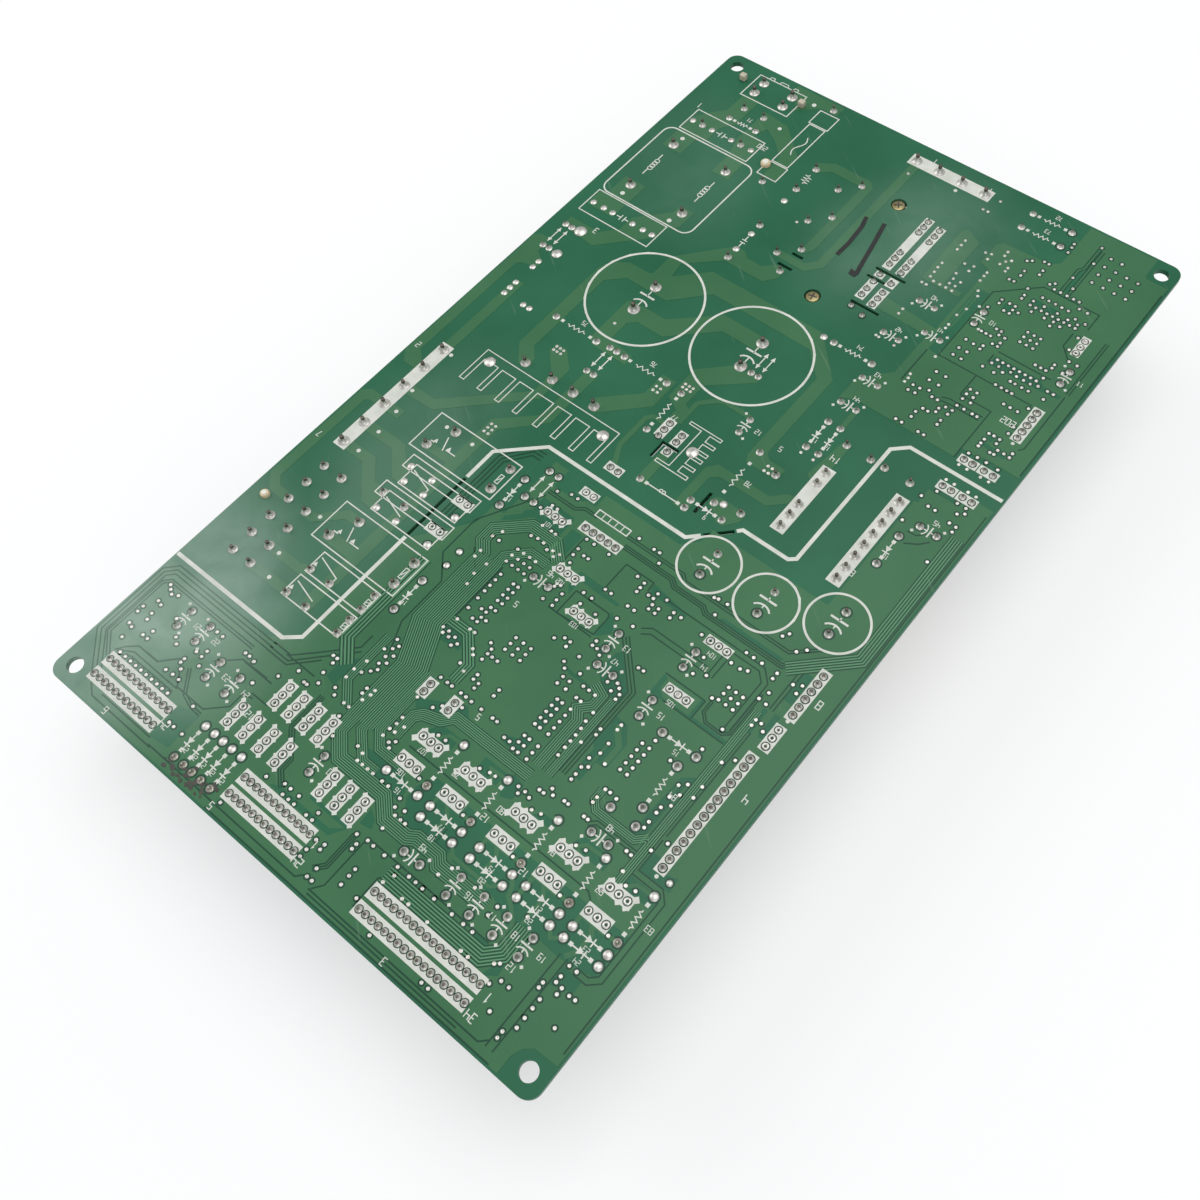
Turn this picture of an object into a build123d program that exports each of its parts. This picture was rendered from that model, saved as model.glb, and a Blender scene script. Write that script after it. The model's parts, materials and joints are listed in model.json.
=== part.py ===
from build123d import *
import os

# Refrigerator control board, millimetres.
# Origin: centre of the four corner screw holes, on the solder face.  +Z points out of the
# solder face, +Y runs along the board towards the mains end, the components hang below.

BOARD_WIDTH = 162.5
BOARD_LENGTH = 280.0
BOARD_THICKNESS = 1.6
CORNER_RADIUS = 3.5
SCREW_SPACING_X = 153.0
SCREW_SPACING_Y = 270.0
SCREW_HOLE_RADIUS = 2.25
DRIVER_HOLE_RADIUS = 2.5
UNDERSIDE = -BOARD_THICKNESS
TALLEST = 40.0
REST = UNDERSIDE - TALLEST
COPPER_HEIGHT = 0.06
PRINT_HEIGHT = 0.10
PRINT_LINE = 0.35
ISOLATION_LINE = 1.1
JOINT_SIDES = 5
BODY_SIDES = 7
CAN_SIDES = 20

MODULE_X = 0.65
MODULE_Y = 92.2
MODULE_SCREW_SPACING = 44.2
MODULE_TOP = -6.0
MODULE_THICKNESS = 5.5

TRANSFORMER_X = 49.5
TRANSFORMER_Y = 12.25



os.makedirs("parts", exist_ok=True)


def save(piece, label):
    """Label a finished piece and write its STEP file."""
    piece.part.label = label
    export_step(piece.part, f"parts/{label}.step")


def block(x0, x1, y0, y1, top, bottom):
    """Rectangular block between the given limits."""
    middle = ((x0 + x1) / 2, (y0 + y1) / 2, (top + bottom) / 2)
    return Pos(*middle) * Box(abs(x1 - x0), abs(y1 - y0), abs(top - bottom),
                              mode=Mode.PRIVATE)


def rod(x, y, radius, top, bottom, sides=BODY_SIDES):
    """Upright rod with a few flat sides."""
    with BuildSketch(Plane.XY.offset(min(top, bottom))) as section:
        with Locations((x, y)):
            RegularPolygon(radius, sides, rotation=180 / sides)
    return extrude(section.sketch, amount=abs(top - bottom), mode=Mode.PRIVATE)


def upright_disc(x, y, z, radius, thickness, sides=BODY_SIDES):
    """Disc that stands on its edge, facing along the board."""
    with BuildSketch(Plane.XZ.offset(-y)) as section:
        with Locations((x, z)):
            RegularPolygon(radius, sides, rotation=180 / sides)
    return extrude(section.sketch, amount=-thickness, mode=Mode.PRIVATE)


def prism(points, top, bottom):
    """Upright prism over a closed outline seen from above."""
    with BuildSketch(Plane.XY.offset(min(top, bottom))) as outline:
        with BuildLine():
            Polyline(*points, close=True)
        make_face()
    return extrude(outline.sketch, amount=abs(top - bottom), mode=Mode.PRIVATE)


def line_frame(x0, x1, y0, y1, corner=0.0):
    """Printed line round a rectangle, its corners cut at 45 degrees if asked."""
    width = x1 - x0
    length = y1 - y0
    inner = 2 * PRINT_LINE
    with BuildSketch() as frame:
        with Locations(((x0 + x1) / 2, (y0 + y1) / 2)):
            outside = Rectangle(width, length)
            if corner > 0:
                chamfer(outside.vertices(), corner)
            inside = Rectangle(width - inner, length - inner, mode=Mode.PRIVATE)
            if corner > 0:
                inside = chamfer(inside.vertices(), corner - 0.4 * PRINT_LINE)
        add(inside, mode=Mode.SUBTRACT)
    return extrude(frame.sketch, amount=PRINT_HEIGHT, mode=Mode.PRIVATE)


def ring(x, y, radius, sides):
    """Printed line round a can, drawn with short straight strokes."""
    with BuildSketch() as circle:
        with Locations((x, y)):
            RegularPolygon(radius, sides)
            RegularPolygon(radius - PRINT_LINE, sides, mode=Mode.SUBTRACT)
    return extrude(circle.sketch, amount=PRINT_HEIGHT, mode=Mode.PRIVATE)


def stroke(points, width):
    """Printed line of constant width along a path."""
    with BuildSketch() as band:
        with BuildLine() as path:
            Polyline(*points)
        trace(path.line, line_width=width)
    return extrude(band.sketch, amount=PRINT_HEIGHT, mode=Mode.PRIVATE)


def pins(places, width, top, bottom):
    """Square pins, one at each place."""
    half = width / 2
    return [block(x - half, x + half, y - half, y + half, top, bottom) for x, y in places]


def lying_body(start, end, radius, depth):
    """Body of an axial component that lies level below the board."""
    run = Vector(end[0] - start[0], end[1] - start[1], 0)
    middle = ((start[0] + end[0]) / 2, (start[1] + end[1]) / 2, UNDERSIDE - depth)
    plane = Plane(origin=middle, x_dir=(0, 0, 1), z_dir=run.normalized())
    with BuildSketch(plane) as section:
        RegularPolygon(radius, BODY_SIDES, major_radius=False, rotation=180 / BODY_SIDES)
    return extrude(section.sketch, amount=run.length / 2, both=True, mode=Mode.PRIVATE)


def row(x, y, pitch_x, pitch_y, count):
    """Evenly pitched places, from the first one on."""
    return [(x + pitch_x * step, y + pitch_y * step) for step in range(count)]


# ---------------------------------------------------------------- places shared by pieces

MAINS_PINS = [(-64.25, 133.4), (-53.0, 133.4), (-64.25, 128.2), (-53.0, 128.2)]
COMPRESSOR_PINS = row(-5.1, 132.8, 8.07, 0, 4)
LOAD_PINS = row(-71.8, -8.05, 0, -7.83, 6)
TWELVE_WAY_PINS = row(-70.0, -56.1, 0, -6.5, 6) + row(-63.2, -56.1, 0, -6.5, 6)
POWER_LEADS = [(-12.5, 114.0), (-17.5, 108.5), (-12.5, 98.2), (-17.5, 92.9),
               (-12.5, 82.5), (-17.5, 77.3), (-12.5, 72.0)]
SIGNAL_LEADS_INNER = [(11.7, y) for y in (113.4, 110.8, 108.2, 98.4, 95.7, 93.0, 88.0,
                                          84.7, 81.4, 78.7, 73.6)]
SIGNAL_LEADS_OUTER = [(16.3, y) for y in (112.3, 109.5, 106.7, 97.3, 94.5, 91.9, 86.9,
                                          82.7, 80.1, 77.4, 72.3)]
BRIDGE_LEADS = [(-49.7, 2.5), (-39.6, 2.5), (-31.9, 2.5), (-24.2, 2.5)]
BULK_PLACES = [(-37.8, 40.7), (-0.25, 42.55)]
OUTPUT_PLACES = [(31.8, -17.6), (50.0, -17.6), (67.3, -11.65)]
TRANSFORMER_PINS_LEFT = [(39.3, y) for y in (22.5, 18.5, 10.5, 6.5, 2.5)]
TRANSFORMER_PINS_RIGHT = row(59.7, 26.5, 0, -4.0, 8)
UPPER_ROW = -128.4
LOWER_ROW = -133.4
HEADER_LEFT = (-70.6, -48.0, 12)
HEADER_MIDDLE = (-19.9, 2.6, 12)
HEADER_RIGHT = (24.0, 56.5, 17)
SMALL_CAPS_UPRIGHT = [(43.2, 91.0), (73.3, 86.7), (12.9, 21.9), (26.2, -49.0), (44.4, -41.4),
                      (44.0, -57.6), (37.2, -116.8), (44.3, -116.8), (51.4, -116.8),
                      (59.0, -116.8), (-8.7, -115.8), (-64.4, -109.7), (-57.2, -109.8),
                      (-47.5, -114.7), (-40.3, -114.7)]
SMALL_CAPS_LEVEL = [(28.8, 86.5), (36.4, 77.6), (27.1, 70.9), (31.5, 54.2), (31.5, 44.0),
                    (70.5, 23.6), (0.9, -47.3), (29.8, -56.0), (56.0, -88.5), (25.2, -118.0)]
SMALL_CAP_RADIUS = 3.15

# ------------------------------------------------------------------------- circuit board

HALF_WIDTH = BOARD_WIDTH / 2
HALF_LENGTH = BOARD_LENGTH / 2
ROUTED_SLOTS = [(-36.5, -46.95, 21.9, 90), (19.0, -4.0, 7.4, 90), (28.1, -8.85, 8.1, 44.5)]
NARROW_SLOTS = [(-1.9, 3.9, 4.1, 5.1), (-1.8, -0.8, -0.8, 4.1), (-13.7, -9.9, 79.4, 80.4),
                (-14.9, -9.9, 73.9, 74.9), (9.2, 19.4, 89.25, 90.15),
                (8.7, 15.0, 85.5, 86.3), (10.4, 20.0, 74.8, 75.7)]
ROUTED_SLOT_WIDTH = 1.0

with BuildPart() as circuit_board:
    with BuildSketch(Plane.XY.offset(UNDERSIDE)) as outline:
        RectangleRounded(BOARD_WIDTH, BOARD_LENGTH, CORNER_RADIUS)
        with GridLocations(SCREW_SPACING_X, SCREW_SPACING_Y, 2, 2):
            Circle(SCREW_HOLE_RADIUS, mode=Mode.SUBTRACT)
        with Locations((MODULE_X, MODULE_Y - MODULE_SCREW_SPACING / 2),
                       (MODULE_X, MODULE_Y + MODULE_SCREW_SPACING / 2)):
            RegularPolygon(DRIVER_HOLE_RADIUS, 12, mode=Mode.SUBTRACT)
        for x, y, length, angle in ROUTED_SLOTS:
            with Locations(Location((x, y), angle)):
                Rectangle(length, ROUTED_SLOT_WIDTH, mode=Mode.SUBTRACT)
        for x0, x1, y0, y1 in NARROW_SLOTS:
            with Locations(((x0 + x1) / 2, (y0 + y1) / 2)):
                Rectangle(x1 - x0, y1 - y0, mode=Mode.SUBTRACT)
    extrude(amount=BOARD_THICKNESS)
save(circuit_board, "circuit_board")

# -------------------------------------------- broad copper tracks under the green coating

MAINS_TRACKS = [
    [(-66.5, 126), (-60.3, 126), (-60.3, 113), (-63.5, 108.5), (-63.5, 102.5), (-66.4, 101),
     (-66.4, 92.7), (-73.7, 92.7), (-73.7, 108), (-70, 113), (-66.5, 117)],
    [(-56, 123), (-46.5, 122), (-35.5, 112.5), (-35.2, 100.5), (-40, 100.5), (-40.3, 109.5),
     (-46, 114.5), (-51, 117.2), (-52.5, 112.5), (-48, 111), (-47.5, 92.5), (-53.8, 92.5),
     (-53.8, 101), (-56, 108)],
    [(-55, 139), (-36.5, 139), (-36.5, 134.5), (-42.5, 134.5), (-49, 129)],
    [(-74, 75.3), (-66.1, 75.3), (-66.1, 59.5), (-76.3, 59.5), (-76.3, 66), (-74, 67)],
    [(-76.5, 52.5), (-65.6, 52.5), (-61.2, 57), (-61.2, 63), (-52.4, 72), (-52.4, 75.4),
     (-47.1, 75.4), (-47.1, 68.5), (-50, 65), (-50, 61), (-63.7, 47.2), (-76.5, 48.5)],
]
SUPPLY_TRACKS = [
    [(-41.9, 57.5), (-28.5, 72.4), (-25.2, 72.2), (-23.2, 70.4), (-18, 70.3), (-14.5, 73.5),
     (-11.3, 73.5), (-11.3, 69.5), (-14.3, 65.8), (-28, 65.8), (-37.6, 57.2), (-36.7, 51.8),
     (-28, 60.3), (11, 60.6), (23.1, 48.5), (23.1, 18.6), (25, 17), (30.2, 17), (30.2, 13),
     (20.2, 13), (19.1, 15.3), (19.1, 46.5), (11.5, 53.6), (-22.6, 53.6), (-32.3, 43.6),
     (-46.9, 43.6), (-51.9, 38.9), (-51.9, 8.5), (-48.5, 5), (-48.5, 1.2), (-51.5, 1.2),
     (-56.3, 7.1), (-56.3, 41.5), (-54.8, 45.7), (-50, 48.7), (-42.6, 48.9), (-41.9, 49.8)],
    [(-41.1, 37), (-40, 38), (-28, 38), (-15.2, 49.4), (1, 49.4), (1, 45.5), (-0.4, 44.3),
     (-12.1, 44.3), (-24.7, 32.6), (-33.7, 32.6), (-36, 30.6), (-36, 23.2), (-26.8, 22),
     (-26.8, 18.6), (-39, 18.6), (-41.1, 20.5)],
    [(-2.1, 36.5), (6.8, 37), (6.8, 35.5), (-4.3, 26.2), (-4.5, 18.3), (-2.6, 17),
     (-2.6, 11.5), (-5.4, 11.5), (-5.4, 15), (-10, 17.5), (-10, 29)],
    [(-16, 22.4), (-11.2, 22.4), (-11.2, 12.2), (-23, 0.8), (-25.8, 0.8), (-26, 5),
     (-16, 14.2)],
    [(12.7, -9), (12.7, 5.3), (15, 7.9), (31.8, 7.9), (35, 11.2), (37.2, 11.8), (37.2, 9.3),
     (32.7, 5), (17.6, 4.9), (15.5, 3), (15.5, -4), (17.2, -6.2), (17.2, -9)],
    [(37.2, 33), (39.7, 33), (39.7, 24.5), (37.2, 24.5), (37.2, 18.3), (35.5, 19.6)],
]
LOAD_TRACKS = [
    [(-80.8, 40.5), (-79, 41.8), (-75.3, 41.8), (-75.3, 36), (-71.3, 33.8), (-71.3, 31),
     (-76.5, 29.7), (-77.4, 28.5), (-77.4, -11.7), (-74, -14.3), (-74, -17.7),
     (-78.2, -17.7), (-80.8, -14.5)],
    [(-73.3, 24), (-70, 24), (-70, -6), (-73.3, -6)],
    [(-47.2, 13), (-43.3, 12.9), (-38, 7.9), (-38, -4.5), (-59.5, -25), (-69.5, -25.5),
     (-69.5, -22.1), (-61.7, -22.1), (-41.3, -3.6), (-41.3, 4), (-47.2, 9.8)],
    [(-34, 11.5), (-30.2, 11.5), (-30.2, -8.8), (-40.4, -19.2), (-40.4, -90), (-44.2, -90),
     (-44.2, -17.5), (-34, -8.4)],
    [(-65.3, -30), (-78.5, -30), (-80.6, -32), (-80.6, -66), (-76.5, -70.3), (-70, -70.5),
     (-70, -67.6), (-75, -67.6), (-77.4, -65.2), (-77.4, -34), (-76.2, -33.1),
     (-65.3, -33.1)],
]
MODULE_TRACKS = [
    [(-29.5, 112), (-29, 114.5), (-24.5, 117.3), (-11.5, 117.3), (-9.3, 115), (-9.3, 84.5),
     (-10.5, 82), (-12.4, 81.5), (-12.3, 113.7), (-23.7, 113.7), (-27, 110.6)],
    [(-5.9, 130.4), (-3, 130.4), (-3, 80.3), (-6.9, 76.1), (-17.5, 76.1), (-17.5, 78.7),
     (-8.4, 78.7), (-5.9, 81.5)],
]
LOGIC_AREAS = [
    [(51.4, 112.5), (80.4, 112.5), (80.4, 131.0), (73.0, 131.0), (73.0, 139.3), (51.4, 139.3)],
    [(42.0, 74.5), (69.0, 74.5), (69.0, 111.0), (52.3, 111.0), (42.0, 101.0)],
    [(42.0, 50.5), (69.5, 50.5), (69.5, 72.0), (42.0, 72.0)],
    [(63.5, -2.0), (80.4, -2.0), (80.4, 34.5), (63.5, 34.5)],
    [(21.0, -58.0), (43.0, -58.0), (43.0, -29.0), (21.0, -29.0)],
    [(-4.0, -72.0), (24.0, -72.0), (24.0, -52.0), (-4.0, -52.0)],
    [(29.0, -90.0), (67.0, -90.0), (67.0, -62.0), (29.0, -62.0)],
    [(-25.5, -98.0), (-9.0, -98.0), (-9.0, -60.0), (-25.5, -60.0)],
]
COPPER_FIELDS = MAINS_TRACKS + SUPPLY_TRACKS + LOAD_TRACKS + MODULE_TRACKS + LOGIC_AREAS

with BuildPart() as copper_areas:
    add([prism(outline, COPPER_HEIGHT, 0) for outline in COPPER_FIELDS])
save(copper_areas, "copper_areas")

# --------------------------------------------------------- white print on the solder face

ISOLATION_PATHS = [
    [(80.7, 42.6), (52.4, 42.6), (48.5, 39.0), (48.5, -3.0), (46.8, -4.4), (32.5, -4.4),
     (31.4, -5.6)],
    [(24.8, -12.2), (21.9, -15.0), (-25.2, -15.0), (-36.4, -25.2), (-36.4, -35.4)],
    [(-36.4, -58.6), (-36.4, -95.0), (-40.4, -98.2), (-80.9, -98.2)],
]
PIN_BARS = [
    (10.3, 13.2, 90.9, 114.7), (10.3, 13.2, 86.7, 88.9), (10.3, 13.2, 77.1, 85.1),
    (14.9, 17.85, 90.9, 113.6), (14.9, 17.85, 85.3, 88.9), (14.9, 17.85, 76.2, 84.1),
    (-7.4, 21.4, 130.5, 135.1), (-5.4, -2.3, 5.3, 11.9), (0.0, 2.8, 5.3, 10.6),
    (0.0, 2.8, 1.5, 3.9), (37.2, 41.4, 0.6, 24.4), (57.6, 61.8, -3.4, 28.5),
    (64.3, 70.0, 46.3, 49.1), (70.3, 76.1, 46.3, 49.1), (64.3, 70.0, 36.0, 38.9),
    (70.3, 76.1, 36.0, 38.9), (-9.1, -3.6, -11.4, -8.5), (-9.1, -3.6, -21.4, -18.6),
    (-73.9, -69.6, -49.3, -5.9),
    (-2.1, 11.1, -29.8, -26.7), (71.7, 75.0, 60.6, 73.6), (71.4, 74.5, -39.6, -23.7),
    (70.0, 73.1, -86.5, -51.1), (-3.2, 0.0, -88.4, -83.1), (5.0, 8.2, -88.4, -83.1),
    (-71.7, -47.0, -130.6, -126.6), (-71.7, -47.0, -135.3, -131.5),
    (-21.1, 3.6, -130.6, -126.6), (-21.1, 3.6, -135.3, -131.5),
    (22.7, 57.4, -130.6, -126.6), (22.7, 57.4, -135.3, -131.5),
    (70.0, 72.6, 94.7, 102.5), (-12.9, -5.2, -31.8, -29.4), (1.0, 8.7, -42.8, -40.0),
    (11.8, 19.4, -49.9, -47.1), (44.0, 51.8, -35.7, -32.9), (44.2, 52.0, -51.7, -48.9),
    (71.0, 74.1, -49.4, -41.6),
]
PIN_BARS += [(x - 4.1, x + 4.1, -97.1, -93.9) for x in (9.0, 22.9, 39.1, 52.9, 67.6)]
PIN_BARS += [(x - 3.7, x + 3.7, -104.1, -100.5) for x in (8.7, 22.8, 38.7, 52.9, 67.2)]
PIN_BARS += [(x - 1.6, x + 1.6, -112.8, -104.7) for x in (-28.5, -23.5, -18.3, -13.2)]
PIN_BARS += [(x - 1.6, x + 1.6, -123.1, -115.5) for x in (-34.0, -28.4, -22.7, -17.0)]
PIN_BARS += [(x - 1.6, x + 1.6, -121.8, -113.7) for x in (-3.0, 2.1, 7.2)]
LINE_BOXES = [(-67.9, -49.2, 125.1, 136.4), (-74.3, -47.5, 101.7, 111.9),
              (-77.0, -50.0, 56.2, 66.3), (-42.3, -34.9, 127.2, 134.0),
              (-42.3, -34.9, 100.0, 106.7), (-41.6, -35.4, 106.9, 127.0),
              (-56.8, -26.4, -37.2, -24.0), (-56.9, -26.4, -73.3, -60.1),
              (-50.2, -29.1, -81.7, -74.5), (-50.3, -29.1, -89.9, -82.8)]
HEATSINK_FINS = (-60.7, -53.95, -47.25, -40.6, -33.05, -26.5, -19.9, -13.45)
HEATSINK_FIN = 1.6
HEATSINK_BACK = -0.3
HEATSINK_INNER = -3.4
HEATSINK_TIP = -12.2


def comb_outline():
    """Plan of the rectifier heatsink, with its fins pointing away from the rectifier."""
    left = HEATSINK_FINS[0] - HEATSINK_FIN / 2
    right = HEATSINK_FINS[-1] + HEATSINK_FIN / 2
    points = [(right, HEATSINK_BACK), (left, HEATSINK_BACK)]
    for centre in HEATSINK_FINS:
        near = centre - HEATSINK_FIN / 2
        far = centre + HEATSINK_FIN / 2
        if near > left:
            points.append((near, HEATSINK_INNER))
        points += [(near, HEATSINK_TIP), (far, HEATSINK_TIP)]
        if far < right:
            points.append((far, HEATSINK_INNER))
    return points


with BuildPart() as legend_print:
    add([stroke(path, ISOLATION_LINE) for path in ISOLATION_PATHS])
    add([block(*bar, PRINT_HEIGHT, 0) for bar in PIN_BARS])
    add([line_frame(*box) for box in LINE_BOXES])
    add(line_frame(-77.1, -43.4, 67.1, 100.7, corner=3.0))
    add([ring(x, y, 17.8, 20) for x, y in BULK_PLACES])
    add([ring(x, y, 8.6, 16) for x, y in OUTPUT_PLACES])
    add(copper_areas.part, mode=Mode.SUBTRACT)
save(legend_print, "legend_print")

# ------------------------------------------------ soldered leads standing off the face

LARGE_JOINTS = (MAINS_PINS + COMPRESSOR_PINS + LOAD_PINS + BRIDGE_LEADS
                + [(-70.5, 94.5), (-50.0, 94.6), (-70.3, 73.2), (-49.9, 73.1),
                   (-37.7, 45.7), (-37.6, 35.6), (-0.3, 47.5), (-0.3, 37.4),
                   (-58.1, -3.3), (-15.9, -3.5), (7.0, 6.7)])
MEDIUM_JOINTS = (TWELVE_WAY_PINS + TRANSFORMER_PINS_LEFT + TRANSFORMER_PINS_RIGHT
                 + POWER_LEADS
                 + [(-38.7, 136.0), (-38.4, 98.0), (-62.4, 120.4), (-54.7, 120.4),
                    (-28.0, 111.7), (-28.0, 101.4), (-48.9, -26.7), (-52.6, -34.3),
                    (-28.6, -26.7), (-28.7, -34.3), (-49.3, -62.9), (-52.9, -70.4),
                    (-28.8, -62.9), (-28.8, -70.3), (-68.6, 106.7), (-53.4, 106.7),
                    (31.7, -13.9), (31.7, -21.3), (49.85, -14.0), (49.85, -21.4),
                    (67.25, -7.9), (67.25, -15.4)])


def joint(radius, height):
    """Solder fillet that draws up to the tip of a lead."""
    with BuildSketch() as pad:
        RegularPolygon(radius, JOINT_SIDES, major_radius=False)
    return loft([pad.face(), Vertex(0, 0, height)], mode=Mode.PRIVATE)


LARGE_JOINT = joint(1.65, 2.6)
MEDIUM_JOINT = joint(1.25, 2.2)

with BuildPart() as solder_joints:
    with Locations(*LARGE_JOINTS):
        add(LARGE_JOINT)
    with Locations(*MEDIUM_JOINTS):
        add(MEDIUM_JOINT)
    add(copper_areas.part, mode=Mode.SUBTRACT)
    add(legend_print.part, mode=Mode.SUBTRACT)
save(solder_joints, "solder_joints")

with BuildPart() as nylon_pegs:
    with BuildSketch() as peg_feet:
        with Locations((-71.6, 132.4), (-48.8, 132.3)):
            Rectangle(4.6, 2.6, rotation=-45)
    extrude(amount=3.2, taper=8)
    add(copper_areas.part, mode=Mode.SUBTRACT)
    add(legend_print.part, mode=Mode.SUBTRACT)
save(nylon_pegs, "nylon_pegs")

with BuildPart() as spacer_pegs:
    add([rod(-76.0, -72.0, 1.5, 2.4, 0), rod(-42.0, 104.5, 1.85, 2.8, 0)])
    add(copper_areas.part, mode=Mode.SUBTRACT)
    add(legend_print.part, mode=Mode.SUBTRACT)
save(spacer_pegs, "spacer_pegs")

# ------------------------------------------------------------- mains inlet and filter

MAINS_SHELL = (-67.9, -49.2, 125.1, 136.4)
MAINS_WALL = 1.2
MAINS_DEPTH = 15.0
MAINS_FLOOR = 3.0

with BuildPart() as mains_connector:
    x0, x1, y0, y1 = MAINS_SHELL
    add(block(x0, x1, y0, y1, UNDERSIDE, UNDERSIDE - MAINS_DEPTH))
    add([block(-64.3, -62.3, 136.4, 137.5, UNDERSIDE, UNDERSIDE - MAINS_DEPTH),
         block(-60.3, -56.6, 136.4, 137.5, UNDERSIDE, UNDERSIDE - MAINS_DEPTH),
         block(-55.0, -52.9, 136.4, 137.5, UNDERSIDE, UNDERSIDE - MAINS_DEPTH)])
    add(block(x0 + MAINS_WALL, x1 - MAINS_WALL, y0 + MAINS_WALL, y1 - MAINS_WALL,
              UNDERSIDE - MAINS_FLOOR, UNDERSIDE - MAINS_DEPTH), mode=Mode.SUBTRACT)
save(mains_connector, "mains_connector")

with BuildPart() as mains_pins:
    add(pins(MAINS_PINS, 1.6, UNDERSIDE - MAINS_FLOOR, UNDERSIDE - 12.0))
save(mains_pins, "mains_pins")

with BuildPart() as varistor:
    add(upright_disc(-58.5, 118.2, UNDERSIDE - 9.5, 7.5, 4.4, 16))
    add([block(-62.9, -61.9, 120.0, 120.8, UNDERSIDE, UNDERSIDE - 6.0),
         block(-55.2, -54.2, 120.0, 120.8, UNDERSIDE, UNDERSIDE - 6.0)])
save(varistor, "varistor")

for label, limits, height in (("interference_capacitor_1", (-74.3, -47.5, 101.7, 111.9), 18.5),
                              ("interference_capacitor_2", (-77.0, -50.0, 56.2, 66.3), 18.5)):
    with BuildPart() as film_box:
        add(block(*limits, UNDERSIDE, UNDERSIDE - height))
        chamfer(film_box.edges().group_by(Axis.Z)[0], 0.6)
    save(film_box, label)

CHOKE_LIMBS = (-70.4, -50.0)
CHOKE_LIMB = 6.0
CHOKE_Y0 = 68.0
CHOKE_Y1 = 99.8
CHOKE_MIDDLE = UNDERSIDE - 13.0
CHOKE_CORE_HALF = 4.0
FLANGE_Y = (75.2, 90.8)
FLANGE = 1.4
TUBE_WALL = 0.9

with BuildPart() as choke_core:
    with BuildSketch(Plane.XY.offset(CHOKE_MIDDLE - CHOKE_CORE_HALF)):
        with Locations((sum(CHOKE_LIMBS) / 2, (CHOKE_Y0 + CHOKE_Y1) / 2)):
            Rectangle(CHOKE_LIMBS[1] - CHOKE_LIMBS[0] + CHOKE_LIMB, CHOKE_Y1 - CHOKE_Y0)
            Rectangle(CHOKE_LIMBS[1] - CHOKE_LIMBS[0] - CHOKE_LIMB,
                      CHOKE_Y1 - CHOKE_Y0 - 2 * CHOKE_LIMB, mode=Mode.SUBTRACT)
    extrude(amount=2 * CHOKE_CORE_HALF)
save(choke_core, "choke_core")

with BuildPart() as choke_bobbins:
    for x in CHOKE_LIMBS:
        half = CHOKE_LIMB / 2 + TUBE_WALL
        deep = CHOKE_CORE_HALF + TUBE_WALL
        add([block(x - half, x + half, FLANGE_Y[0], FLANGE_Y[1] + FLANGE,
                   CHOKE_MIDDLE + deep, CHOKE_MIDDLE - deep),
             block(x - 6.4, x + 6.4, FLANGE_Y[0], FLANGE_Y[0] + FLANGE,
                   UNDERSIDE, CHOKE_MIDDLE - 9.5),
             block(x - 6.4, x + 6.4, FLANGE_Y[1], FLANGE_Y[1] + FLANGE,
                   UNDERSIDE, CHOKE_MIDDLE - 9.5)])
    add(choke_core.part, mode=Mode.SUBTRACT)
save(choke_bobbins, "choke_bobbins")

with BuildPart() as choke_windings:
    with BuildSketch(Plane.XZ.offset(-(FLANGE_Y[0] + FLANGE))):
        with Locations(*[(x, CHOKE_MIDDLE) for x in CHOKE_LIMBS]):
            winding = Rectangle(11.6, 16.8)
            chamfer(winding.vertices(), 3.2)
            Rectangle(CHOKE_LIMB + 2 * TUBE_WALL, 2 * (CHOKE_CORE_HALF + TUBE_WALL),
                      mode=Mode.SUBTRACT)
    extrude(amount=-(FLANGE_Y[1] - FLANGE_Y[0] - FLANGE))
save(choke_windings, "choke_windings")

FUSE_X = -38.6
FUSE_RADIUS = 3.0
FUSE_CENTRE = UNDERSIDE - 5.0
FUSE_Y = (100.6, 133.4)
FUSE_CAP = 6.4

with BuildPart() as fuse_tube:
    add(upright_disc(FUSE_X, FUSE_Y[0] + FUSE_CAP, FUSE_CENTRE, FUSE_RADIUS,
                     FUSE_Y[1] - FUSE_Y[0] - 2 * FUSE_CAP, 12))
save(fuse_tube, "fuse_tube")

with BuildPart() as fuse_clips:
    for y in (FUSE_Y[0], FUSE_Y[1] - FUSE_CAP):
        add(block(FUSE_X - 3.7, FUSE_X + 3.7, y, y + FUSE_CAP,
                  UNDERSIDE, FUSE_CENTRE - FUSE_RADIUS - 0.6))
save(fuse_clips, "fuse_clips")

with BuildPart() as surge_resistor:
    add(block(-31.5, -24.5, 99.0, 114.0, UNDERSIDE - 1.0, UNDERSIDE - 9.0))
    add(pins([(-28.0, 111.7), (-28.0, 101.4)], 0.8, UNDERSIDE, UNDERSIDE - 1.0))
save(surge_resistor, "surge_resistor")

with BuildPart() as pulse_capacitors:
    add(block(-31.0, -25.0, 66.2, 84.2, UNDERSIDE, UNDERSIDE - 13.0))
    add(block(26.2, 31.8, -2.4, 15.8, UNDERSIDE, UNDERSIDE - 11.0))
    chamfer(pulse_capacitors.edges().group_by(Axis.Z)[0], 0.5)
save(pulse_capacitors, "pulse_capacitors")

# ---------------------------------------------------- compressor drive module and cooling

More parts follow.
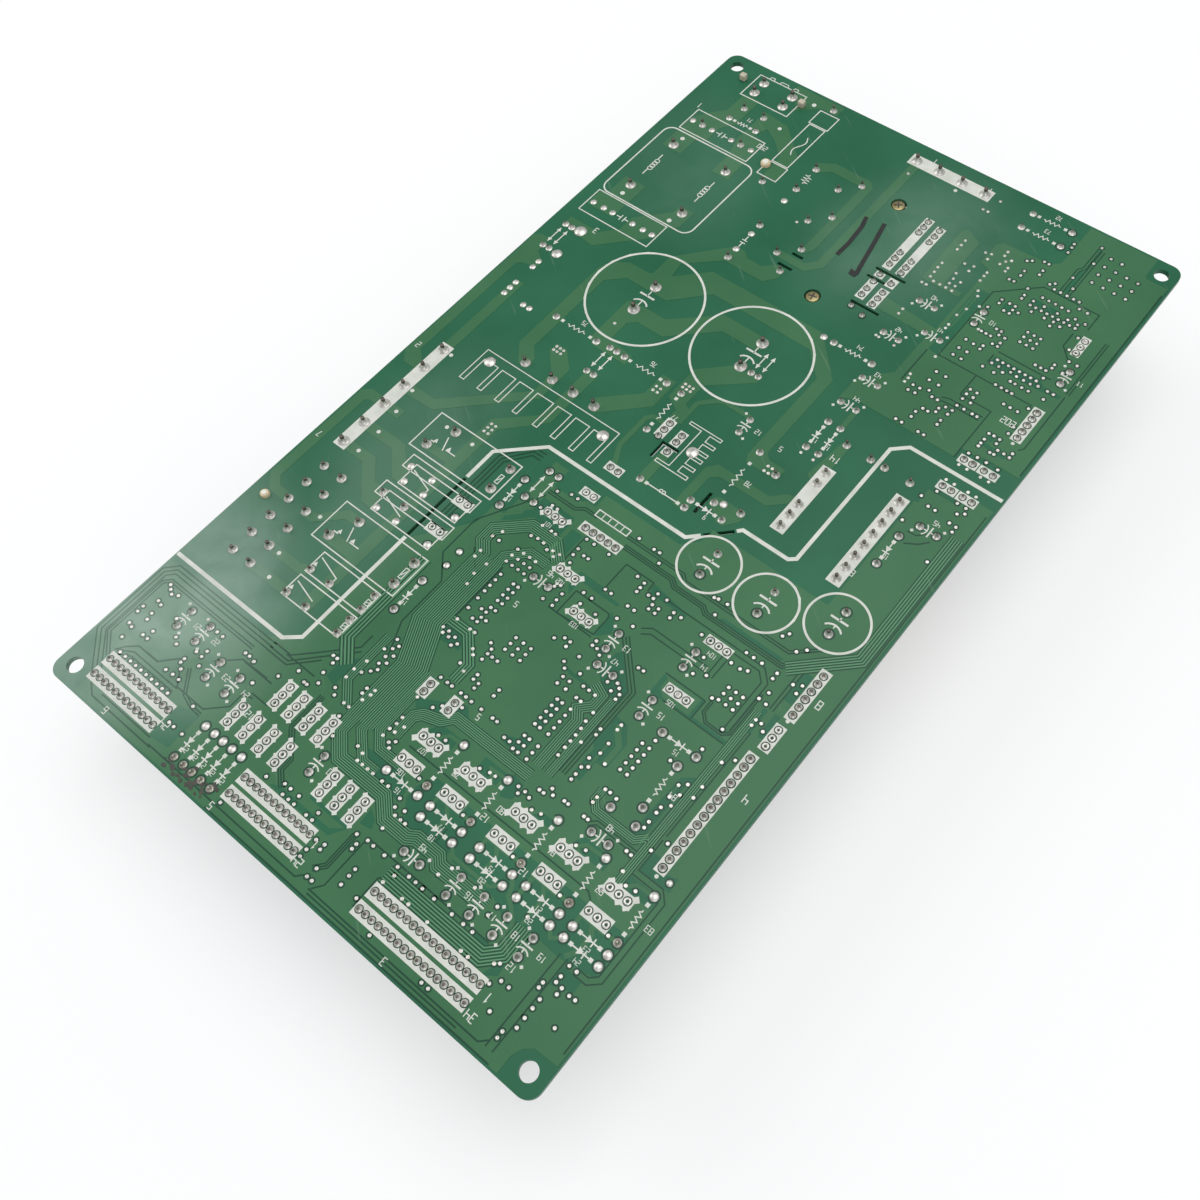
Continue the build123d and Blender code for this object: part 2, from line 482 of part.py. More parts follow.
MODULE_WIDTH = 21.0
MODULE_LENGTH = 52.5
MODULE_BOTTOM = MODULE_TOP - MODULE_THICKNESS
SCREW_RADIUS = 1.5
SCREW_HEAD_RADIUS = 2.9
SCREW_HEAD = 2.0
LEAD = 0.7
MODULE_SCREWS = [(MODULE_X, MODULE_Y - MODULE_SCREW_SPACING / 2),
                 (MODULE_X, MODULE_Y + MODULE_SCREW_SPACING / 2)]
SINK_X = (-23.0, 23.0)
SINK_Y = (60.5, 124.0)
SINK_BASE = 5.0
SINK_FINS = 8
SINK_FIN = 1.8
MODULE_LEADS = POWER_LEADS + SIGNAL_LEADS_INNER + SIGNAL_LEADS_OUTER

with BuildPart() as power_module:
    with BuildSketch(Plane.XY.offset(MODULE_BOTTOM)):
        with Locations((MODULE_X, MODULE_Y)):
            Rectangle(MODULE_WIDTH, MODULE_LENGTH)
        for x, y in MODULE_SCREWS:
            outward = 1 if y > MODULE_Y else -1
            with Locations((x, y + outward * 2.0)):
                Rectangle(3.6, 7.6, mode=Mode.SUBTRACT)
    extrude(amount=MODULE_THICKNESS)
save(power_module, "power_module")

with BuildPart() as module_leads:
    shoulder = MODULE_TOP - 2.4
    leads = []
    for x, y in MODULE_LEADS:
        side = -1 if x < MODULE_X else 1
        edge = MODULE_X + side * MODULE_WIDTH / 2
        near = x - side * LEAD / 2
        far = x + side * LEAD / 2
        with BuildSketch(Plane.XZ.offset(-(y - LEAD / 2))) as bend:
            with BuildLine():
                Polyline((edge, shoulder), (near, shoulder), (near, UNDERSIDE),
                         (far, UNDERSIDE), (far, shoulder - LEAD), (edge, shoulder - LEAD),
                         close=True)
            make_face()
        leads.append(extrude(bend.sketch, amount=-LEAD, mode=Mode.PRIVATE))
    add(leads)
save(module_leads, "module_leads")

with BuildPart() as module_heatsink:
    width = SINK_X[1] - SINK_X[0]
    pitch = (width - SINK_FIN) / (SINK_FINS - 1)
    with BuildSketch(Plane.XZ.offset(-SINK_Y[0])):
        with Locations((sum(SINK_X) / 2, MODULE_BOTTOM - SINK_BASE / 2)):
            Rectangle(width, SINK_BASE)
        with Locations((sum(SINK_X) / 2, (MODULE_BOTTOM - SINK_BASE + REST) / 2)):
            with GridLocations(pitch, 1, SINK_FINS, 1):
                Rectangle(SINK_FIN, MODULE_BOTTOM - SINK_BASE - REST)
    extrude(amount=-(SINK_Y[1] - SINK_Y[0]))
save(module_heatsink, "module_heatsink")

with BuildPart() as module_screws:
    for x, y in MODULE_SCREWS:
        add([rod(x, y, SCREW_HEAD_RADIUS, MODULE_TOP + SCREW_HEAD, MODULE_TOP),
             rod(x, y, SCREW_RADIUS, MODULE_TOP, MODULE_BOTTOM)])
save(module_screws, "module_screws")

# -------------------------------------------------- open wafer plugs for heavy harnesses


def wafer_section(depth, base, wall, height):
    """Closed section of a plug with a base and one tall latch wall."""
    return [(0, 0), (depth, 0), (depth, -base), (wall, -base), (wall, -height), (0, -height)]


with BuildPart() as compressor_connector:
    with BuildSketch(Plane.YZ.offset(-8.6)):
        with BuildLine():
            Polyline(*[(137.6 - across, UNDERSIDE + down)
                       for across, down in wafer_section(9.2, 3.4, 1.6, 10.5)], close=True)
        make_face()
    extrude(amount=31.2)
save(compressor_connector, "compressor_connector")

with BuildPart() as compressor_pins:
    add(pins(COMPRESSOR_PINS, 1.1, UNDERSIDE - 3.4, UNDERSIDE - 10.0))
save(compressor_pins, "compressor_pins")

with BuildPart() as load_connector:
    with BuildSketch(Plane.XZ.offset(51.2)):
        with BuildLine():
            Polyline(*[(-76.4 + across, UNDERSIDE + down)
                       for across, down in wafer_section(8.6, 3.4, 1.6, 10.5)], close=True)
        make_face()
    extrude(amount=-47.2)
save(load_connector, "load_connector")

with BuildPart() as load_pins:
    add(pins(LOAD_PINS, 1.1, UNDERSIDE - 3.4, UNDERSIDE - 10.0))
save(load_pins, "load_pins")

with BuildPart() as twelve_way_connector:
    add(block(-74.2, -59.0, -92.3, -52.4, UNDERSIDE, UNDERSIDE - 14.0))
    add([block(x - 2.5, x + 2.5, y - 2.5, y + 2.5, UNDERSIDE - 3.0, UNDERSIDE - 14.0)
         for x, y in TWELVE_WAY_PINS], mode=Mode.SUBTRACT)
save(twelve_way_connector, "twelve_way_connector")

with BuildPart() as twelve_way_pins:
    add(pins(TWELVE_WAY_PINS, 1.2, UNDERSIDE - 3.0, UNDERSIDE - 11.0))
save(twelve_way_pins, "twelve_way_pins")

# ------------------------------------------------------------------------ power supply


CAN_NECK = 4.0
CAN_GROOVE = 1.4

for number, (x, y) in enumerate(BULK_PLACES, start=1):
    with BuildPart() as bulk_can:
        add([rod(x, y, 17.4, UNDERSIDE, UNDERSIDE - CAN_NECK, CAN_SIDES),
             rod(x, y, 16.4, UNDERSIDE - CAN_NECK, UNDERSIDE - CAN_NECK - CAN_GROOVE,
                 CAN_SIDES),
             rod(x, y, 17.4, UNDERSIDE - CAN_NECK - CAN_GROOVE, REST, CAN_SIDES)])
    save(bulk_can, f"bulk_capacitor_{number}")

with BuildPart() as output_capacitors:
    add([rod(x, y, 8.2, UNDERSIDE, UNDERSIDE - 25.0, 20) for x, y in OUTPUT_PLACES])
save(output_capacitors, "output_capacitors")

with BuildPart() as small_electrolytics:
    add([rod(x, y, SMALL_CAP_RADIUS, UNDERSIDE, UNDERSIDE - 11.5)
         for x, y in SMALL_CAPS_UPRIGHT + SMALL_CAPS_LEVEL])
save(small_electrolytics, "small_electrolytics")

with BuildPart() as bridge_rectifier:
    add(block(-52.0, -22.0, HEATSINK_BACK, 4.3, UNDERSIDE - 5.0, UNDERSIDE - 25.0))
    chamfer(bridge_rectifier.edges().filter_by(Axis.Z).sort_by(Axis.X)[0], 2.5)
    add(pins(BRIDGE_LEADS, 1.2, UNDERSIDE, UNDERSIDE - 5.0))
save(bridge_rectifier, "bridge_rectifier")

with BuildPart() as rectifier_heatsink:
    add(prism(comb_outline(), UNDERSIDE, UNDERSIDE - 35.0))
save(rectifier_heatsink, "rectifier_heatsink")

with BuildPart() as rectifier_screw:
    add(upright_disc(-37.0, 4.3, UNDERSIDE - 14.0, 3.0, 2.2))
save(rectifier_screw, "rectifier_screw")

REGULATOR_SINK = [(0.5, 14.5), (11.1, 14.5), (11.1, 13.6), (7.6, 13.6), (7.6, 11.4),
                  (11.1, 11.4), (11.1, 10.4), (7.6, 10.4), (7.6, 8.3), (11.1, 8.3),
                  (11.1, 7.3), (7.6, 7.3), (7.6, 6.0), (11.1, 6.0), (11.1, 5.0), (7.6, 5.0),
                  (7.6, 2.8), (11.1, 2.8), (11.1, 1.8), (7.6, 1.8), (7.6, -0.3),
                  (11.1, -0.3), (11.1, -1.3), (0.5, -1.3), (0.5, -0.3), (4.6, -0.3),
                  (4.6, 13.6), (0.5, 13.6)]

with BuildPart() as regulator_heatsink:
    add(prism(REGULATOR_SINK, UNDERSIDE, UNDERSIDE - 26.0))
save(regulator_heatsink, "regulator_heatsink")

with BuildPart() as switching_regulator:
    add(block(1.6, 4.6, 1.6, 11.9, UNDERSIDE - 4.0, UNDERSIDE - 19.0))
    add(pins([(1.95, 9.2), (1.95, 6.7), (1.95, 2.8)], 0.6, UNDERSIDE, UNDERSIDE - 4.0))
save(switching_regulator, "switching_regulator")

with BuildPart() as regulator_clip:
    add(block(0.9, 1.6, 3.0, 10.5, UNDERSIDE - 10.0, UNDERSIDE - 15.0))
save(regulator_clip, "regulator_clip")

CORE_Y = (-6.75, 31.25)
CORE_HALF_WIDTH = 7.8
CORE_TOP = UNDERSIDE - 6.0
CORE_YOKE = 5.0
CORE_LEG = 4.6
CORE_POST = 9.0
BOBBIN_WALL = 1.1
FLANGE_TOP = CORE_TOP - CORE_YOKE - 0.2
FLANGE_BOTTOM = REST + CORE_YOKE + 0.2

with BuildPart() as transformer_core:
    middle = (TRANSFORMER_Y, (CORE_TOP + REST) / 2)
    window = (CORE_Y[1] - CORE_Y[0] - 2 * CORE_LEG - CORE_POST) / 2
    with BuildSketch(Plane.YZ.offset(TRANSFORMER_X - CORE_HALF_WIDTH)):
        with Locations(middle):
            Rectangle(CORE_Y[1] - CORE_Y[0], CORE_TOP - REST)
            with GridLocations(window + CORE_POST, 1, 2, 1):
                Rectangle(window, CORE_TOP - REST - 2 * CORE_YOKE, mode=Mode.SUBTRACT)
    extrude(amount=2 * CORE_HALF_WIDTH)
save(transformer_core, "transformer_core")

with BuildPart() as transformer_bobbin:
    tube_x = CORE_HALF_WIDTH + BOBBIN_WALL
    tube_y = CORE_POST / 2 + BOBBIN_WALL
    x0 = TRANSFORMER_X - tube_x
    x1 = TRANSFORMER_X + tube_x
    y0 = TRANSFORMER_Y - tube_y
    y1 = TRANSFORMER_Y + tube_y
    add([block(x0, x1, y0, y1, FLANGE_TOP, FLANGE_BOTTOM),
         block(37.2, 61.8, -1.6, 26.1, FLANGE_TOP, FLANGE_TOP - FLANGE),
         block(37.2, 61.8, -1.6, 26.1, FLANGE_BOTTOM + FLANGE, FLANGE_BOTTOM),
         block(37.2, 41.4, -1.6, 26.1, UNDERSIDE, FLANGE_TOP),
         block(57.6, 61.8, -3.4, 28.5, UNDERSIDE, FLANGE_TOP)])
    add(transformer_core.part, mode=Mode.SUBTRACT)
save(transformer_bobbin, "transformer_bobbin")

with BuildPart() as transformer_winding:
    with BuildSketch(Plane.XY.offset(FLANGE_BOTTOM + FLANGE)):
        with Locations((TRANSFORMER_X, TRANSFORMER_Y)):
            coil = Rectangle(23.6, 2 * (CORE_POST / 2 + window) - 2.0)
            chamfer(coil.vertices(), 4.5)
            Rectangle(2 * tube_x, 2 * tube_y, mode=Mode.SUBTRACT)
    extrude(amount=FLANGE_TOP - FLANGE_BOTTOM - 2 * FLANGE)
save(transformer_winding, "transformer_winding")

with BuildPart() as safety_capacitors:
    for x in (42.45, 54.65):
        add(upright_disc(x, 31.9, UNDERSIDE - 8.0, 5.0, 2.8, 12))
        add(pins([(x - 3.9, 33.1), (x + 3.9, 33.1)], 0.7, UNDERSIDE, UNDERSIDE - 6.0))
save(safety_capacitors, "safety_capacitors")

with BuildPart() as photocouplers:
    add([block(65.2, 69.0, 37.6, 47.6, UNDERSIDE, UNDERSIDE - 3.6),
         block(71.3, 75.1, 37.6, 47.6, UNDERSIDE, UNDERSIDE - 3.6),
         block(-8.6, -4.1, -19.8, -10.2, UNDERSIDE, UNDERSIDE - 3.6)])
save(photocouplers, "photocouplers")

# ------------------------------------------------------------------------------- relays

with BuildPart() as power_relays:
    add([block(-56.8, -26.4, -37.2, -24.0, UNDERSIDE, UNDERSIDE - 20.0),
         block(-56.9, -26.4, -73.3, -60.1, UNDERSIDE, UNDERSIDE - 20.0)])
    chamfer(power_relays.edges().group_by(Axis.Z)[0], 0.8)
save(power_relays, "power_relays")

with BuildPart() as small_relays:
    add([block(-50.2, -29.1, -81.7, -74.5, UNDERSIDE, UNDERSIDE - 15.0),
         block(-50.3, -29.1, -89.9, -82.8, UNDERSIDE, UNDERSIDE - 15.0)])
    chamfer(small_relays.edges().group_by(Axis.Z)[0], 0.6)
save(small_relays, "small_relays")

with BuildPart() as solid_state_switch:
    add(block(-53.0, -28.0, -53.6, -49.1, UNDERSIDE - 1.0, UNDERSIDE - 21.0))
    add(pins([(-51.0, -52.3), (-43.1, -52.4), (-32.7, -52.4), (-30.1, -52.4)], 0.8,
             UNDERSIDE, UNDERSIDE - 1.0))
save(solid_state_switch, "solid_state_switch")

# ---------------------------------------------------------------------- signal harnesses

HEADER_WALL = 1.1
HEADER_DEPTH = 9.0
HEADER_FLOOR = 2.6
HEADER_Y = (-137.0, -124.8)


def header_shell(first, last):
    """Open shroud round two rows of pins."""
    with BuildPart() as shell:
        add(block(first - 2.6, last + 2.6, *HEADER_Y, UNDERSIDE, UNDERSIDE - HEADER_DEPTH))
        add(block(first - 1.5, last + 1.5, HEADER_Y[0] + HEADER_WALL,
                  HEADER_Y[1] - HEADER_WALL, UNDERSIDE - HEADER_FLOOR,
                  UNDERSIDE - HEADER_DEPTH), mode=Mode.SUBTRACT)
        add(block((first + last) / 2 - 3.0, (first + last) / 2 + 3.0, HEADER_Y[0],
                  HEADER_Y[0] + HEADER_WALL, UNDERSIDE - 5.0, UNDERSIDE - HEADER_DEPTH),
            mode=Mode.SUBTRACT)
    return shell


signal_header_left = header_shell(*HEADER_LEFT[:2])
save(signal_header_left, "signal_header_left")
signal_header_middle = header_shell(*HEADER_MIDDLE[:2])
save(signal_header_middle, "signal_header_middle")
signal_header_right = header_shell(*HEADER_RIGHT[:2])
save(signal_header_right, "signal_header_right")

with BuildPart() as signal_header_pins:
    for first, last, count in (HEADER_LEFT, HEADER_MIDDLE, HEADER_RIGHT):
        pitch = (last - first) / (count - 1)
        places = row(first, UPPER_ROW, pitch, 0, count) + row(first, LOWER_ROW, pitch, 0, count)
        add([rod(x, y, 0.42, UNDERSIDE - HEADER_FLOOR, UNDERSIDE - 8.0, 3) for x, y in places])
save(signal_header_pins, "signal_header_pins")

SIDE_ROWS = [row(73.3, 61.9, 0, 2.52, 5), row(72.9, -37.9, 0, 2.5, 6),
             row(71.6, -85.0, 0, 2.485, 14)]
WAFER_HALF = 2.6

with BuildPart() as side_headers:
    for places in SIDE_ROWS:
        x = places[0][0]
        y0 = places[0][1] - 1.4
        y1 = places[-1][1] + 1.4
        with BuildSketch(Plane.XZ.offset(-y0)) as section:
            with BuildLine():
                Polyline(*[(x - WAFER_HALF + across, UNDERSIDE + down)
                           for across, down in wafer_section(5.2, 3.2, 1.0, 9.0)],
                         close=True)
            make_face()
        extrude(section.sketch, amount=-(y1 - y0))
    add(block(-2.1, 11.1, -31.0, -25.8, UNDERSIDE, UNDERSIDE - 3.2))
save(side_headers, "side_headers")

with BuildPart() as side_header_pins:
    add([rod(x, y, 0.45, UNDERSIDE - 3.2, UNDERSIDE - 9.0, 3)
         for places in SIDE_ROWS + [row(-0.5, -28.3, 2.53, 0, 5)] for x, y in places])
save(side_header_pins, "side_header_pins")

with BuildPart() as test_header:
    add([block(-3.2, 0.0, -88.4, -83.1, UNDERSIDE, UNDERSIDE - 2.5),
         block(5.0, 8.2, -88.4, -83.1, UNDERSIDE, UNDERSIDE - 2.5)])
    add(pins([(-1.6, -84.6), (-1.6, -87.0), (6.6, -84.6), (6.6, -87.0)], 0.64,
             UNDERSIDE - 2.5, UNDERSIDE - 8.5))
save(test_header, "test_header")

# ------------------------------------------------------------------------- small parts

with BuildPart() as microcontrollers:
    add([block(52.8, 64.8, 86.4, 98.4, UNDERSIDE, UNDERSIDE - 1.6),
         block(1.0, 17.0, -72.6, -56.6, UNDERSIDE, UNDERSIDE - 1.6),
         block(53.7, 63.7, -48.4, -38.4, UNDERSIDE, UNDERSIDE - 1.6)])
save(microcontrollers, "microcontrollers")

TRANSISTOR_SECTION = [(-2.3, -1.4), (2.3, -1.4), (2.3, 0.6), (1.2, 2.0), (-1.2, 2.0),
                      (-2.3, 0.6)]
TRANSISTOR_PLACES = [(9.0, -95.5), (8.7, -102.3), (-9.1, -30.6), (4.8, -41.4), (47.9, -34.3)]

with BuildPart() as transistors:
    for x, y in TRANSISTOR_PLACES:
        flat_back = [(x + across, y + along) for across, along in TRANSISTOR_SECTION]
        add([prism(flat_back, UNDERSIDE - 2.4, UNDERSIDE - 7.0),
             block(x - 1.6, x + 1.6, y - 0.3, y + 0.3, UNDERSIDE, UNDERSIDE - 2.4)])
save(transistors, "transistors")

with BuildPart() as resonators:
    add([block(70.3, 73.3, 94.7, 102.1, UNDERSIDE, UNDERSIDE - 5.5),
         block(12.1, 19.1, -50.0, -47.0, UNDERSIDE, UNDERSIDE - 5.5),
         block(44.5, 51.5, -51.8, -48.8, UNDERSIDE, UNDERSIDE - 5.5)])
save(resonators, "resonators")

DIODE_ENDS = [((19.5, -5.3), (22.7, -5.3)), ((65.3, 11.2), (65.3, 14.8)),
              ((30.15, 28.9), (30.15, 33.9)), ((34.15, 28.9), (34.15, 33.9)),
              ((-23.3, -34.2), (-23.3, -29.2)), ((-23.6, -72.9), (-23.6, -67.9)),
              ((53.7, -60.0), (58.7, -60.0)), ((8.1, -106.7), (13.1, -106.7)),
              ((38.2, -106.8), (43.2, -106.8)), ((52.5, -110.0), (57.5, -110.0))]
RESISTOR_ENDS = [((-62.0, 114.3), (-55.0, 114.3)), ((37.9, 134.3), (44.9, 134.3)),
                 ((37.9, 127.7), (44.9, 127.7)), ((18.5, 59.6), (25.5, 59.6)),
                 ((-49.8, 20.3), (-42.8, 20.3)), ((-24.4, 20.6), (-17.4, 20.6)),
                 ((-7.7, 9.2), (-7.7, 16.2)), ((21.4, 4.0), (21.4, 11.0)),
                 ((15.8, -101.0), (15.8, -94.0)), ((30.0, -101.0), (30.0, -94.0)),
                 ((60.1, -101.0), (60.1, -94.0)), ((59.2, -74.2), (59.2, -67.2))]
JUMPER_ENDS = [((-75.7, 49.1), (-75.7, 38.8)), ((-73.3, 49.1), (-73.3, 38.8)),
               ((-34.0, 20.8), (-34.0, 10.7)), ((-31.5, 20.8), (-31.5, 10.7)),
               ((-19.7, -20.8), (-19.7, -30.7)), ((-16.6, -20.8), (-16.6, -30.7))]
WIRE = 0.7

with BuildPart() as diodes:
    add([lying_body(start, end, 1.35, 1.35) for start, end in DIODE_ENDS])
save(diodes, "diodes")

with BuildPart() as axial_resistors:
    add([lying_body(start, end, 1.25, 1.25) for start, end in RESISTOR_ENDS])
save(axial_resistors, "axial_resistors")

with BuildPart() as wire_jumpers:
    for (x, y0), (_, y1) in JUMPER_ENDS:
        add(block(x - WIRE / 2, x + WIRE / 2, y1, y0, UNDERSIDE, UNDERSIDE - WIRE))
save(wire_jumpers, "wire_jumpers")

with BuildPart() as ferrite_bead:
    add(lying_body((4.6, -8.1), (12.6, -8.1), 2.2, 2.2))
save(ferrite_bead, "ferrite_bead")
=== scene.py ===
import json
import logging
import math
import random
from collections.abc import Iterable
from dataclasses import dataclass, field
from enum import Enum

import bmesh
import bpy
from mathutils import Matrix, Vector


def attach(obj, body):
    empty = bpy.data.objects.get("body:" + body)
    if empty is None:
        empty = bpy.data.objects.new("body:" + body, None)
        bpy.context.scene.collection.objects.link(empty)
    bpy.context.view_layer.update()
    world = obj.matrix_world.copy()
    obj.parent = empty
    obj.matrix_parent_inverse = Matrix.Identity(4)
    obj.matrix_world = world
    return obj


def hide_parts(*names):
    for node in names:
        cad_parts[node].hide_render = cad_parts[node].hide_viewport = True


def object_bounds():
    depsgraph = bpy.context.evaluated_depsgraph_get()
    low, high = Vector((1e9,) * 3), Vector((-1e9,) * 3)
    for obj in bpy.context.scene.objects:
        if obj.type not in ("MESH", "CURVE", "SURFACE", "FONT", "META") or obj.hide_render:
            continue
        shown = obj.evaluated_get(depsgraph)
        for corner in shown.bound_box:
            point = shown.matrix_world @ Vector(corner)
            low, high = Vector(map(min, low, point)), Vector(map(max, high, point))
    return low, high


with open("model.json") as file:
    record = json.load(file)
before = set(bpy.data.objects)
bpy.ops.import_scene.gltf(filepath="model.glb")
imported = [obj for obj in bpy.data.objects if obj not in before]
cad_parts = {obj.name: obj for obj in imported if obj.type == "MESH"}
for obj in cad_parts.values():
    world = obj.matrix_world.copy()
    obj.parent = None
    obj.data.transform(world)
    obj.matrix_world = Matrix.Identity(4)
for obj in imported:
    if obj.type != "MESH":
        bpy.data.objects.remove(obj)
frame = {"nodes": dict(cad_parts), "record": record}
CAD_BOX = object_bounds()

MM = 0.001
LOG = logging.getLogger("control_board")

Point = tuple[float, float]
Colour = tuple[float, float, float]


# ------------------------------------------------------------------ shared shader groups


class Out(Enum):
    """What a shared node group puts out: the socket's name and its type."""

    COLOUR = ("Colour", "NodeSocketColor")
    MASK = ("Mask", "NodeSocketFloat")
    NORMAL = ("Normal", "NodeSocketVector")

    @property
    def label(self) -> str:
        """Name of the socket."""
        return self.value[0]


class Graph:
    """Adds nodes to a tree and joins them."""

    def __init__(self, tree: bpy.types.NodeTree) -> None:
        """Work on a tree."""
        self.tree = tree

    def node(self, kind: str, values: dict | None = None, **settings: object) -> bpy.types.Node:
        """Add a node.

        Args:
            kind: the node's type.
            values: what its inputs hold, by name or number.
            settings: its own properties, set before its inputs.

        Returns:
            The node.
        """
        made = self.tree.nodes.new(kind)
        for label, value in settings.items():
            setattr(made, label, value)
        for socket, value in (values or {}).items():
            made.inputs[socket].default_value = value
        return made

    def join(self, *links: tuple) -> None:
        """Join sockets: each link is a node, its output, a node and its input."""
        for source, output, target, socket in links:
            self.tree.links.new(source.outputs[output], target.inputs[socket])


def new_group(name: str, inputs: dict[str, float | None],
              *outputs: Out) -> tuple[Graph, bpy.types.Node, bpy.types.Node]:
    """Start a shader node group with named sockets.

    Args:
        name: name of the group.
        inputs: default of each numeric input, or None for a colour.
        outputs: what the group puts out.

    Returns:
        The graph, its input node and its output node.
    """
    tree = bpy.data.node_groups.new(name, "ShaderNodeTree")
    for label, value in inputs.items():
        kind = "NodeSocketColor" if value is None else "NodeSocketFloat"
        socket = tree.interface.new_socket(name=label, in_out="INPUT", socket_type=kind)
        if value is not None:
            socket.default_value = value
    for out in outputs:
        tree.interface.new_socket(name=out.label, in_out="OUTPUT", socket_type=out.value[1])
    graph = Graph(tree)
    return graph, graph.node("NodeGroupInput"), graph.node("NodeGroupOutput")


def new_material(name: str, values: dict[str, float]) -> tuple[
        bpy.types.Material, Graph, bpy.types.Node]:
    """Start a material.

    Args:
        name: name of the material.
        values: constants of its Principled shader.

    Returns:
        The material, its graph and its Principled shader.
    """
    material = bpy.data.materials.new(name)
    material.use_nodes = True
    shader = material.node_tree.nodes["Principled BSDF"]
    for socket, value in values.items():
        shader.inputs[socket].default_value = value
    return material, Graph(material.node_tree), shader


class SharedEffects:
    """Node groups that several finishes use."""

    # centre, turn in degrees, reach and strength of each cloud, in metres: the first and
    # strongest, at the harness end's left corner, is painted sheen of the coating; the others are
    # flux and handling film
    clouds = (((-0.083, -0.112, 0.0), 12.0, (0.060, 0.056, 1.0), 1.0),
              ((0.012, 0.104, 0.0), -20.0, (0.034, 0.046, 1.0), 0.26),
              ((-0.060, 0.090, 0.0), 35.0, (0.030, 0.044, 1.0), 0.12),
              ((-0.052, -0.045, 0.0), 8.0, (0.028, 0.060, 1.0), 0.22))

    def __init__(self) -> None:
        """Build every group once."""
        self.mottle = self._mottle()
        self.haze = self._haze()
        self.scratches = self._scratches()

    @staticmethod
    def _mottle() -> bpy.types.NodeTree:
        """Two colours mixed by soft noise, with a fine bump.

        Returns:
            The finished group.
        """
        graph, start, end = new_group(
            "mottle", {"First": None, "Second": None, "Scale": 300.0, "Bump": 0.1},
            Out.COLOUR, Out.MASK, Out.NORMAL)
        place = graph.node("ShaderNodeTexCoord")
        noise = graph.node("ShaderNodeTexNoise", {"Detail": 5.0})
        spread = graph.node("ShaderNodeMapRange", {"From Min": 0.3, "From Max": 0.7})
        mix = graph.node("ShaderNodeMix", data_type="RGBA")
        bump = graph.node("ShaderNodeBump", {"Distance": 0.0002})
        graph.join(
            (place, "Object", noise, "Vector"), (start, "Scale", noise, "Scale"),
            (noise, "Fac", spread, "Value"), (spread, "Result", mix, "Factor"),
            (start, "First", mix, "A"), (start, "Second", mix, "B"),
            (noise, "Fac", bump, "Height"), (start, "Bump", bump, "Strength"),
            (mix, "Result", end, Out.COLOUR.label), (spread, "Result", end, Out.MASK.label),
            (bump, "Normal", end, Out.NORMAL.label))
        return graph.tree

    def _haze(self) -> bpy.types.NodeTree:
        """Dried flux and handling film, with painted sheen of the coating where it is strongest,
        at the harness end's left corner.

        Returns:
            The finished group.
        """
        graph, start, end = new_group("haze", {"Amount": 1.0}, Out.MASK)
        place = graph.node("ShaderNodeTexCoord")
        strongest = None
        for location, turn, reach, strength in self.clouds:
            centre = graph.node("ShaderNodeMapping", {
                "Location": location, "Rotation": (0.0, 0.0, math.radians(turn)),
                "Scale": reach}, vector_type="TEXTURE")
            ball = graph.node("ShaderNodeVectorMath", operation="LENGTH")
            fall = graph.node("ShaderNodeMapRange", {
                "From Min": 0.25, "From Max": 1.0, "To Min": strength, "To Max": 0.0},
                interpolation_type="SMOOTHSTEP")
            graph.join((place, "Object", centre, "Vector"), (centre, "Vector", ball, 0),
                       (ball, "Value", fall, "Value"))
            if strongest is None:
                strongest = (fall, "Result")
                continue
            larger = graph.node("ShaderNodeMath", operation="MAXIMUM")
            graph.join((*strongest, larger, 0), (fall, "Result", larger, 1))
            strongest = (larger, "Value")
        cloud = graph.node("ShaderNodeTexNoise",
                           {"Scale": 55.0, "Detail": 7.0, "Distortion": 0.6})
        break_up = graph.node("ShaderNodeMapRange",
                              {"From Min": 0.25, "From Max": 0.60, "To Min": 0.45})
        product = graph.node("ShaderNodeMath", operation="MULTIPLY")
        amount = graph.node("ShaderNodeMath", operation="MULTIPLY", use_clamp=True)
        graph.join((place, "Object", cloud, "Vector"), (cloud, "Fac", break_up, "Value"),
                   (*strongest, product, 0), (break_up, "Result", product, 1),
                   (product, "Value", amount, 0), (start, "Amount", amount, 1),
                   (amount, "Value", end, Out.MASK.label))
        return graph.tree

    @staticmethod
    def _scratches() -> bpy.types.NodeTree:
        """Thin stretched marks.

        Returns:
            The finished group.
        """
        graph, start, end = new_group("scratches", {"Scale": 60.0, "Turn": 0.6}, Out.MASK)
        place = graph.node("ShaderNodeTexCoord")
        turn = graph.node("ShaderNodeVectorRotate", rotation_type="Z_AXIS")
        stretch = graph.node("ShaderNodeMapping", {"Scale": (1.0, 14.0, 1.0)})
        noise = graph.node("ShaderNodeTexNoise", {"Detail": 3.0})
        edge = graph.node("ShaderNodeMapRange", {"From Min": 0.68, "From Max": 0.74})
        graph.join((place, "Object", turn, "Vector"), (start, "Turn", turn, "Angle"),
                   (turn, "Vector", stretch, "Vector"), (stretch, "Vector", noise, "Vector"),
                   (start, "Scale", noise, "Scale"), (noise, "Fac", edge, "Value"),
                   (edge, "Result", end, Out.MASK.label))
        return graph.tree


# --------------------------------------------------------------------------- finishes


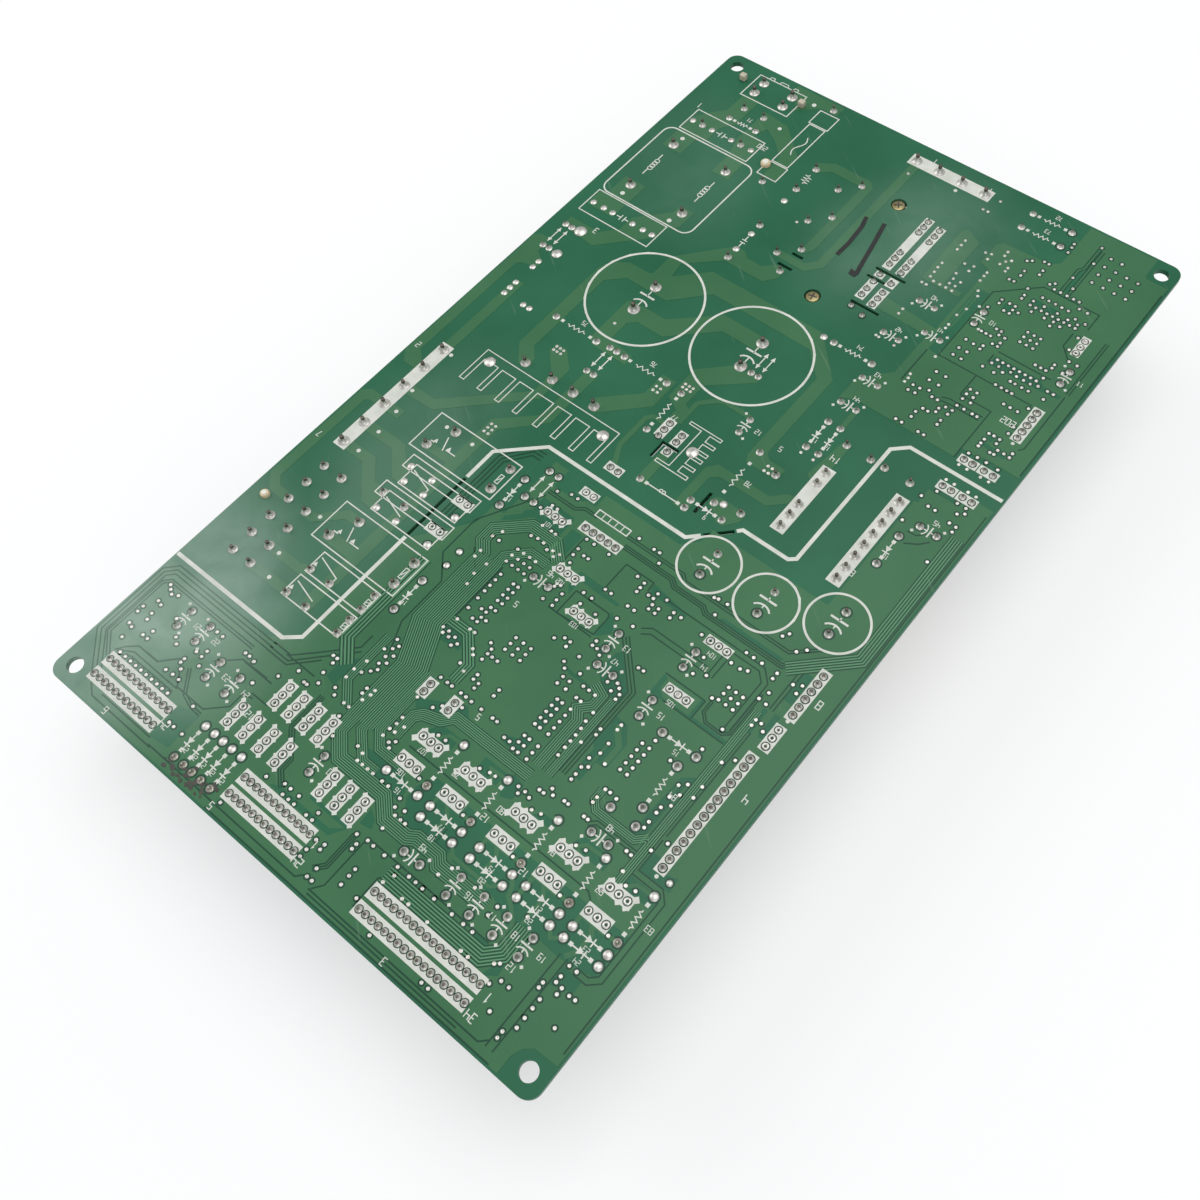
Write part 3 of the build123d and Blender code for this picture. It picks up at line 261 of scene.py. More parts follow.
@dataclass(frozen=True)
class Finish:
    """A mottled finish for one kind of surface."""

    name: str
    first: Colour
    second: Colour
    roughness: float = 0.5
    metallic: float = 0.0
    coat: float = 0.0
    scale: float = 400.0
    bump: float = 0.15
    specular: float = 0.5
    coat_roughness: float = 0.15
    spread: float = 0.08

    def build(self, effects: SharedEffects) -> bpy.types.Material:
        """Make the material.

        Args:
            effects: the shared node groups.

        Returns:
            The material.
        """
        material, graph, shader = new_material(self.name, {
            "Metallic": self.metallic, "Coat Weight": self.coat,
            "Coat Roughness": self.coat_roughness, "Specular IOR Level": self.specular})
        mottle = graph.node("ShaderNodeGroup", {
            "First": (*self.first, 1.0), "Second": (*self.second, 1.0),
            "Scale": self.scale, "Bump": self.bump}, node_tree=effects.mottle)
        rough = graph.node("ShaderNodeMapRange", {
            "To Min": max(0.0, self.roughness - self.spread),
            "To Max": min(1.0, self.roughness + self.spread)})
        graph.join((mottle, Out.MASK.label, rough, "Value"),
                   (rough, "Result", shader, "Roughness"),
                   (mottle, Out.COLOUR.label, shader, "Base Color"),
                   (mottle, Out.NORMAL.label, shader, "Normal"))
        return material


@dataclass(frozen=True)
class MaskFinish:
    """Green coating over laminate or copper, with flux film and painted sheen, scuffs and fine
    weave.
    """

    name: str
    first: Colour
    second: Colour
    # lighter tone laid by the film and sheen mask: flux and handling film, and painted sheen of
    # the coating at the harness end's left corner
    film: Colour = (0.30, 0.41, 0.34)
    scuff: Colour = (0.16, 0.25, 0.17)
    film_amount: float = 0.75
    scuff_amount: float = 0.28
    roughness: float = 0.34
    spread: float = 0.18
    bump: float = 0.10

    def build(self, effects: SharedEffects) -> bpy.types.Material:
        """Make the material.

        Args:
            effects: the shared node groups.

        Returns:
            The material.
        """
        material, graph, shader = new_material(self.name, {
            "Coat Weight": 0.12, "Coat Roughness": 0.25, "Specular IOR Level": 0.22})
        mottle = graph.node("ShaderNodeGroup", {
            "First": (*self.first, 1.0), "Second": (*self.second, 1.0),
            "Scale": 26.0, "Bump": self.bump}, node_tree=effects.mottle)
        haze = graph.node("ShaderNodeGroup", {"Amount": self.film_amount},
                          node_tree=effects.haze)
        marks = graph.node("ShaderNodeGroup", {"Scale": 42.0}, node_tree=effects.scratches)
        faint = graph.node("ShaderNodeMath", {1: self.scuff_amount}, operation="MULTIPLY")
        scuffed = graph.node("ShaderNodeMix", {"B": (*self.scuff, 1.0)}, data_type="RGBA")
        with_film_and_sheen = graph.node("ShaderNodeMix", {"B": (*self.film, 1.0)}, data_type="RGBA")
        rough = graph.node("ShaderNodeMapRange", {
            "To Min": self.roughness, "To Max": self.roughness + self.spread})
        graph.join((marks, Out.MASK.label, faint, 0), (faint, "Value", scuffed, "Factor"),
                   (mottle, Out.COLOUR.label, scuffed, "A"),
                   (haze, Out.MASK.label, with_film_and_sheen, "Factor"), (scuffed, "Result", with_film_and_sheen, "A"),
                   (with_film_and_sheen, "Result", shader, "Base Color"),
                   (mottle, Out.MASK.label, rough, "Value"),
                   (rough, "Result", shader, "Roughness"),
                   (mottle, Out.NORMAL.label, shader, "Normal"))
        return material


FINISHES = (
    MaskFinish("mask_on_laminate", (0.008, 0.098, 0.044), (0.018, 0.132, 0.062)),
    MaskFinish("mask_on_copper", (0.028, 0.126, 0.050), (0.046, 0.158, 0.068)),
    # lighter coated tracks of the bundles: partly the copper under the coating, partly painted
    # highlight along the tracks
    MaskFinish("mask_on_track_with_sheen", (0.072, 0.225, 0.105), (0.098, 0.262, 0.130)),
    MaskFinish("mask_edge_gap", (0.004, 0.044, 0.022), (0.008, 0.062, 0.031),
               film_amount=0.45),
    Finish("print_ink", (0.54, 0.56, 0.50), (0.68, 0.69, 0.63), 0.65, scale=260.0, bump=0.2),
    Finish("bright_solder", (0.50, 0.48, 0.44), (0.76, 0.74, 0.69), 0.36, 0.75, scale=700.0,
           bump=0.12),
    Finish("dull_solder", (0.30, 0.27, 0.22), (0.52, 0.49, 0.43), 0.42, 0.75, scale=900.0,
           bump=0.3),
    Finish("lead_end", (0.05, 0.045, 0.036), (0.17, 0.15, 0.12), 0.42, 0.5, scale=900.0),
    Finish("dried_flux", (0.018, 0.018, 0.014), (0.055, 0.050, 0.036), 0.35, scale=500.0),
    Finish("marker_ink", (0.006, 0.007, 0.007), (0.014, 0.016, 0.015), 0.5, scale=300.0),
    Finish("grey_nylon", (0.42, 0.38, 0.28), (0.54, 0.50, 0.38), 0.5),
    Finish("brass", (0.27, 0.23, 0.10), (0.38, 0.33, 0.17), 0.35, 0.8, scale=400.0),
    Finish("nylon", (0.70, 0.68, 0.58), (0.80, 0.78, 0.69), 0.5),
    Finish("beige_nylon", (0.55, 0.44, 0.27), (0.66, 0.55, 0.37), 0.5),
    Finish("white_plastic", (0.72, 0.70, 0.63), (0.79, 0.77, 0.70), 0.45, scale=250.0),
    Finish("blue_plastic", (0.035, 0.12, 0.38), (0.05, 0.15, 0.44), 0.42, scale=250.0),
    Finish("black_plastic", (0.010, 0.010, 0.011), (0.020, 0.020, 0.022), 0.45, scale=500.0),
    Finish("black_epoxy", (0.012, 0.012, 0.013), (0.024, 0.024, 0.026), 0.62, scale=1500.0,
           bump=0.35),
    Finish("bright_pin", (0.62, 0.60, 0.56), (0.76, 0.74, 0.70), 0.25, 1.0, scale=500.0),
    Finish("blue_coating", (0.03, 0.12, 0.36), (0.045, 0.15, 0.42), 0.35, coat=0.4),
    Finish("yellow_case", (0.62, 0.44, 0.06), (0.70, 0.50, 0.09), 0.42, scale=300.0),
    Finish("brown_case", (0.26, 0.055, 0.025), (0.33, 0.075, 0.035), 0.3, coat=0.4),
    Finish("ferrite", (0.030, 0.030, 0.033), (0.055, 0.055, 0.060), 0.66, scale=900.0,
           bump=0.5),
    Finish("copper_wire", (0.48, 0.15, 0.05), (0.58, 0.20, 0.07), 0.28, 0.9, scale=600.0),
    Finish("fuse_ceramic", (0.70, 0.68, 0.62), (0.78, 0.76, 0.70), 0.5),
    Finish("cement", (0.58, 0.57, 0.53), (0.68, 0.67, 0.63), 0.85, scale=700.0, bump=0.6),
    Finish("aluminium", (0.58, 0.58, 0.59), (0.68, 0.68, 0.69), 0.36, 0.95, scale=180.0,
           bump=0.15),
    Finish("zinc_steel", (0.62, 0.50, 0.22), (0.76, 0.66, 0.38), 0.3, 0.95, scale=400.0),
    Finish("black_sleeve", (0.014, 0.014, 0.017), (0.022, 0.022, 0.026), 0.3, coat=0.3,
           scale=200.0),
    Finish("sleeve_stripe", (0.42, 0.43, 0.44), (0.50, 0.51, 0.52), 0.35, coat=0.2),
    Finish("yellow_tape", (0.66, 0.46, 0.06), (0.74, 0.54, 0.10), 0.3, coat=0.3),
    Finish("resistor_coating", (0.40, 0.30, 0.18), (0.47, 0.36, 0.23), 0.4),
    Finish("band_ink", (0.10, 0.03, 0.01), (0.16, 0.05, 0.02), 0.4),
    Finish("chip_ceramic", (0.30, 0.24, 0.16), (0.40, 0.33, 0.24), 0.5),
)

SLOT_FINISH = {
    "board_mask": "mask_on_laminate", "coated_copper": "mask_on_copper",
    "white_print": "print_ink", "solder": "bright_solder", "nylon": "nylon",
    "beige_nylon": "beige_nylon", "white_plastic": "white_plastic",
    "blue_plastic": "blue_plastic", "black_plastic": "black_plastic",
    "black_epoxy": "black_epoxy", "tinned_brass": "bright_pin",
    "tinned_copper": "bright_pin", "blue_coating": "blue_coating",
    "yellow_case": "yellow_case", "brown_case": "brown_case", "ferrite": "ferrite",
    "copper_wire": "copper_wire", "fuse_ceramic": "fuse_ceramic", "cement": "cement",
    "aluminium": "aluminium", "zinc_steel": "zinc_steel", "black_sleeve": "black_sleeve",
    "yellow_tape": "yellow_tape", "resistor_coating": "resistor_coating",
}


class Palette:
    """The materials of this board, by finish name."""

    def __init__(self) -> None:
        """Build the shared groups and every finish."""
        effects = SharedEffects()
        self.materials = {finish.name: finish.build(effects) for finish in FINISHES}

    def __getitem__(self, name: str) -> bpy.types.Material:
        """Material of a finish."""
        return self.materials[name]

    def dress_nodes(self) -> None:
        """Give every carried-over solid the finish of its slot."""
        slots = {entry["node"]: entry["material_slot"] for entry in frame["record"]["subparts"]}
        for name, node in frame["nodes"].items():
            material = self[SLOT_FINISH[slots[name]]]
            for index in range(max(1, len(node.data.materials))):
                if index < len(node.data.materials):
                    node.data.materials[index] = material
                else:
                    node.data.materials.append(material)


# ------------------------------------------------------------------------ mesh makers


def rect(x0: float, x1: float, y0: float, y1: float) -> list[Point]:
    """Corners of a rectangle given by its limits."""
    return [(x0, y0), (x1, y0), (x1, y1), (x0, y1)]


def around(x: float, y: float, radius: float, angles: Iterable[float]) -> list[Point]:
    """Points about a centre, at angles in degrees."""
    return [(x + radius * math.cos(angle), y + radius * math.sin(angle))
            for angle in map(math.radians, angles)]


def steps_round(sides: int) -> list[float]:
    """Evenly spaced angles of a full turn, in degrees."""
    return [360.0 * step / sides for step in range(sides)]


class Relief:
    """Thin flat shapes that stand on the soldered face, gathered into one mesh."""

    levels = 7
    level_step = 0.0007

    def __init__(self, low: float, high: float) -> None:
        """Start an empty relief.

        Args:
            low: height of the underside, mm.
            high: height of the top, mm.
        """
        self.low = low
        self.high = high
        self.points: list[tuple[float, float, float]] = []
        self.faces: list[tuple[int, ...]] = []
        self.shapes = 0

    def top(self) -> float:
        """Height of the next shape: tiny steps keep crossing shapes off a shared plane."""
        self.shapes += 1
        return self.high + self.shapes % self.levels * self.level_step

    def polygon(self, outline: list[Point]) -> None:
        """Add a filled outline, counter-clockwise or not."""
        area = sum(a[0] * b[1] - b[0] * a[1]
                   for a, b in zip(outline, outline[1:] + outline[:1]))
        ring = outline if area > 0 else outline[::-1]
        count, base, top = len(ring), len(self.points), self.top()
        self.points += [(x, y, z) for z in (self.low, top) for x, y in ring]
        self.faces.append(tuple(range(base + count - 1, base - 1, -1)))
        self.faces.append(tuple(range(base + count, base + 2 * count)))
        for here in range(base, base + count):
            after = base + (here - base + 1) % count
            self.faces.append((here, after, after + count, here + count))

    def box(self, x0: float, x1: float, y0: float, y1: float) -> None:
        """Add a rectangle given by its limits."""
        self.polygon(rect(x0, x1, y0, y1))

    def square(self, x: float, y: float, side: float, turn: float = 0.0) -> None:
        """Add a square about a centre, turned by an angle in degrees."""
        self.polygon(around(x, y, side / math.sqrt(2), [turn + 45 + 90 * n for n in range(4)]))

    def disc(self, x: float, y: float, radius: float, sides: int = 16) -> None:
        """Add a round spot."""
        self.polygon(around(x, y, radius, steps_round(sides)))

    def line(self, path: list[Point], width: float, closed: bool = False) -> None:
        """Add a line of constant width with mitred corners.

        Args:
            path: its corner points.
            width: its width, mm.
            closed: whether the last point joins the first.
        """
        points = [Vector(p) for p in path]
        count = len(points)
        left, right = [], []
        for index, point in enumerate(points):
            before = points[index - 1] if index or closed else None
            after = points[(index + 1) % count] if index < count - 1 or closed else None
            first = (point - before if before is not None else after - point).normalized()
            second = (after - point).normalized() if after is not None else first
            normal_a = Vector((-first.y, first.x))
            normal_b = Vector((-second.y, second.x))
            miter = normal_a + normal_b
            if miter.length < 1e-6:
                miter = normal_a
            miter.normalize()
            reach = width / 2 / max(0.35, miter.dot(normal_a))
            left.append(point + miter * reach)
            right.append(point - miter * reach)
        spans = count if closed else count - 1
        for index in range(spans):
            after = (index + 1) % count
            self.polygon([tuple(right[index]), tuple(right[after]), tuple(left[after]),
                          tuple(left[index])])

    def ring(self, x: float, y: float, radius: float, width: float, sides: int = 24) -> None:
        """Add a round line."""
        self.line(around(x, y, radius, steps_round(sides)), width, closed=True)

    def arc(self, x: float, y: float, radius: float, start: float, sweep: float,
            width: float) -> None:
        """Add part of a round line, angles in degrees."""
        steps = max(3, round(abs(sweep) / 18))
        self.line(around(x, y, radius, [start + sweep * step / steps
                                        for step in range(steps + 1)]), width)

    def piece(self, name: str, material: bpy.types.Material, slot: str) -> bpy.types.Object:
        """Turn the gathered shapes into an object of the board."""
        mesh = bpy.data.meshes.new(name)
        mesh.from_pydata([(x * MM, y * MM, z * MM) for x, y, z in self.points], [], self.faces)
        mesh.materials.append(material)
        return settle(mesh, name, slot)


def settle(mesh: bpy.types.Mesh, name: str, slot: str, *nodes: str) -> bpy.types.Object:
    """Put a finished mesh in the scene as a piece of the board.

    Args:
        mesh: the mesh, in metres, in the board's frame.
        name: the piece's name.
        slot: the record's material slot.
        nodes: solids that the piece stands for.

    Returns:
        The object.
    """
    mesh.update()
    mesh.validate()
    thing = bpy.data.objects.new(name, mesh)
    bpy.context.scene.collection.objects.link(thing)
    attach(thing, "root")
    if nodes:
        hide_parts(*nodes)
    LOG.info("%s: %d faces", name, len(mesh.polygons))
    return thing


def bridge(shape: bmesh.types.BMesh, before: list, after: list) -> list[bmesh.types.BMFace]:
    """Join two closed rings of as many corners by a band of faces."""
    count = len(before)
    return [shape.faces.new((before[n], before[(n + 1) % count],
                             after[(n + 1) % count], after[n])) for n in range(count)]


def to_mesh(shape: bmesh.types.BMesh, name: str, smooth: bool = True) -> bpy.types.Mesh:
    """Turn a gathered shape into a mesh.

    Args:
        shape: the shape, freed here.
        name: name of the mesh.
        smooth: whether its faces are shaded smooth.

    Returns:
        The mesh.
    """
    mesh = bpy.data.meshes.new(name)
    shape.to_mesh(mesh)
    shape.free()
    for polygon in mesh.polygons:
        polygon.use_smooth = smooth
    return mesh


def lathe(profile: list[Point], sides: int, name: str) -> bpy.types.Mesh:
    """Turn a half section into a closed mesh, in millimetres.

    Args:
        profile: radius and height of each point, from the axis at the top to the axis below.
        sides: number of steps round the axis.
        name: name of the mesh.

    Returns:
        The mesh, outward faces.
    """
    shape = bmesh.new()
    rings = []
    for radius, height in profile:
        ring_points = around(0.0, 0.0, radius, steps_round(sides if radius > 1e-6 else 1))
        rings.append([shape.verts.new((x, y, height)) for x, y in ring_points])
    for above, below in zip(rings, rings[1:]):
        for step in range(sides):
            after = (step + 1) % sides
            corners = [above[step % len(above)], below[step % len(below)],
                       below[after % len(below)], above[after % len(above)]]
            unique = list(dict.fromkeys(corners))
            if len(unique) > 2:
                shape.faces.new(unique)
    bmesh.ops.recalc_face_normals(shape, faces=shape.faces)
    return to_mesh(shape, name)


@dataclass
class Place:
    """Where a repeated shape stands, how large and how it is turned."""

    x: float
    y: float
    size: float = 1.0
    turn: float = 0.0
    lean: float = 0.0
    height: float = 1.0


class Repeat:
    """Geometry Nodes tree that sets one shape on many places."""

    attributes = ("turn", "size")

    def __init__(self) -> None:
        """Build the tree."""
        tree = bpy.data.node_groups.new("repeat_shape", "GeometryNodeTree")
        face = tree.interface
        face.new_socket(name="Places", in_out="INPUT", socket_type="NodeSocketGeometry")
        self.shape_id = face.new_socket(name="Shape", in_out="INPUT",
                                        socket_type="NodeSocketObject").identifier
        self.finish_id = face.new_socket(name="Finish", in_out="INPUT",
                                         socket_type="NodeSocketMaterial").identifier
        face.new_socket(name="Copies", in_out="OUTPUT", socket_type="NodeSocketGeometry")
        graph = Graph(tree)
        start, end = graph.node("NodeGroupInput"), graph.node("NodeGroupOutput")
        shape = graph.node("GeometryNodeObjectInfo")
        turn, size = (graph.node("GeometryNodeInputNamedAttribute", {"Name": name},
                                 data_type="FLOAT_VECTOR") for name in self.attributes)
        copies = graph.node("GeometryNodeInstanceOnPoints")
        real = graph.node("GeometryNodeRealizeInstances")
        finish = graph.node("GeometryNodeSetMaterial")
        graph.join(
            (start, "Places", copies, "Points"), (start, "Shape", shape, "Object"),
            (shape, "Geometry", copies, "Instance"), (turn, "Attribute", copies, "Rotation"),
            (size, "Attribute", copies, "Scale"), (copies, "Instances", real, "Geometry"),
            (real, "Geometry", finish, "Geometry"), (start, "Finish", finish, "Material"),
            (finish, "Geometry", end, "Copies"))
        self.tree = tree

    def spread(self, name: str, shape: bpy.types.Mesh, places: list[Place], height: float,
               material: bpy.types.Material, slot: str, *nodes: str) -> bpy.types.Object:
        """Make one piece of all the copies of a shape.

        Args:
            name: the piece's name.
            shape: the shape to repeat, in millimetres.
            places: where the copies stand.
            height: level of the places, mm.
            material: finish of the copies.
            slot: the record's material slot.
            nodes: solids that the piece stands for.

        Returns:
            The object.
        """
        points = bpy.data.meshes.new(name + "_places")
        points.from_pydata([(p.x * MM, p.y * MM, height * MM) for p in places], [], [])
        turn, size = (points.attributes.new(name, "FLOAT_VECTOR", "POINT")
                      for name in self.attributes)
        for index, place in enumerate(places):
            turn.data[index].vector = (place.lean, 0.0, math.radians(place.turn))
            size.data[index].vector = (place.size, place.size, place.size * place.height)
        for vertex in shape.vertices:
            vertex.co *= MM
        source = bpy.data.objects.new(name + "_shape", shape)
        holder = bpy.data.objects.new(name + "_holder", points)
        for thing in (source, holder):
            bpy.context.scene.collection.objects.link(thing)
        modifier = holder.modifiers.new("repeat", "NODES")
        modifier.node_group = self.tree
        modifier[self.shape_id] = source
        modifier[self.finish_id] = material
        shown = holder.evaluated_get(bpy.context.evaluated_depsgraph_get())
        mesh = bpy.data.meshes.new_from_object(shown)
        mesh.name = name
        holder.modifiers.remove(modifier)
        bpy.data.objects.remove(holder)
        bpy.data.objects.remove(source)
        for attribute in self.attributes:
            if attribute in mesh.attributes:
                mesh.attributes.remove(mesh.attributes[attribute])
        return settle(mesh, name, slot, *nodes)


def row(x: float, y: float, step_x: float, step_y: float, count: int) -> list[Point]:
    """Evenly pitched places.

    Args:
        x: first place.
        y: first place.
        step_x: pitch along x.
        step_y: pitch along y.
        count: number of places.

    Returns:
        The places.
    """
    return [(x + step_x * step, y + step_y * step) for step in range(count)]


# ------------------------------------------------------------------------ soldered face


class JointKind(Enum):
    """How the solder of a joint lies."""

    FILLET = "fillet"
    DOME = "dome"
    RING = "ring"
    VIA = "via"
    HEADER = "header"


JOINT_PROFILE = {
    JointKind.FILLET: [(0.0, 1.45), (0.20, 1.42), (0.29, 1.30), (0.31, 1.05), (0.36, 0.78),
                       (0.47, 0.50), (0.63, 0.29), (0.82, 0.15), (0.95, 0.08), (1.0, 0.0),
                       (0.0, -0.02)],
    JointKind.DOME: [(0.0, 0.36), (0.25, 0.345), (0.48, 0.30), (0.70, 0.22), (0.88, 0.13),
                     (0.98, 0.06), (1.0, 0.0), (0.0, -0.02)],
    JointKind.RING: [(0.0, 0.04), (0.36, 0.05), (0.46, 0.22), (0.60, 0.32), (0.78, 0.25),
                     (0.93, 0.12), (1.0, 0.0), (0.0, -0.02)],
    JointKind.VIA: [(0.0, 0.10), (0.45, 0.16), (0.75, 0.20), (0.95, 0.12), (1.0, 0.0),
                    (0.0, -0.02)],
    JointKind.HEADER: [(0.0, 0.86), (0.36, 0.84), (0.42, 0.76), (0.46, 0.56), (0.56, 0.42),
                       (0.74, 0.30), (0.90, 0.16), (1.0, 0.0), (0.0, -0.02)],
}


def spots(places: list[Point], size: float, height: float = 1.0) -> list[Place]:
    """Places of one size.

    Args:
        places: centres, mm.
        size: radius, mm.
        height: stretch of the height.

    Returns:
        The places, each turned at random from a fixed seed.
    """
    chance = random.Random(len(places) * 31 + round(size * 100))
    return [Place(x, y, size * chance.uniform(0.96, 1.04), chance.uniform(0, 360),
                  height=height * chance.uniform(0.92, 1.08)) for x, y in places]


CAPS_UPRIGHT = [
    (43.2, 91), (73.3, 86.7), (12.9, 21.9), (26.2, -49), (44.4, -41.4), (44, -57.6),
    (37.2, -116.8), (44.3, -116.8), (51.4, -116.8), (59, -116.8), (-8.7, -115.8), (-64.4, -109.7),
    (-57.2, -109.8), (-47.5, -114.7), (-40.3, -114.7)]
CAPS_LEVEL = [
    (28.8, 86.5), (36.4, 77.6), (27.1, 70.9), (31.5, 54.2), (31.5, 44), (70.5, 23.6), (0.9, -47.3),
    (29.8, -56), (56, -88.5), (25.2, -118)]


@dataclass
class SolderWork:
    """All the soldered leads and pads of the board."""

    header_radius: float = 0.9
    lead_pitch: float = 2.53
    can_reach: float = 2.5
    harness_edge: float = -85.0
    edge_reach: float = 1.22

    mains: list[Point] = field(default_factory=lambda: [
        (-64.25, 133.4), (-53, 133.4), (-64.25, 128.2), (-53, 128.2)])
    compressor: list[Point] = field(default_factory=lambda: row(-5.1, 132.8, 8.07, 0, 4))
    load: list[Point] = field(default_factory=lambda: row(-71.8, -8.05, 0, -7.83, 6))
    twelve_way: list[Point] = field(default_factory=lambda: (
        row(-70, -56.1, 0, -6.5, 6) + row(-63.2, -56.1, 0, -6.5, 6)))
    choke: list[Point] = field(default_factory=lambda: [
        (-70.5, 94.5), (-50, 94.6), (-70.3, 73.2), (-49.9, 73.1)])
    bulk: list[Point] = field(default_factory=lambda: [
        (-37.7, 45.7), (-37.6, 35.6), (-0.3, 47.5), (-0.3, 37.4)])
    bridge: list[Point] = field(default_factory=lambda: [
        (-49.7, 2.5), (-39.6, 2.5), (-31.9, 2.5), (-24.2, 2.5)])
    heatsink_feet: list[Point] = field(default_factory=lambda: [
        (-58.1, -3.3), (-15.9, -3.5), (7, 6.7)])
    transformer: list[Point] = field(default_factory=lambda: (
        [(39.3, y) for y in (22.5, 18.5, 10.5, 6.5, 2.5)] + row(59.7, 26.5, 0, -4, 8)))
    module_power: list[Point] = field(default_factory=lambda: [
        (-12.6, 114), (-17.6, 108.6), (-12.5, 98.2), (-17.5, 92.9), (-12.3, 82.5), (-17.4, 77.3),
        (-12.4, 72)])
    module_signal: list[Point] = field(default_factory=lambda: (
        [(11.7, y) for y in (113.4, 110.8, 108.2, 98.4, 95.7, 93, 88, 84.7, 81.4, 78.7,
                             73.6)]
        + [(16.3, y) for y in (112.3, 109.5, 106.7, 97.3, 94.5, 91.9, 86.9, 82.7, 80.1,
                               77.4, 72.3)]))
    film_leads: list[Point] = field(default_factory=lambda: [
        (-62.4, 120.4), (-54.7, 120.4), (-68.6, 106.7), (-53.4, 106.7), (-28, 111.7), (-28, 101.4),
        (-28, 83), (-28, 67.4), (-38.7, 136), (-38.4, 98), (31.7, -13.9), (31.7, -21.3),
        (49.85, -14), (49.85, -21.4), (67.25, -7.9), (67.25, -15.4), (29.1, 14.2), (29, -0.8),
        (38.6, 33.1), (46.3, 33.1), (50.7, 33.1), (58.6, 33.1)])
    relay: list[Point] = field(default_factory=lambda: [
        (-48.9, -26.7), (-52.6, -34.3), (-28.6, -26.7), (-28.7, -34.3), (-49.3, -62.9),
        (-52.9, -70.4), (-28.8, -62.9), (-28.8, -70.3)])
    small_relay: list[Point] = field(default_factory=lambda: [
        (-49.2, -80.4), (-42.1, -80.4), (-30.2, -75.8), (-30.1, -80.6), (-49.2, -88.8),
        (-42.1, -88.7), (-30.4, -84.4), (-30.2, -88.9), (-51, -52.3), (-43.1, -52.4)])
    axial: list[Point] = field(default_factory=lambda: [
        (-63.7, 114.3), (-53.3, 114.3), (34.8, 134.3), (47.9, 134.3), (34.8, 127.7),
        (47.9, 127.7), (15.6, 59.6), (28.4, 59.6), (-53.9, 20.3), (-38.6, 20.2),
        (-28.6, 20.7), (-13.2, 20.6), (-7.7, 20.2), (-7.7, 5.3), (21.4, 17.5),
        (21.4, -2.3), (16, -5.3), (26.2, -5.3), (1.1, -8.1), (16.1, -8.1),
        (30.15, 36.5), (30.15, 26.3), (34.15, 36.5), (34.15, 26.3), (65.3, 18),
        (65.3, 8), (-23.3, -26.7), (-23.3, -36.7), (-23.6, -65.3), (-23.6, -75.5),
        (51.1, -60), (61.3, -60), (5.5, -106.7), (15.8, -106.7), (59.2, -64.4),
        (59.2, -77), (53.2, -81.4), (60.7, -81.4)]
        + [(x, y) for x in (19.9, 30) for y in (-106.7, -109.9)]
        + [(x, y) for x in (35.7, 45.8) for y in (-106.8, -110)]
        + [(x, y) for x in (50, 60) for y in (-106.8, -110)]
        + [(x, y) for x in (64.1, 74.2) for y in (-107, -110.1)]
        + [(x, -91.1) for x in (15.8, 30, 45.7, 60.1, 74.2)]
        + [(x, -125.7) for x in (-37.4, -34.1, -31, -27.8, -24.4)])
    jumpers: list[Point] = field(default_factory=lambda: [
        (-75.7, 49.1), (-75.7, 38.8), (-73.3, 49.1), (-73.3, 38.8), (-34, 20.8), (-34, 10.7),
        (-31.5, 20.8), (-31.5, 10.7), (-19.7, -20.8), (-19.7, -30.7), (-16.6, -20.8),
        (-16.6, -30.7), (3.4, 37.4), (5.8, 37.4)])
    fluxed: list[Point] = field(default_factory=lambda: [
        (x, -135.5) for x in (-37.4, -34.1, -31, -27.8, -24.4)]
        + [(x, -103.7) for x in (15.8, 30, 45.7, 60.1, 74.2)])
    flat_pads: list[tuple[float, float, float]] = field(default_factory=lambda: [
        (-70.1, 49.5, 2), (-69.9, 38.5, 1.7), (-72.4, 106.7, 1.05), (-64.8, 106.7, 1.05),
        (-57.1, 106.7, 1.05), (-49.4, 106.7, 1.05), (-74.8, 61, 1.05), (-70.7, 61, 1.05),
        (-67.2, 61, 1.05), (-59.4, 61, 1.05), (-55.3, 61, 1.05), (-51.8, 61, 1.05),
        (-28.1, 95.4, 1.1), (-28, 78.8, 1.1), (-28, 71.4, 1.1), (-72.3, 33, 1), (-72.3, 30.4, 1),
        (-72.3, 23, 1), (-72.3, 20.5, 1), (-72.3, 18, 1), (-64.7, 17.9, 1), (-62.3, 17.9, 1),
        (23.7, -1.2, 1.1), (12.2, 59.6, 1.1), (-50.9, -42, 1.1), (-43.1, -41.9, 1.1),
        (-49, -46.6, 1.1), (-41.8, -46.6, 1.1), (-30.1, -46.6, 1.1), (-49, -56.9, 1.1),
        (-41.8, -56.9, 1.1), (-30.1, -56.9, 1.1), (75, -86.7, 0.8), (-21.9, -53.4, 0.9),
        (-21.8, -58.3, 0.9)])
    optocoupler: list[Point] = field(default_factory=lambda: (
        [(x, y) for x in (65.8, 68.4, 71.9, 74.6) for y in (47.8, 37.5)]
        + [(x, -10) for x in (-7.6, -5)]
        + [(-3.8, 10.5), (-3.8, 8), (-3.8, 5.5), (1.4, 9.2), (1.4, 6.7), (1.4, 2.8)]))
    bar_pairs: list[Point] = field(default_factory=lambda: [
        (-32.9, -41.8), (-30, -41.8), (-32.9, -52.2), (-30, -52.2), (-7.55, -19.95),
        (-4.9, -19.95)])
    triples_level: list[Point] = field(default_factory=lambda: [
        (-9.1, -30.6), (4.8, -41.4), (15.6, -48.5), (47.9, -34.3), (48, -50.3), (8.7, -102.3),
        (9, -95.3)])
    triples_bare: list[Point] = field(default_factory=lambda: [
        (22.9, -95.4), (52.9, -95.5), (67.6, -95.5), (22.8, -102.3), (38.7, -102.3),
        (52.9, -102.3), (67.2, -102.3), (39.1, -95.6)])
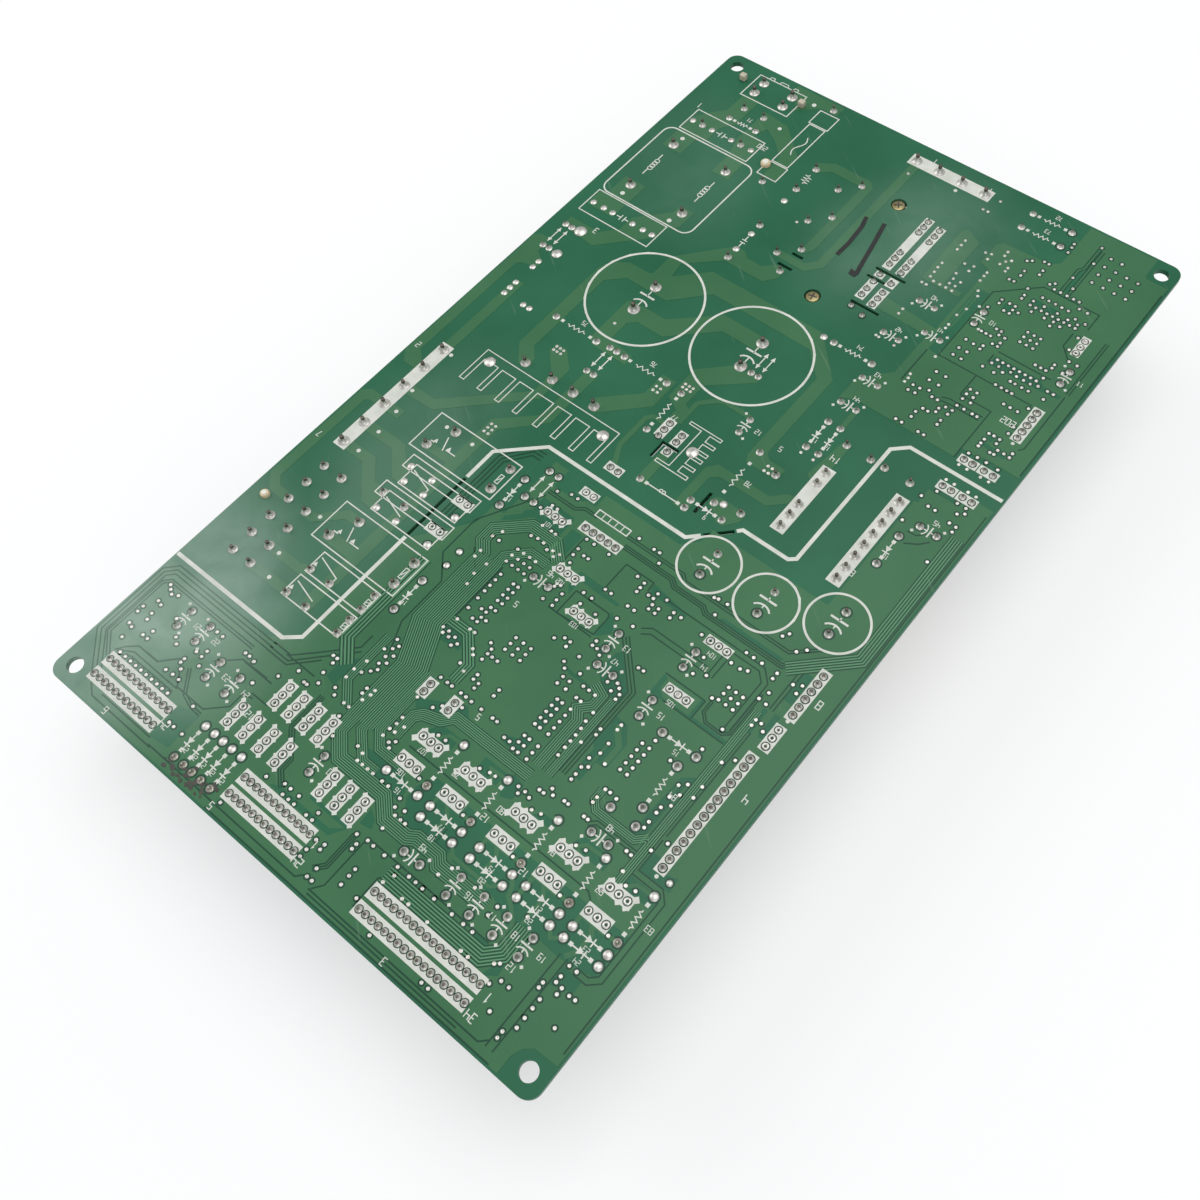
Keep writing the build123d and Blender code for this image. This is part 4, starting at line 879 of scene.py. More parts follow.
    triples_upright: list[Point] = field(default_factory=lambda: (
        [(71.3, 98.4), (72.5, -45.5)]
        + [(x, -108.8) for x in (-28.5, -23.5, -18.3, -13.2)]
        + [(x, -119.2) for x in (-34, -28.4, -22.7, -17)]
        + [(x, -117.8) for x in (-3, 2.1, 7.2)]))
    header_rows: list[tuple[float, float, int]] = field(default_factory=lambda: [
        (-70.6, -48, 12), (-19.9, 2.6, 12), (24, 56.5, 17)])
    side_rows: list[list[Point]] = field(default_factory=lambda: [
        row(73.3, 72, 0, -2.52, 5), row(72.9, -25.4, 0, -2.5, 6), row(71.6, -52.7, 0, -2.485, 14),
        row(-0.5, -28.3, 2.53, 0, 5)])

    def header_pins(self) -> list[Point]:
        """Places of the double-row header pins."""
        found = []
        for first, last, count in self.header_rows:
            pitch = (last - first) / (count - 1)
            found += row(first, -128.5, pitch, 0, count) + row(first, -133.4, pitch, 0, count)
        return found

    def cap_pins(self) -> list[Point]:
        """Places of the small electrolytics' leads."""
        upright = [(x, y + side) for x, y in CAPS_UPRIGHT
                   for side in (self.can_reach, -self.can_reach)]
        level = [(x + side, y) for x, y in CAPS_LEVEL
                 for side in (self.can_reach, -self.can_reach)]
        return upright + level

    def triple_pins(self, centres: list[Point], upright: bool) -> list[Point]:
        """Places of three leads in line.

        Args:
            centres: the middle leads.
            upright: whether the line runs along the board.

        Returns:
            The places.
        """
        step = (0.0, self.lead_pitch) if upright else (self.lead_pitch, 0.0)
        return [(x + step[0] * number, y + step[1] * number)
                for x, y in centres for number in (-1, 0, 1)]

    def chip_parts(self) -> list[Point]:
        """Places of the chip parts beside the drivers and the microcontrollers."""
        found = [(x + dx, y) for x in (18.0, 32.5, 47.0, 62.0) for dx in (0.0, 3.2, 6.4)
                 for y in (-96.0, -99.0)]
        found += [(x, y) for x in (-6.0, -3.0, 20.5, 23.5) for y in range(-72, -55, 3)]
        found += [(x, y) for x in (50.0, 67.5) for y in range(86, 100, 3)]
        found += [(x, -122.0) for x in range(-70, -46, 3)]
        found += [(x, -121.5) for x in range(-19, 4, 3)]
        found += [(x, y) for x in (66.5, 69.0) for y in range(-48, -37, 3)]
        return found

    def pads(self) -> list[tuple[Point, float]]:
        """Centres and radii of the pads that stand in ground areas."""
        found = [(p, 1.25) for p in self.film_leads] + [(p, 1.15) for p in self.axial]
        found += [(p, 1.1) for p in self.cap_pins() + self.fluxed + self.jumpers]
        found += [((x, y), size) for x, y, size in self.flat_pads]
        return found

    def build(self, palette: Palette, repeat: Repeat) -> None:
        """Solder every lead and pad.

        Args:
            palette: the board's materials.
            repeat: the tree that sets copies.
        """
        fillet = (spots(self.mains, 1.75) + spots(self.compressor, 1.8)
                  + spots(self.load, 1.7) + spots(self.choke, 1.65) + spots(self.bulk, 1.85)
                  + spots(self.twelve_way, 1.4)
                  + spots(self.bridge, 1.6, 1.25) + spots(self.transformer, 1.42)
                  + spots(self.module_power, 1.15, 1.2) + spots(self.film_leads, 1.2, 1.2)
                  + spots(self.relay, 1.5) + spots(self.small_relay, 1.2))
        small = (spots([p for p in self.axial if p[1] >= self.harness_edge], 1.15, 0.8)
                 + spots(self.jumpers, 1.1, 0.8) + spots(self.cap_pins(), 1.1, 0.9))
        pins = (spots(self.header_pins(), self.header_radius)
                + spots([p for line in self.side_rows for p in line], 1.0)
                + spots(self.module_signal, 0.95, 1.4) + spots(self.optocoupler, 0.95)
                + spots([(-1.6, -84.6), (-1.6, -87.0), (6.6, -84.6), (6.6, -87.0)], 0.95))
        domes = ([Place(x, y, size) for x, y, size in self.flat_pads]
                 + spots([p for p in self.axial if p[1] < self.harness_edge], 1.1)
                 + spots(self.heatsink_feet, 1.75))
        rings = (spots(self.bar_pairs, 0.98)
                 + spots(self.triple_pins(self.triples_level, False), 0.98)
                 + spots(self.triple_pins(self.triples_upright, True), 0.98)
                 + spots(self.triple_pins(self.triples_bare, False), 0.95, 0.7))
        edges = [Place(p.x, p.y, p.size * self.edge_reach) for p in pins + rings]
        repeat.spread("pad_edges", lathe([(0.0, 0.125), (0.94, 0.125), (1.0, 0.0),
                                          (0.0, 0.0)], 20, "pad_edge"), edges, 0.0,
                      palette["mask_edge_gap"], "board_mask")
        for name, kind, sides, places, level, finish, nodes in (
                ("solder_fillets", JointKind.FILLET, 20, fillet, 0.02, "bright_solder",
                 ("solder_joints",)),
                ("solder_small_fillets", JointKind.FILLET, 16, small, 0.02, "bright_solder", ()),
                ("solder_header_rings", JointKind.HEADER, 16, pins, 0.08, "bright_solder", ()),
                ("solder_domes", JointKind.DOME, 20, domes, 0.04, "bright_solder", ()),
                ("solder_rings", JointKind.RING, 20, rings, 0.10, "bright_solder", ()),
                ("solder_fluxed", JointKind.FILLET, 16, spots(self.fluxed, 1.1, 0.7), 0.02,
                 "dull_solder", ())):
            repeat.spread(name, self.shape(kind, sides), places, level, palette[finish],
                          "solder", *nodes)
        self.lead_ends(palette, repeat, fillet, small, pins)

    @staticmethod
    def shape(kind: JointKind, sides: int) -> bpy.types.Mesh:
        """Joint of unit radius.

        Args:
            kind: how the solder lies.
            sides: steps round it.

        Returns:
            The mesh.
        """
        return lathe(JOINT_PROFILE[kind], sides, kind.value)

    @staticmethod
    def lead_ends(palette: Palette, repeat: Repeat, tall: list[Place], small: list[Place],
                  pins: list[Place]) -> None:
        """Cut ends of the leads, darker than the solder, on top of each joint.

        Args:
            palette: the board's materials.
            repeat: the tree that sets copies.
            tall: the large joints.
            small: the small joints.
            pins: the header joints.
        """
        for name, places, level, wide, base, foot in (
                ("tall", tall, 1.45, 0.33, 0.02, None), ("small", small, 1.45, 0.27, 0.02, None),
                ("pin", pins, 0.86, 0.40, 0.08, -0.1)):
            end = [(0.0, 0.045), (wide * 0.75, 0.035), (wide, -0.02)]
            end += [(0.0, foot)] if foot else [(wide * 1.05, -0.58), (0.0, -0.6)]
            raised = [Place(p.x, p.y, p.size, p.turn) for p in places]
            thing = repeat.spread(f"lead_ends_{name}", lathe(end, 12, "lead_end"), raised, 0.0,
                                  palette["lead_end"], "tinned_copper")
            corners = len(thing.data.vertices) // len(places)
            for index, place in enumerate(places):
                lift = (base + level * place.size * place.height) * MM
                for vertex in range(index * corners, (index + 1) * corners):
                    thing.data.vertices[vertex].co.z += lift


DIGIT_STROKES = {
    "0": [[(0, 0), (2, 0), (2, 4), (0, 4), (0, 0)]], "1": [[(0.4, 3.2), (1, 4), (1, 0)]],
    "2": [[(0, 4), (2, 4), (2, 2), (0, 2), (0, 0), (2, 0)]],
    "3": [[(0, 4), (2, 4), (2, 0), (0, 0)], [(0.6, 2), (2, 2)]],
    "4": [[(0, 4), (0, 2), (2, 2)], [(2, 4), (2, 0)]],
    "5": [[(2, 4), (0, 4), (0, 2), (2, 2), (2, 0), (0, 0)]],
    "6": [[(2, 4), (0, 4), (0, 0), (2, 0), (2, 2), (0, 2)]],
    "7": [[(0, 4), (2, 4), (0.8, 0)]],
    "8": [[(0, 0), (2, 0), (2, 4), (0, 4), (0, 0)], [(0, 2), (2, 2)]],
    "9": [[(2, 2), (0, 2), (0, 4), (2, 4), (2, 0), (0, 0)]],
}


@dataclass
class Legend:
    """White printed lines and symbols on the soldered face."""

    low: float = 0.0
    high: float = 0.115
    line: float = 0.34
    mark: float = 1.0
    thin: float = 0.26

    zigzags: list[tuple[float, float, float, float]] = field(default_factory=lambda: [
        (-61.6, 114.3, -55.4, 114.3), (36.9, 134.3, 45.7, 134.3), (36.9, 127.7, 45.7, 127.7),
        (17.7, 59.6, 26.3, 59.6), (-51.4, 20.3, -41, 20.3), (-26.4, 20.6, -15.4, 20.6),
        (-7.7, 18, -7.7, 7.5), (21.4, 13, 21.4, 2), (15.8, -93.4, 15.8, -101.4),
        (30, -93.4, 30, -101.4), (45.7, -93.4, 45.7, -101.4), (60.1, -93.4, 60.1, -101.4),
        (74.2, -93.4, 74.2, -101.4), (59.2, -66.6, 59.2, -74.8)])
    diodes: list[tuple[float, float, float, float]] = field(default_factory=lambda: [
        (18.2, -5.3, 24, -5.3), (65.3, 15.8, 65.3, 10.2), (30.15, 34.3, 30.15, 28.5),
        (34.15, 34.3, 34.15, 28.5), (-23.3, -28.9, -23.3, -34.5), (-23.6, -67.5, -23.6, -73.3),
        (53.3, -60, 59.1, -60), (7.7, -106.7, 13.6, -106.7), (22.1, -106.7, 27.8, -106.7),
        (22.1, -109.9, 27.8, -109.9), (37.9, -106.8, 43.6, -106.8), (37.9, -110, 43.6, -110),
        (52.2, -106.8, 57.8, -106.8), (52.2, -110, 57.8, -110), (66.3, -107, 72, -107),
        (66.3, -110.1, 72, -110.1), (-37.4, -127.9, -37.4, -133.3), (-34.1, -127.9, -34.1, -133.3),
        (-31, -127.9, -31, -133.3), (-27.8, -127.9, -27.8, -133.3),
        (-24.4, -127.9, -24.4, -133.3)])
    jumpers: list[tuple[float, float, float]] = field(default_factory=lambda: [
        (-75.7, 47.1, 40.8), (-73.3, 47.1, 40.8), (3.4, 45.4, 39.4), (5.8, 45.4, 39.4),
        (-34, 18.8, 12.7), (-31.5, 18.8, 12.7), (-19.7, -22.8, -28.7), (-16.6, -22.8, -28.7)])
    levers: list[list[Point]] = field(default_factory=lambda: [
        [(-49.3, -29.1), (-47.7, -33.3)], [(-49.3, -64.9), (-47.7, -69)],
        [(-49.3, -42.4), (-41.8, -44.7), (-41.8, -46)], [(-49.3, -52.9), (-41.8, -55.2)],
        [(-49.3, -84.7), (-41.8, -86.6)], [(-49.3, -76.2), (-41.8, -78.3), (-41.8, -79.5)],
        [(-52.6, -32.6), (-51.3, -32.6)], [(-47, -32.6), (-43.6, -32.6)],
        [(-52.9, -68.7), (-51.3, -68.7)], [(-47, -68.7), (-43.6, -68.7)]])
    arrows: list[Point] = field(default_factory=lambda: [
        (-51.3, -31.8), (-46.4, -31.8), (-51.3, -67.8), (-46.4, -67.8), (-49.3, -78.4),
        (-49.3, -86.8), (-41.8, -57)])
    coils: list[tuple[float, float, float, float]] = field(default_factory=lambda: [
        (-29.45, -28.35, -29.3, -32.2), (-29.45, -28.35, -65.1, -68.3),
        (-30.8, -29.6, -77.5, -79.1), (-30.8, -29.6, -85.7, -87.3)])
    small_comb: list[Point] = field(default_factory=lambda: [
        (0.5, 14.5), (11.1, 14.5), (11.1, 13.6), (7.6, 13.6), (7.6, 11.4), (11.1, 11.4),
        (11.1, 10.4), (7.6, 10.4), (7.6, 8.3), (11.1, 8.3), (11.1, 7.3), (7.6, 7.3), (7.6, 6),
        (11.1, 6), (11.1, 5), (7.6, 5), (7.6, 2.8), (11.1, 2.8), (11.1, 1.8), (7.6, 1.8),
        (7.6, -0.3), (11.1, -0.3), (11.1, -1.3), (0.5, -1.3), (0.5, -0.3), (4.6, -0.3),
        (4.6, 13.6), (0.5, 13.6)])
    outlines: list[tuple[float, float, float, float]] = field(default_factory=lambda: [
        (-53, -28, -43.2, -38.8), (-50, -29, -47.9, -40.7), (-53, -28, -53.6, -49.1),
        (-50, -29, -58, -51), (-1.1, 9.6, -23.9, -21.9)])
    dots: list[tuple[float, float, float]] = field(default_factory=lambda: [
        (-45.3, 134.6, 0.75), (-47.8, 119.6, 0.65), (-70, 98.3, 0.75), (-70.1, 69.1, 0.75),
        (-51.3, 68.6, 0.75), (-68.7, -8.1, 0.6), (-68.7, -23.7, 0.6), (-67.2, -31.5, 0.6),
        (-66.2, -39.3, 0.6), (-66.1, -47, 0.6), (-58.9, -68, 0.6), (-59.4, -82.1, 0.6),
        (-56.1, -88.5, 0.6), (-52.1, -26.9, 0.6), (-42.5, -26.9, 0.6), (73.3, 59.7, 0.5),
        (72.9, -39.9, 0.5), (71.7, -87.3, 0.5), (11.1, 129, 0.6)])

    numbers: list[tuple[float, float, int, float]] = field(default_factory=lambda: [
        (0, 136.8, 1, 0.5), (20.6, 136, 4, 0.5), (-78.6, -10, 2, 0.45), (-78.6, -48.6, 7, 0.45),
        (60.2, -128.4, 1, 0.55), (60.6, -133.6, 34, 0.5), (5.8, -128.4, 1, 0.5),
        (6.2, -133.6, 24, 0.5), (-44.6, -130.6, 24, 0.5), (-20.6, -137.2, 5, 0.45),
        (37, -137.2, 3, 0.45), (-60, -137.2, 6, 0.45), (77.3, -60, 4, 0.55), (77, -31, 8, 0.55),
        (70.6, 66, 202, 0.5), (48.5, -104, 12, 0.4), (0.6, -55, 5, 0.4), (14, -83, 5, 0.4),
        (33, -100.2, 12, 0.4), (-30, -116.5, 12, 0.4), (60.4, -121, 12, 0.4), (25.6, 22.4, 5, 0.4),
        (40, 28.6, 14, 0.5), (62.5, 3, 8, 0.45), (-66, 53.4, 3, 0.5), (-74.6, 114.5, 1, 0.5),
        (-45.6, 110.6, 250, 0.42)])

    def number(self, ink: Relief, x: float, y: float, value: int, size: float = 0.36) -> None:
        """Plain number that starts at a point and reads towards the left.

        Args:
            ink: the relief that takes it.
            x: start.
            y: start.
            value: the number.
            size: size of a quarter of its height, mm.
        """
        for place, digit in enumerate(str(value)):
            for stroke in DIGIT_STROKES[digit]:
                ink.line([(x - (place * 2.9 + u) * size, y - v * size) for u, v in stroke],
                         size * 0.5)

    def comb(self, ink: Relief) -> None:
        """Outline of the rectifier's finned heatsink."""
        path = [(-61.5, -0.3)]
        for centre in (-60.7, -53.95, -47.25, -40.6, -33.05, -26.5, -19.9, -13.45):
            path += [(centre - 0.8, -3.4), (centre - 0.8, -12.2), (centre + 0.8, -12.2),
                     (centre + 0.8, -3.4)]
        ink.line(path + [(-12.65, -0.3)], 0.28, closed=True)
        ink.line(self.small_comb, self.thin, closed=True)

    def zigzag(self, ink: Relief, x0: float, y0: float, x1: float, y1: float,
               swing: float = 0.6, ends: bool = True) -> None:
        """Resistor symbol between two points, with a square at each end."""
        start, end = Vector((x0, y0)), Vector((x1, y1))
        along = (end - start).normalized()
        across = Vector((-along.y, along.x))
        length = (end - start).length
        first = start + along * length * 0.24
        span = length * 0.52
        path = [tuple(first - along * 0.5), tuple(first)]
        for step in range(6):
            side = swing if step % 2 else -swing
            path.append(tuple(first + along * span * (step + 0.5) / 6 + across * side))
        path += [tuple(first + along * span), tuple(first + along * (span + 0.5))]
        ink.line(path, 0.27)
        for point in (start, end) if ends else ():
            ink.square(point.x, point.y, self.mark)

    def diode(self, ink: Relief, x0: float, y0: float, x1: float, y1: float) -> None:
        """Diode symbol between two points, its bar towards the second."""
        start, end = Vector((x0, y0)), Vector((x1, y1))
        along = (end - start).normalized()
        across = Vector((-along.y, along.x))
        middle = (start + end) / 2
        ink.line([tuple(start), tuple(end)], self.line)
        ink.polygon([tuple(middle - along * 0.8 + across * 0.95),
                     tuple(middle - along * 0.8 - across * 0.95),
                     tuple(middle + along * 0.75)])
        bar = middle + along * 0.95
        ink.line([tuple(bar + across * 1.05), tuple(bar - across * 1.05)], self.line)
        for point in (start, end):
            ink.square(point.x, point.y, self.mark)

    def capacitor(self, ink: Relief, x: float, y: float, upright: bool) -> None:
        """Electrolytic symbol between two leads: a plate and an arc, with corner marks."""
        def at(u: float, v: float) -> Point:
            """Place beside the middle, turned with the symbol."""
            return (x + u, y + v) if upright else (x + v, y - u)

        ink.polygon([at(-1.7, 0.30), at(1.7, 0.30), at(1.7, 0.72), at(-1.7, 0.72)])
        ink.arc(*at(0.0, -2.55), 2.2, 40 if upright else -50, 100, self.line)
        ink.line([at(0.0, 1.35), at(0.0, 0.6)], self.line)
        ink.line([at(0.0, -0.4), at(0.0, -1.3)], self.line)
        ink.square(*at(-2.1, 3.6), 0.75, 45)
        ink.square(*at(2.1, -3.6), 0.75, 45)

    def large_capacitor(self, ink: Relief, x: float, y: float, gap: float) -> None:
        """Symbol inside a can's circle, its plates across the board."""
        ink.box(x - 2.6, x + 2.6, y + gap * 0.16, y + gap * 0.16 + 0.6)
        ink.arc(x, y - gap * 0.16 - 3.3, 3.1, 38, 104, 0.5)
        ink.line([(x, y + gap - 1.9), (x, y + gap * 0.2)], self.line)
        ink.line([(x, y - gap * 0.2), (x, y - gap + 1.9)], self.line)

    def jumper(self, ink: Relief, x: float, y0: float, y1: float) -> None:
        """Wire bridge symbol: a line with an arrow at each end."""
        ink.line([(x, y0), (x, y1)], self.line)
        for tip, way in ((y0, -1), (y1, 1)):
            ink.polygon([(x, tip), (x - 0.7, tip + way * 1.35), (x + 0.7, tip + way * 1.35)])

    def coil(self, ink: Relief, x: float, side: float) -> None:
        """Winding symbol along the board."""
        for turn in range(4):
            ink.ring(x + 0.35 * side, 85.9 - 1.175 * turn, 0.78, self.thin, 14)
        ink.line([(x, 89.1), (x, 86.5)], self.line)
        ink.line([(x, 81.8), (x, 79.1)], self.line)

    def relays(self, ink: Relief) -> None:
        """Levers, arrow heads and coils of the relays."""
        for path in self.levers:
            ink.line(path, self.line)
        for x, y in self.arrows:
            ink.polygon([(x - 0.7, y - 0.6), (x + 0.7, y - 0.6), (x, y + 0.7)])
        for x0, x1, y0, y1 in self.coils:
            ink.line(rect(x0, x1, y0, y1), self.thin, closed=True)
            ink.line([(x0, y1 + 0.5), (x1, y0 - 0.5)], self.thin)

    def chokes(self, ink: Relief) -> None:
        """Rounded box, windings, filter capacitors and fuse of the mains filter."""
        corners = [(-46.25, 97.6, 0), (-74.1, 97.6, 90), (-74.1, 70.0, 180), (-46.25, 70.0, 270)]
        ink.line([point for x, y, start in corners
                  for point in around(x, y, 3.2, range(start, start + 91, 15))], 0.45, closed=True)
        self.coil(ink, -70.5, 1)
        self.coil(ink, -50.0, -1)
        for x, y in ((-60.85, 106.7), (-63.3, 61.0)):
            for side in (-1, 1):
                ink.box(x + side * 0.65 - 0.15, x + side * 0.65 + 0.15, y - 1.1, y + 1.1)
                ink.line([(x + side * 0.7, y), (x + side * 2.2, y)], self.line)
        ink.line([(-38.2 + 0.9 * math.sin(math.tau * step / 18), 121.4 - 9.1 * step / 18)
                  for step in range(19)], 0.35)
        self.zigzag(ink, -28.0, 109.7, -28.0, 103.4, 1.15, False)
        for side in (-1, 1):
            ink.box(-28.9, -27.1, 75.0 + side * 0.55 - 0.15, 75.0 + side * 0.55 + 0.15)
            ink.line([(-28.0, 75.0 + side * 0.6), (-28.0, 75.0 + side * 2.4)], self.line)
        for x, wide in ((-63.3, 0.9), (-58.5, 1.7), (-54.0, 0.9)):
            ink.line([(x - wide, 136.5), (x - wide * 0.7, 137.3), (x + wide * 0.7, 137.3),
                      (x + wide, 136.5)], 0.28)

    def ears(self, ink: Relief, x: float, y: float, half: float, depth: float) -> None:
        """Pointed ears at the two ends of a three-lead bar."""
        for side in (-1, 1):
            ink.square(x + side * (half - 0.2), y + side * (depth - 0.3), 1.5, 45)
            ink.square(x + side * (half - 1.0), y - side * (depth + 0.1), 0.95, 45)
            ink.square(x + side * 0.9, y - side * (depth + 0.1), 0.95, 45)

    def filled_bars(self, ink: Relief) -> None:
        """Ears of the bars at the harness end."""
        for x in (9.0, 22.9, 39.1, 52.9, 67.6):
            self.ears(ink, x, -95.5, 4.1, 1.6)
        for x, y in ((-8.9, -30.6), (4.9, -41.3), (15.6, -48.4)):
            self.ears(ink, x, y, 3.9, 1.2)
        for x in (1.04, 3.18, 5.32, 7.46):
            ink.line([(x, -21.9), (x, -23.9)], self.thin)

    def build(self, palette: Palette, work: SolderWork) -> None:
        """Print every line and symbol.

        Args:
            palette: the board's materials.
            work: the leads that the symbols stand between.
        """
        ink = Relief(self.low, self.high)
        for ends in self.zigzags:
            self.zigzag(ink, *ends)
        for ends in self.diodes:
            self.diode(ink, *ends)
        for x, y in CAPS_UPRIGHT:
            self.capacitor(ink, x, y, True)
        for x, y in CAPS_LEVEL:
            self.capacitor(ink, x, y, False)
        for x, y, gap in ((-37.65, 40.65, 5.0), (-0.3, 42.45, 5.0), (31.75, -17.6, 3.7),
                          (49.9, -17.7, 3.7), (67.25, -11.65, 3.7)):
            self.large_capacitor(ink, x, y, gap)
        for x, y0, y1 in self.jumpers:
            self.jumper(ink, x, y0, y1)
        self.chokes(ink)
        self.relays(ink)
        for x0, x1, y0, y1 in self.outlines:
            ink.line(rect(x0, x1, y0, y1), self.line, closed=True)
        for x, y, radius in self.dots:
            ink.disc(x, y, radius, 14)
        self.filled_bars(ink)
        self.comb(ink)
        for y in (-43.7, -54.0):
            ink.box(-34.4, -28.5, y, y + 3.2)
        for x, y, value, size in self.numbers:
            self.number(ink, x, y, value, size)
        ink.line([(3.3, -8.1), (13.9, -8.1)], self.line)
        for x in (3.3, 13.9):
            ink.square(x, -8.1, self.mark)
        for x in (8.0, 8.9):
            ink.ring(x, -7.8, 0.5, self.thin, 12)
        for places, radius, wide in ((((-37.65, 40.65), (-0.3, 42.45)), 17.47, 0.67),
                                     (((31.75, -17.6), (49.9, -17.7), (67.25, -11.65)),
                                      8.3, 0.62)):
            for x, y in places:
                ink.ring(x, y, radius, wide, 72)
        for x, y in work.triples_upright[2:]:
            for side in (-1, 1):
                ink.square(x - side * 1.2, y + side * 3.7, 1.15, 45)
                ink.square(x - side * 1.45, y - side * 1.1, 0.8, 45)
        for index, (x0, y0, x1, y1) in enumerate(self.zigzags):
            level = abs(y1 - y0) < 1.0
            self.number(ink, (x0 + x1) / 2 + (1.6 if level else 4.6),
                        (y0 + y1) / 2 + (3.6 if level else 0.7), 71 + index)
        for index, (x0, y0, x1, y1) in enumerate(self.diodes):
            self.number(ink, (x0 + x1) / 2 + 1.4, (y0 + y1) / 2 - 1.5, 9 + index, 0.3)
        for index, (x, y) in enumerate(CAPS_UPRIGHT):
            self.number(ink, x + 5.2, y + 1.2, 10 + index)
        for index, (x, y) in enumerate(CAPS_LEVEL):
            self.number(ink, x + 1.5, y + 3.9, 40 + index)
        for index, (x, y) in enumerate(work.triples_level):
            self.number(ink, x + 1.3, y - 2.3, 101 + index, 0.3)
        ink.piece("printed_symbols", palette["print_ink"], "white_print")


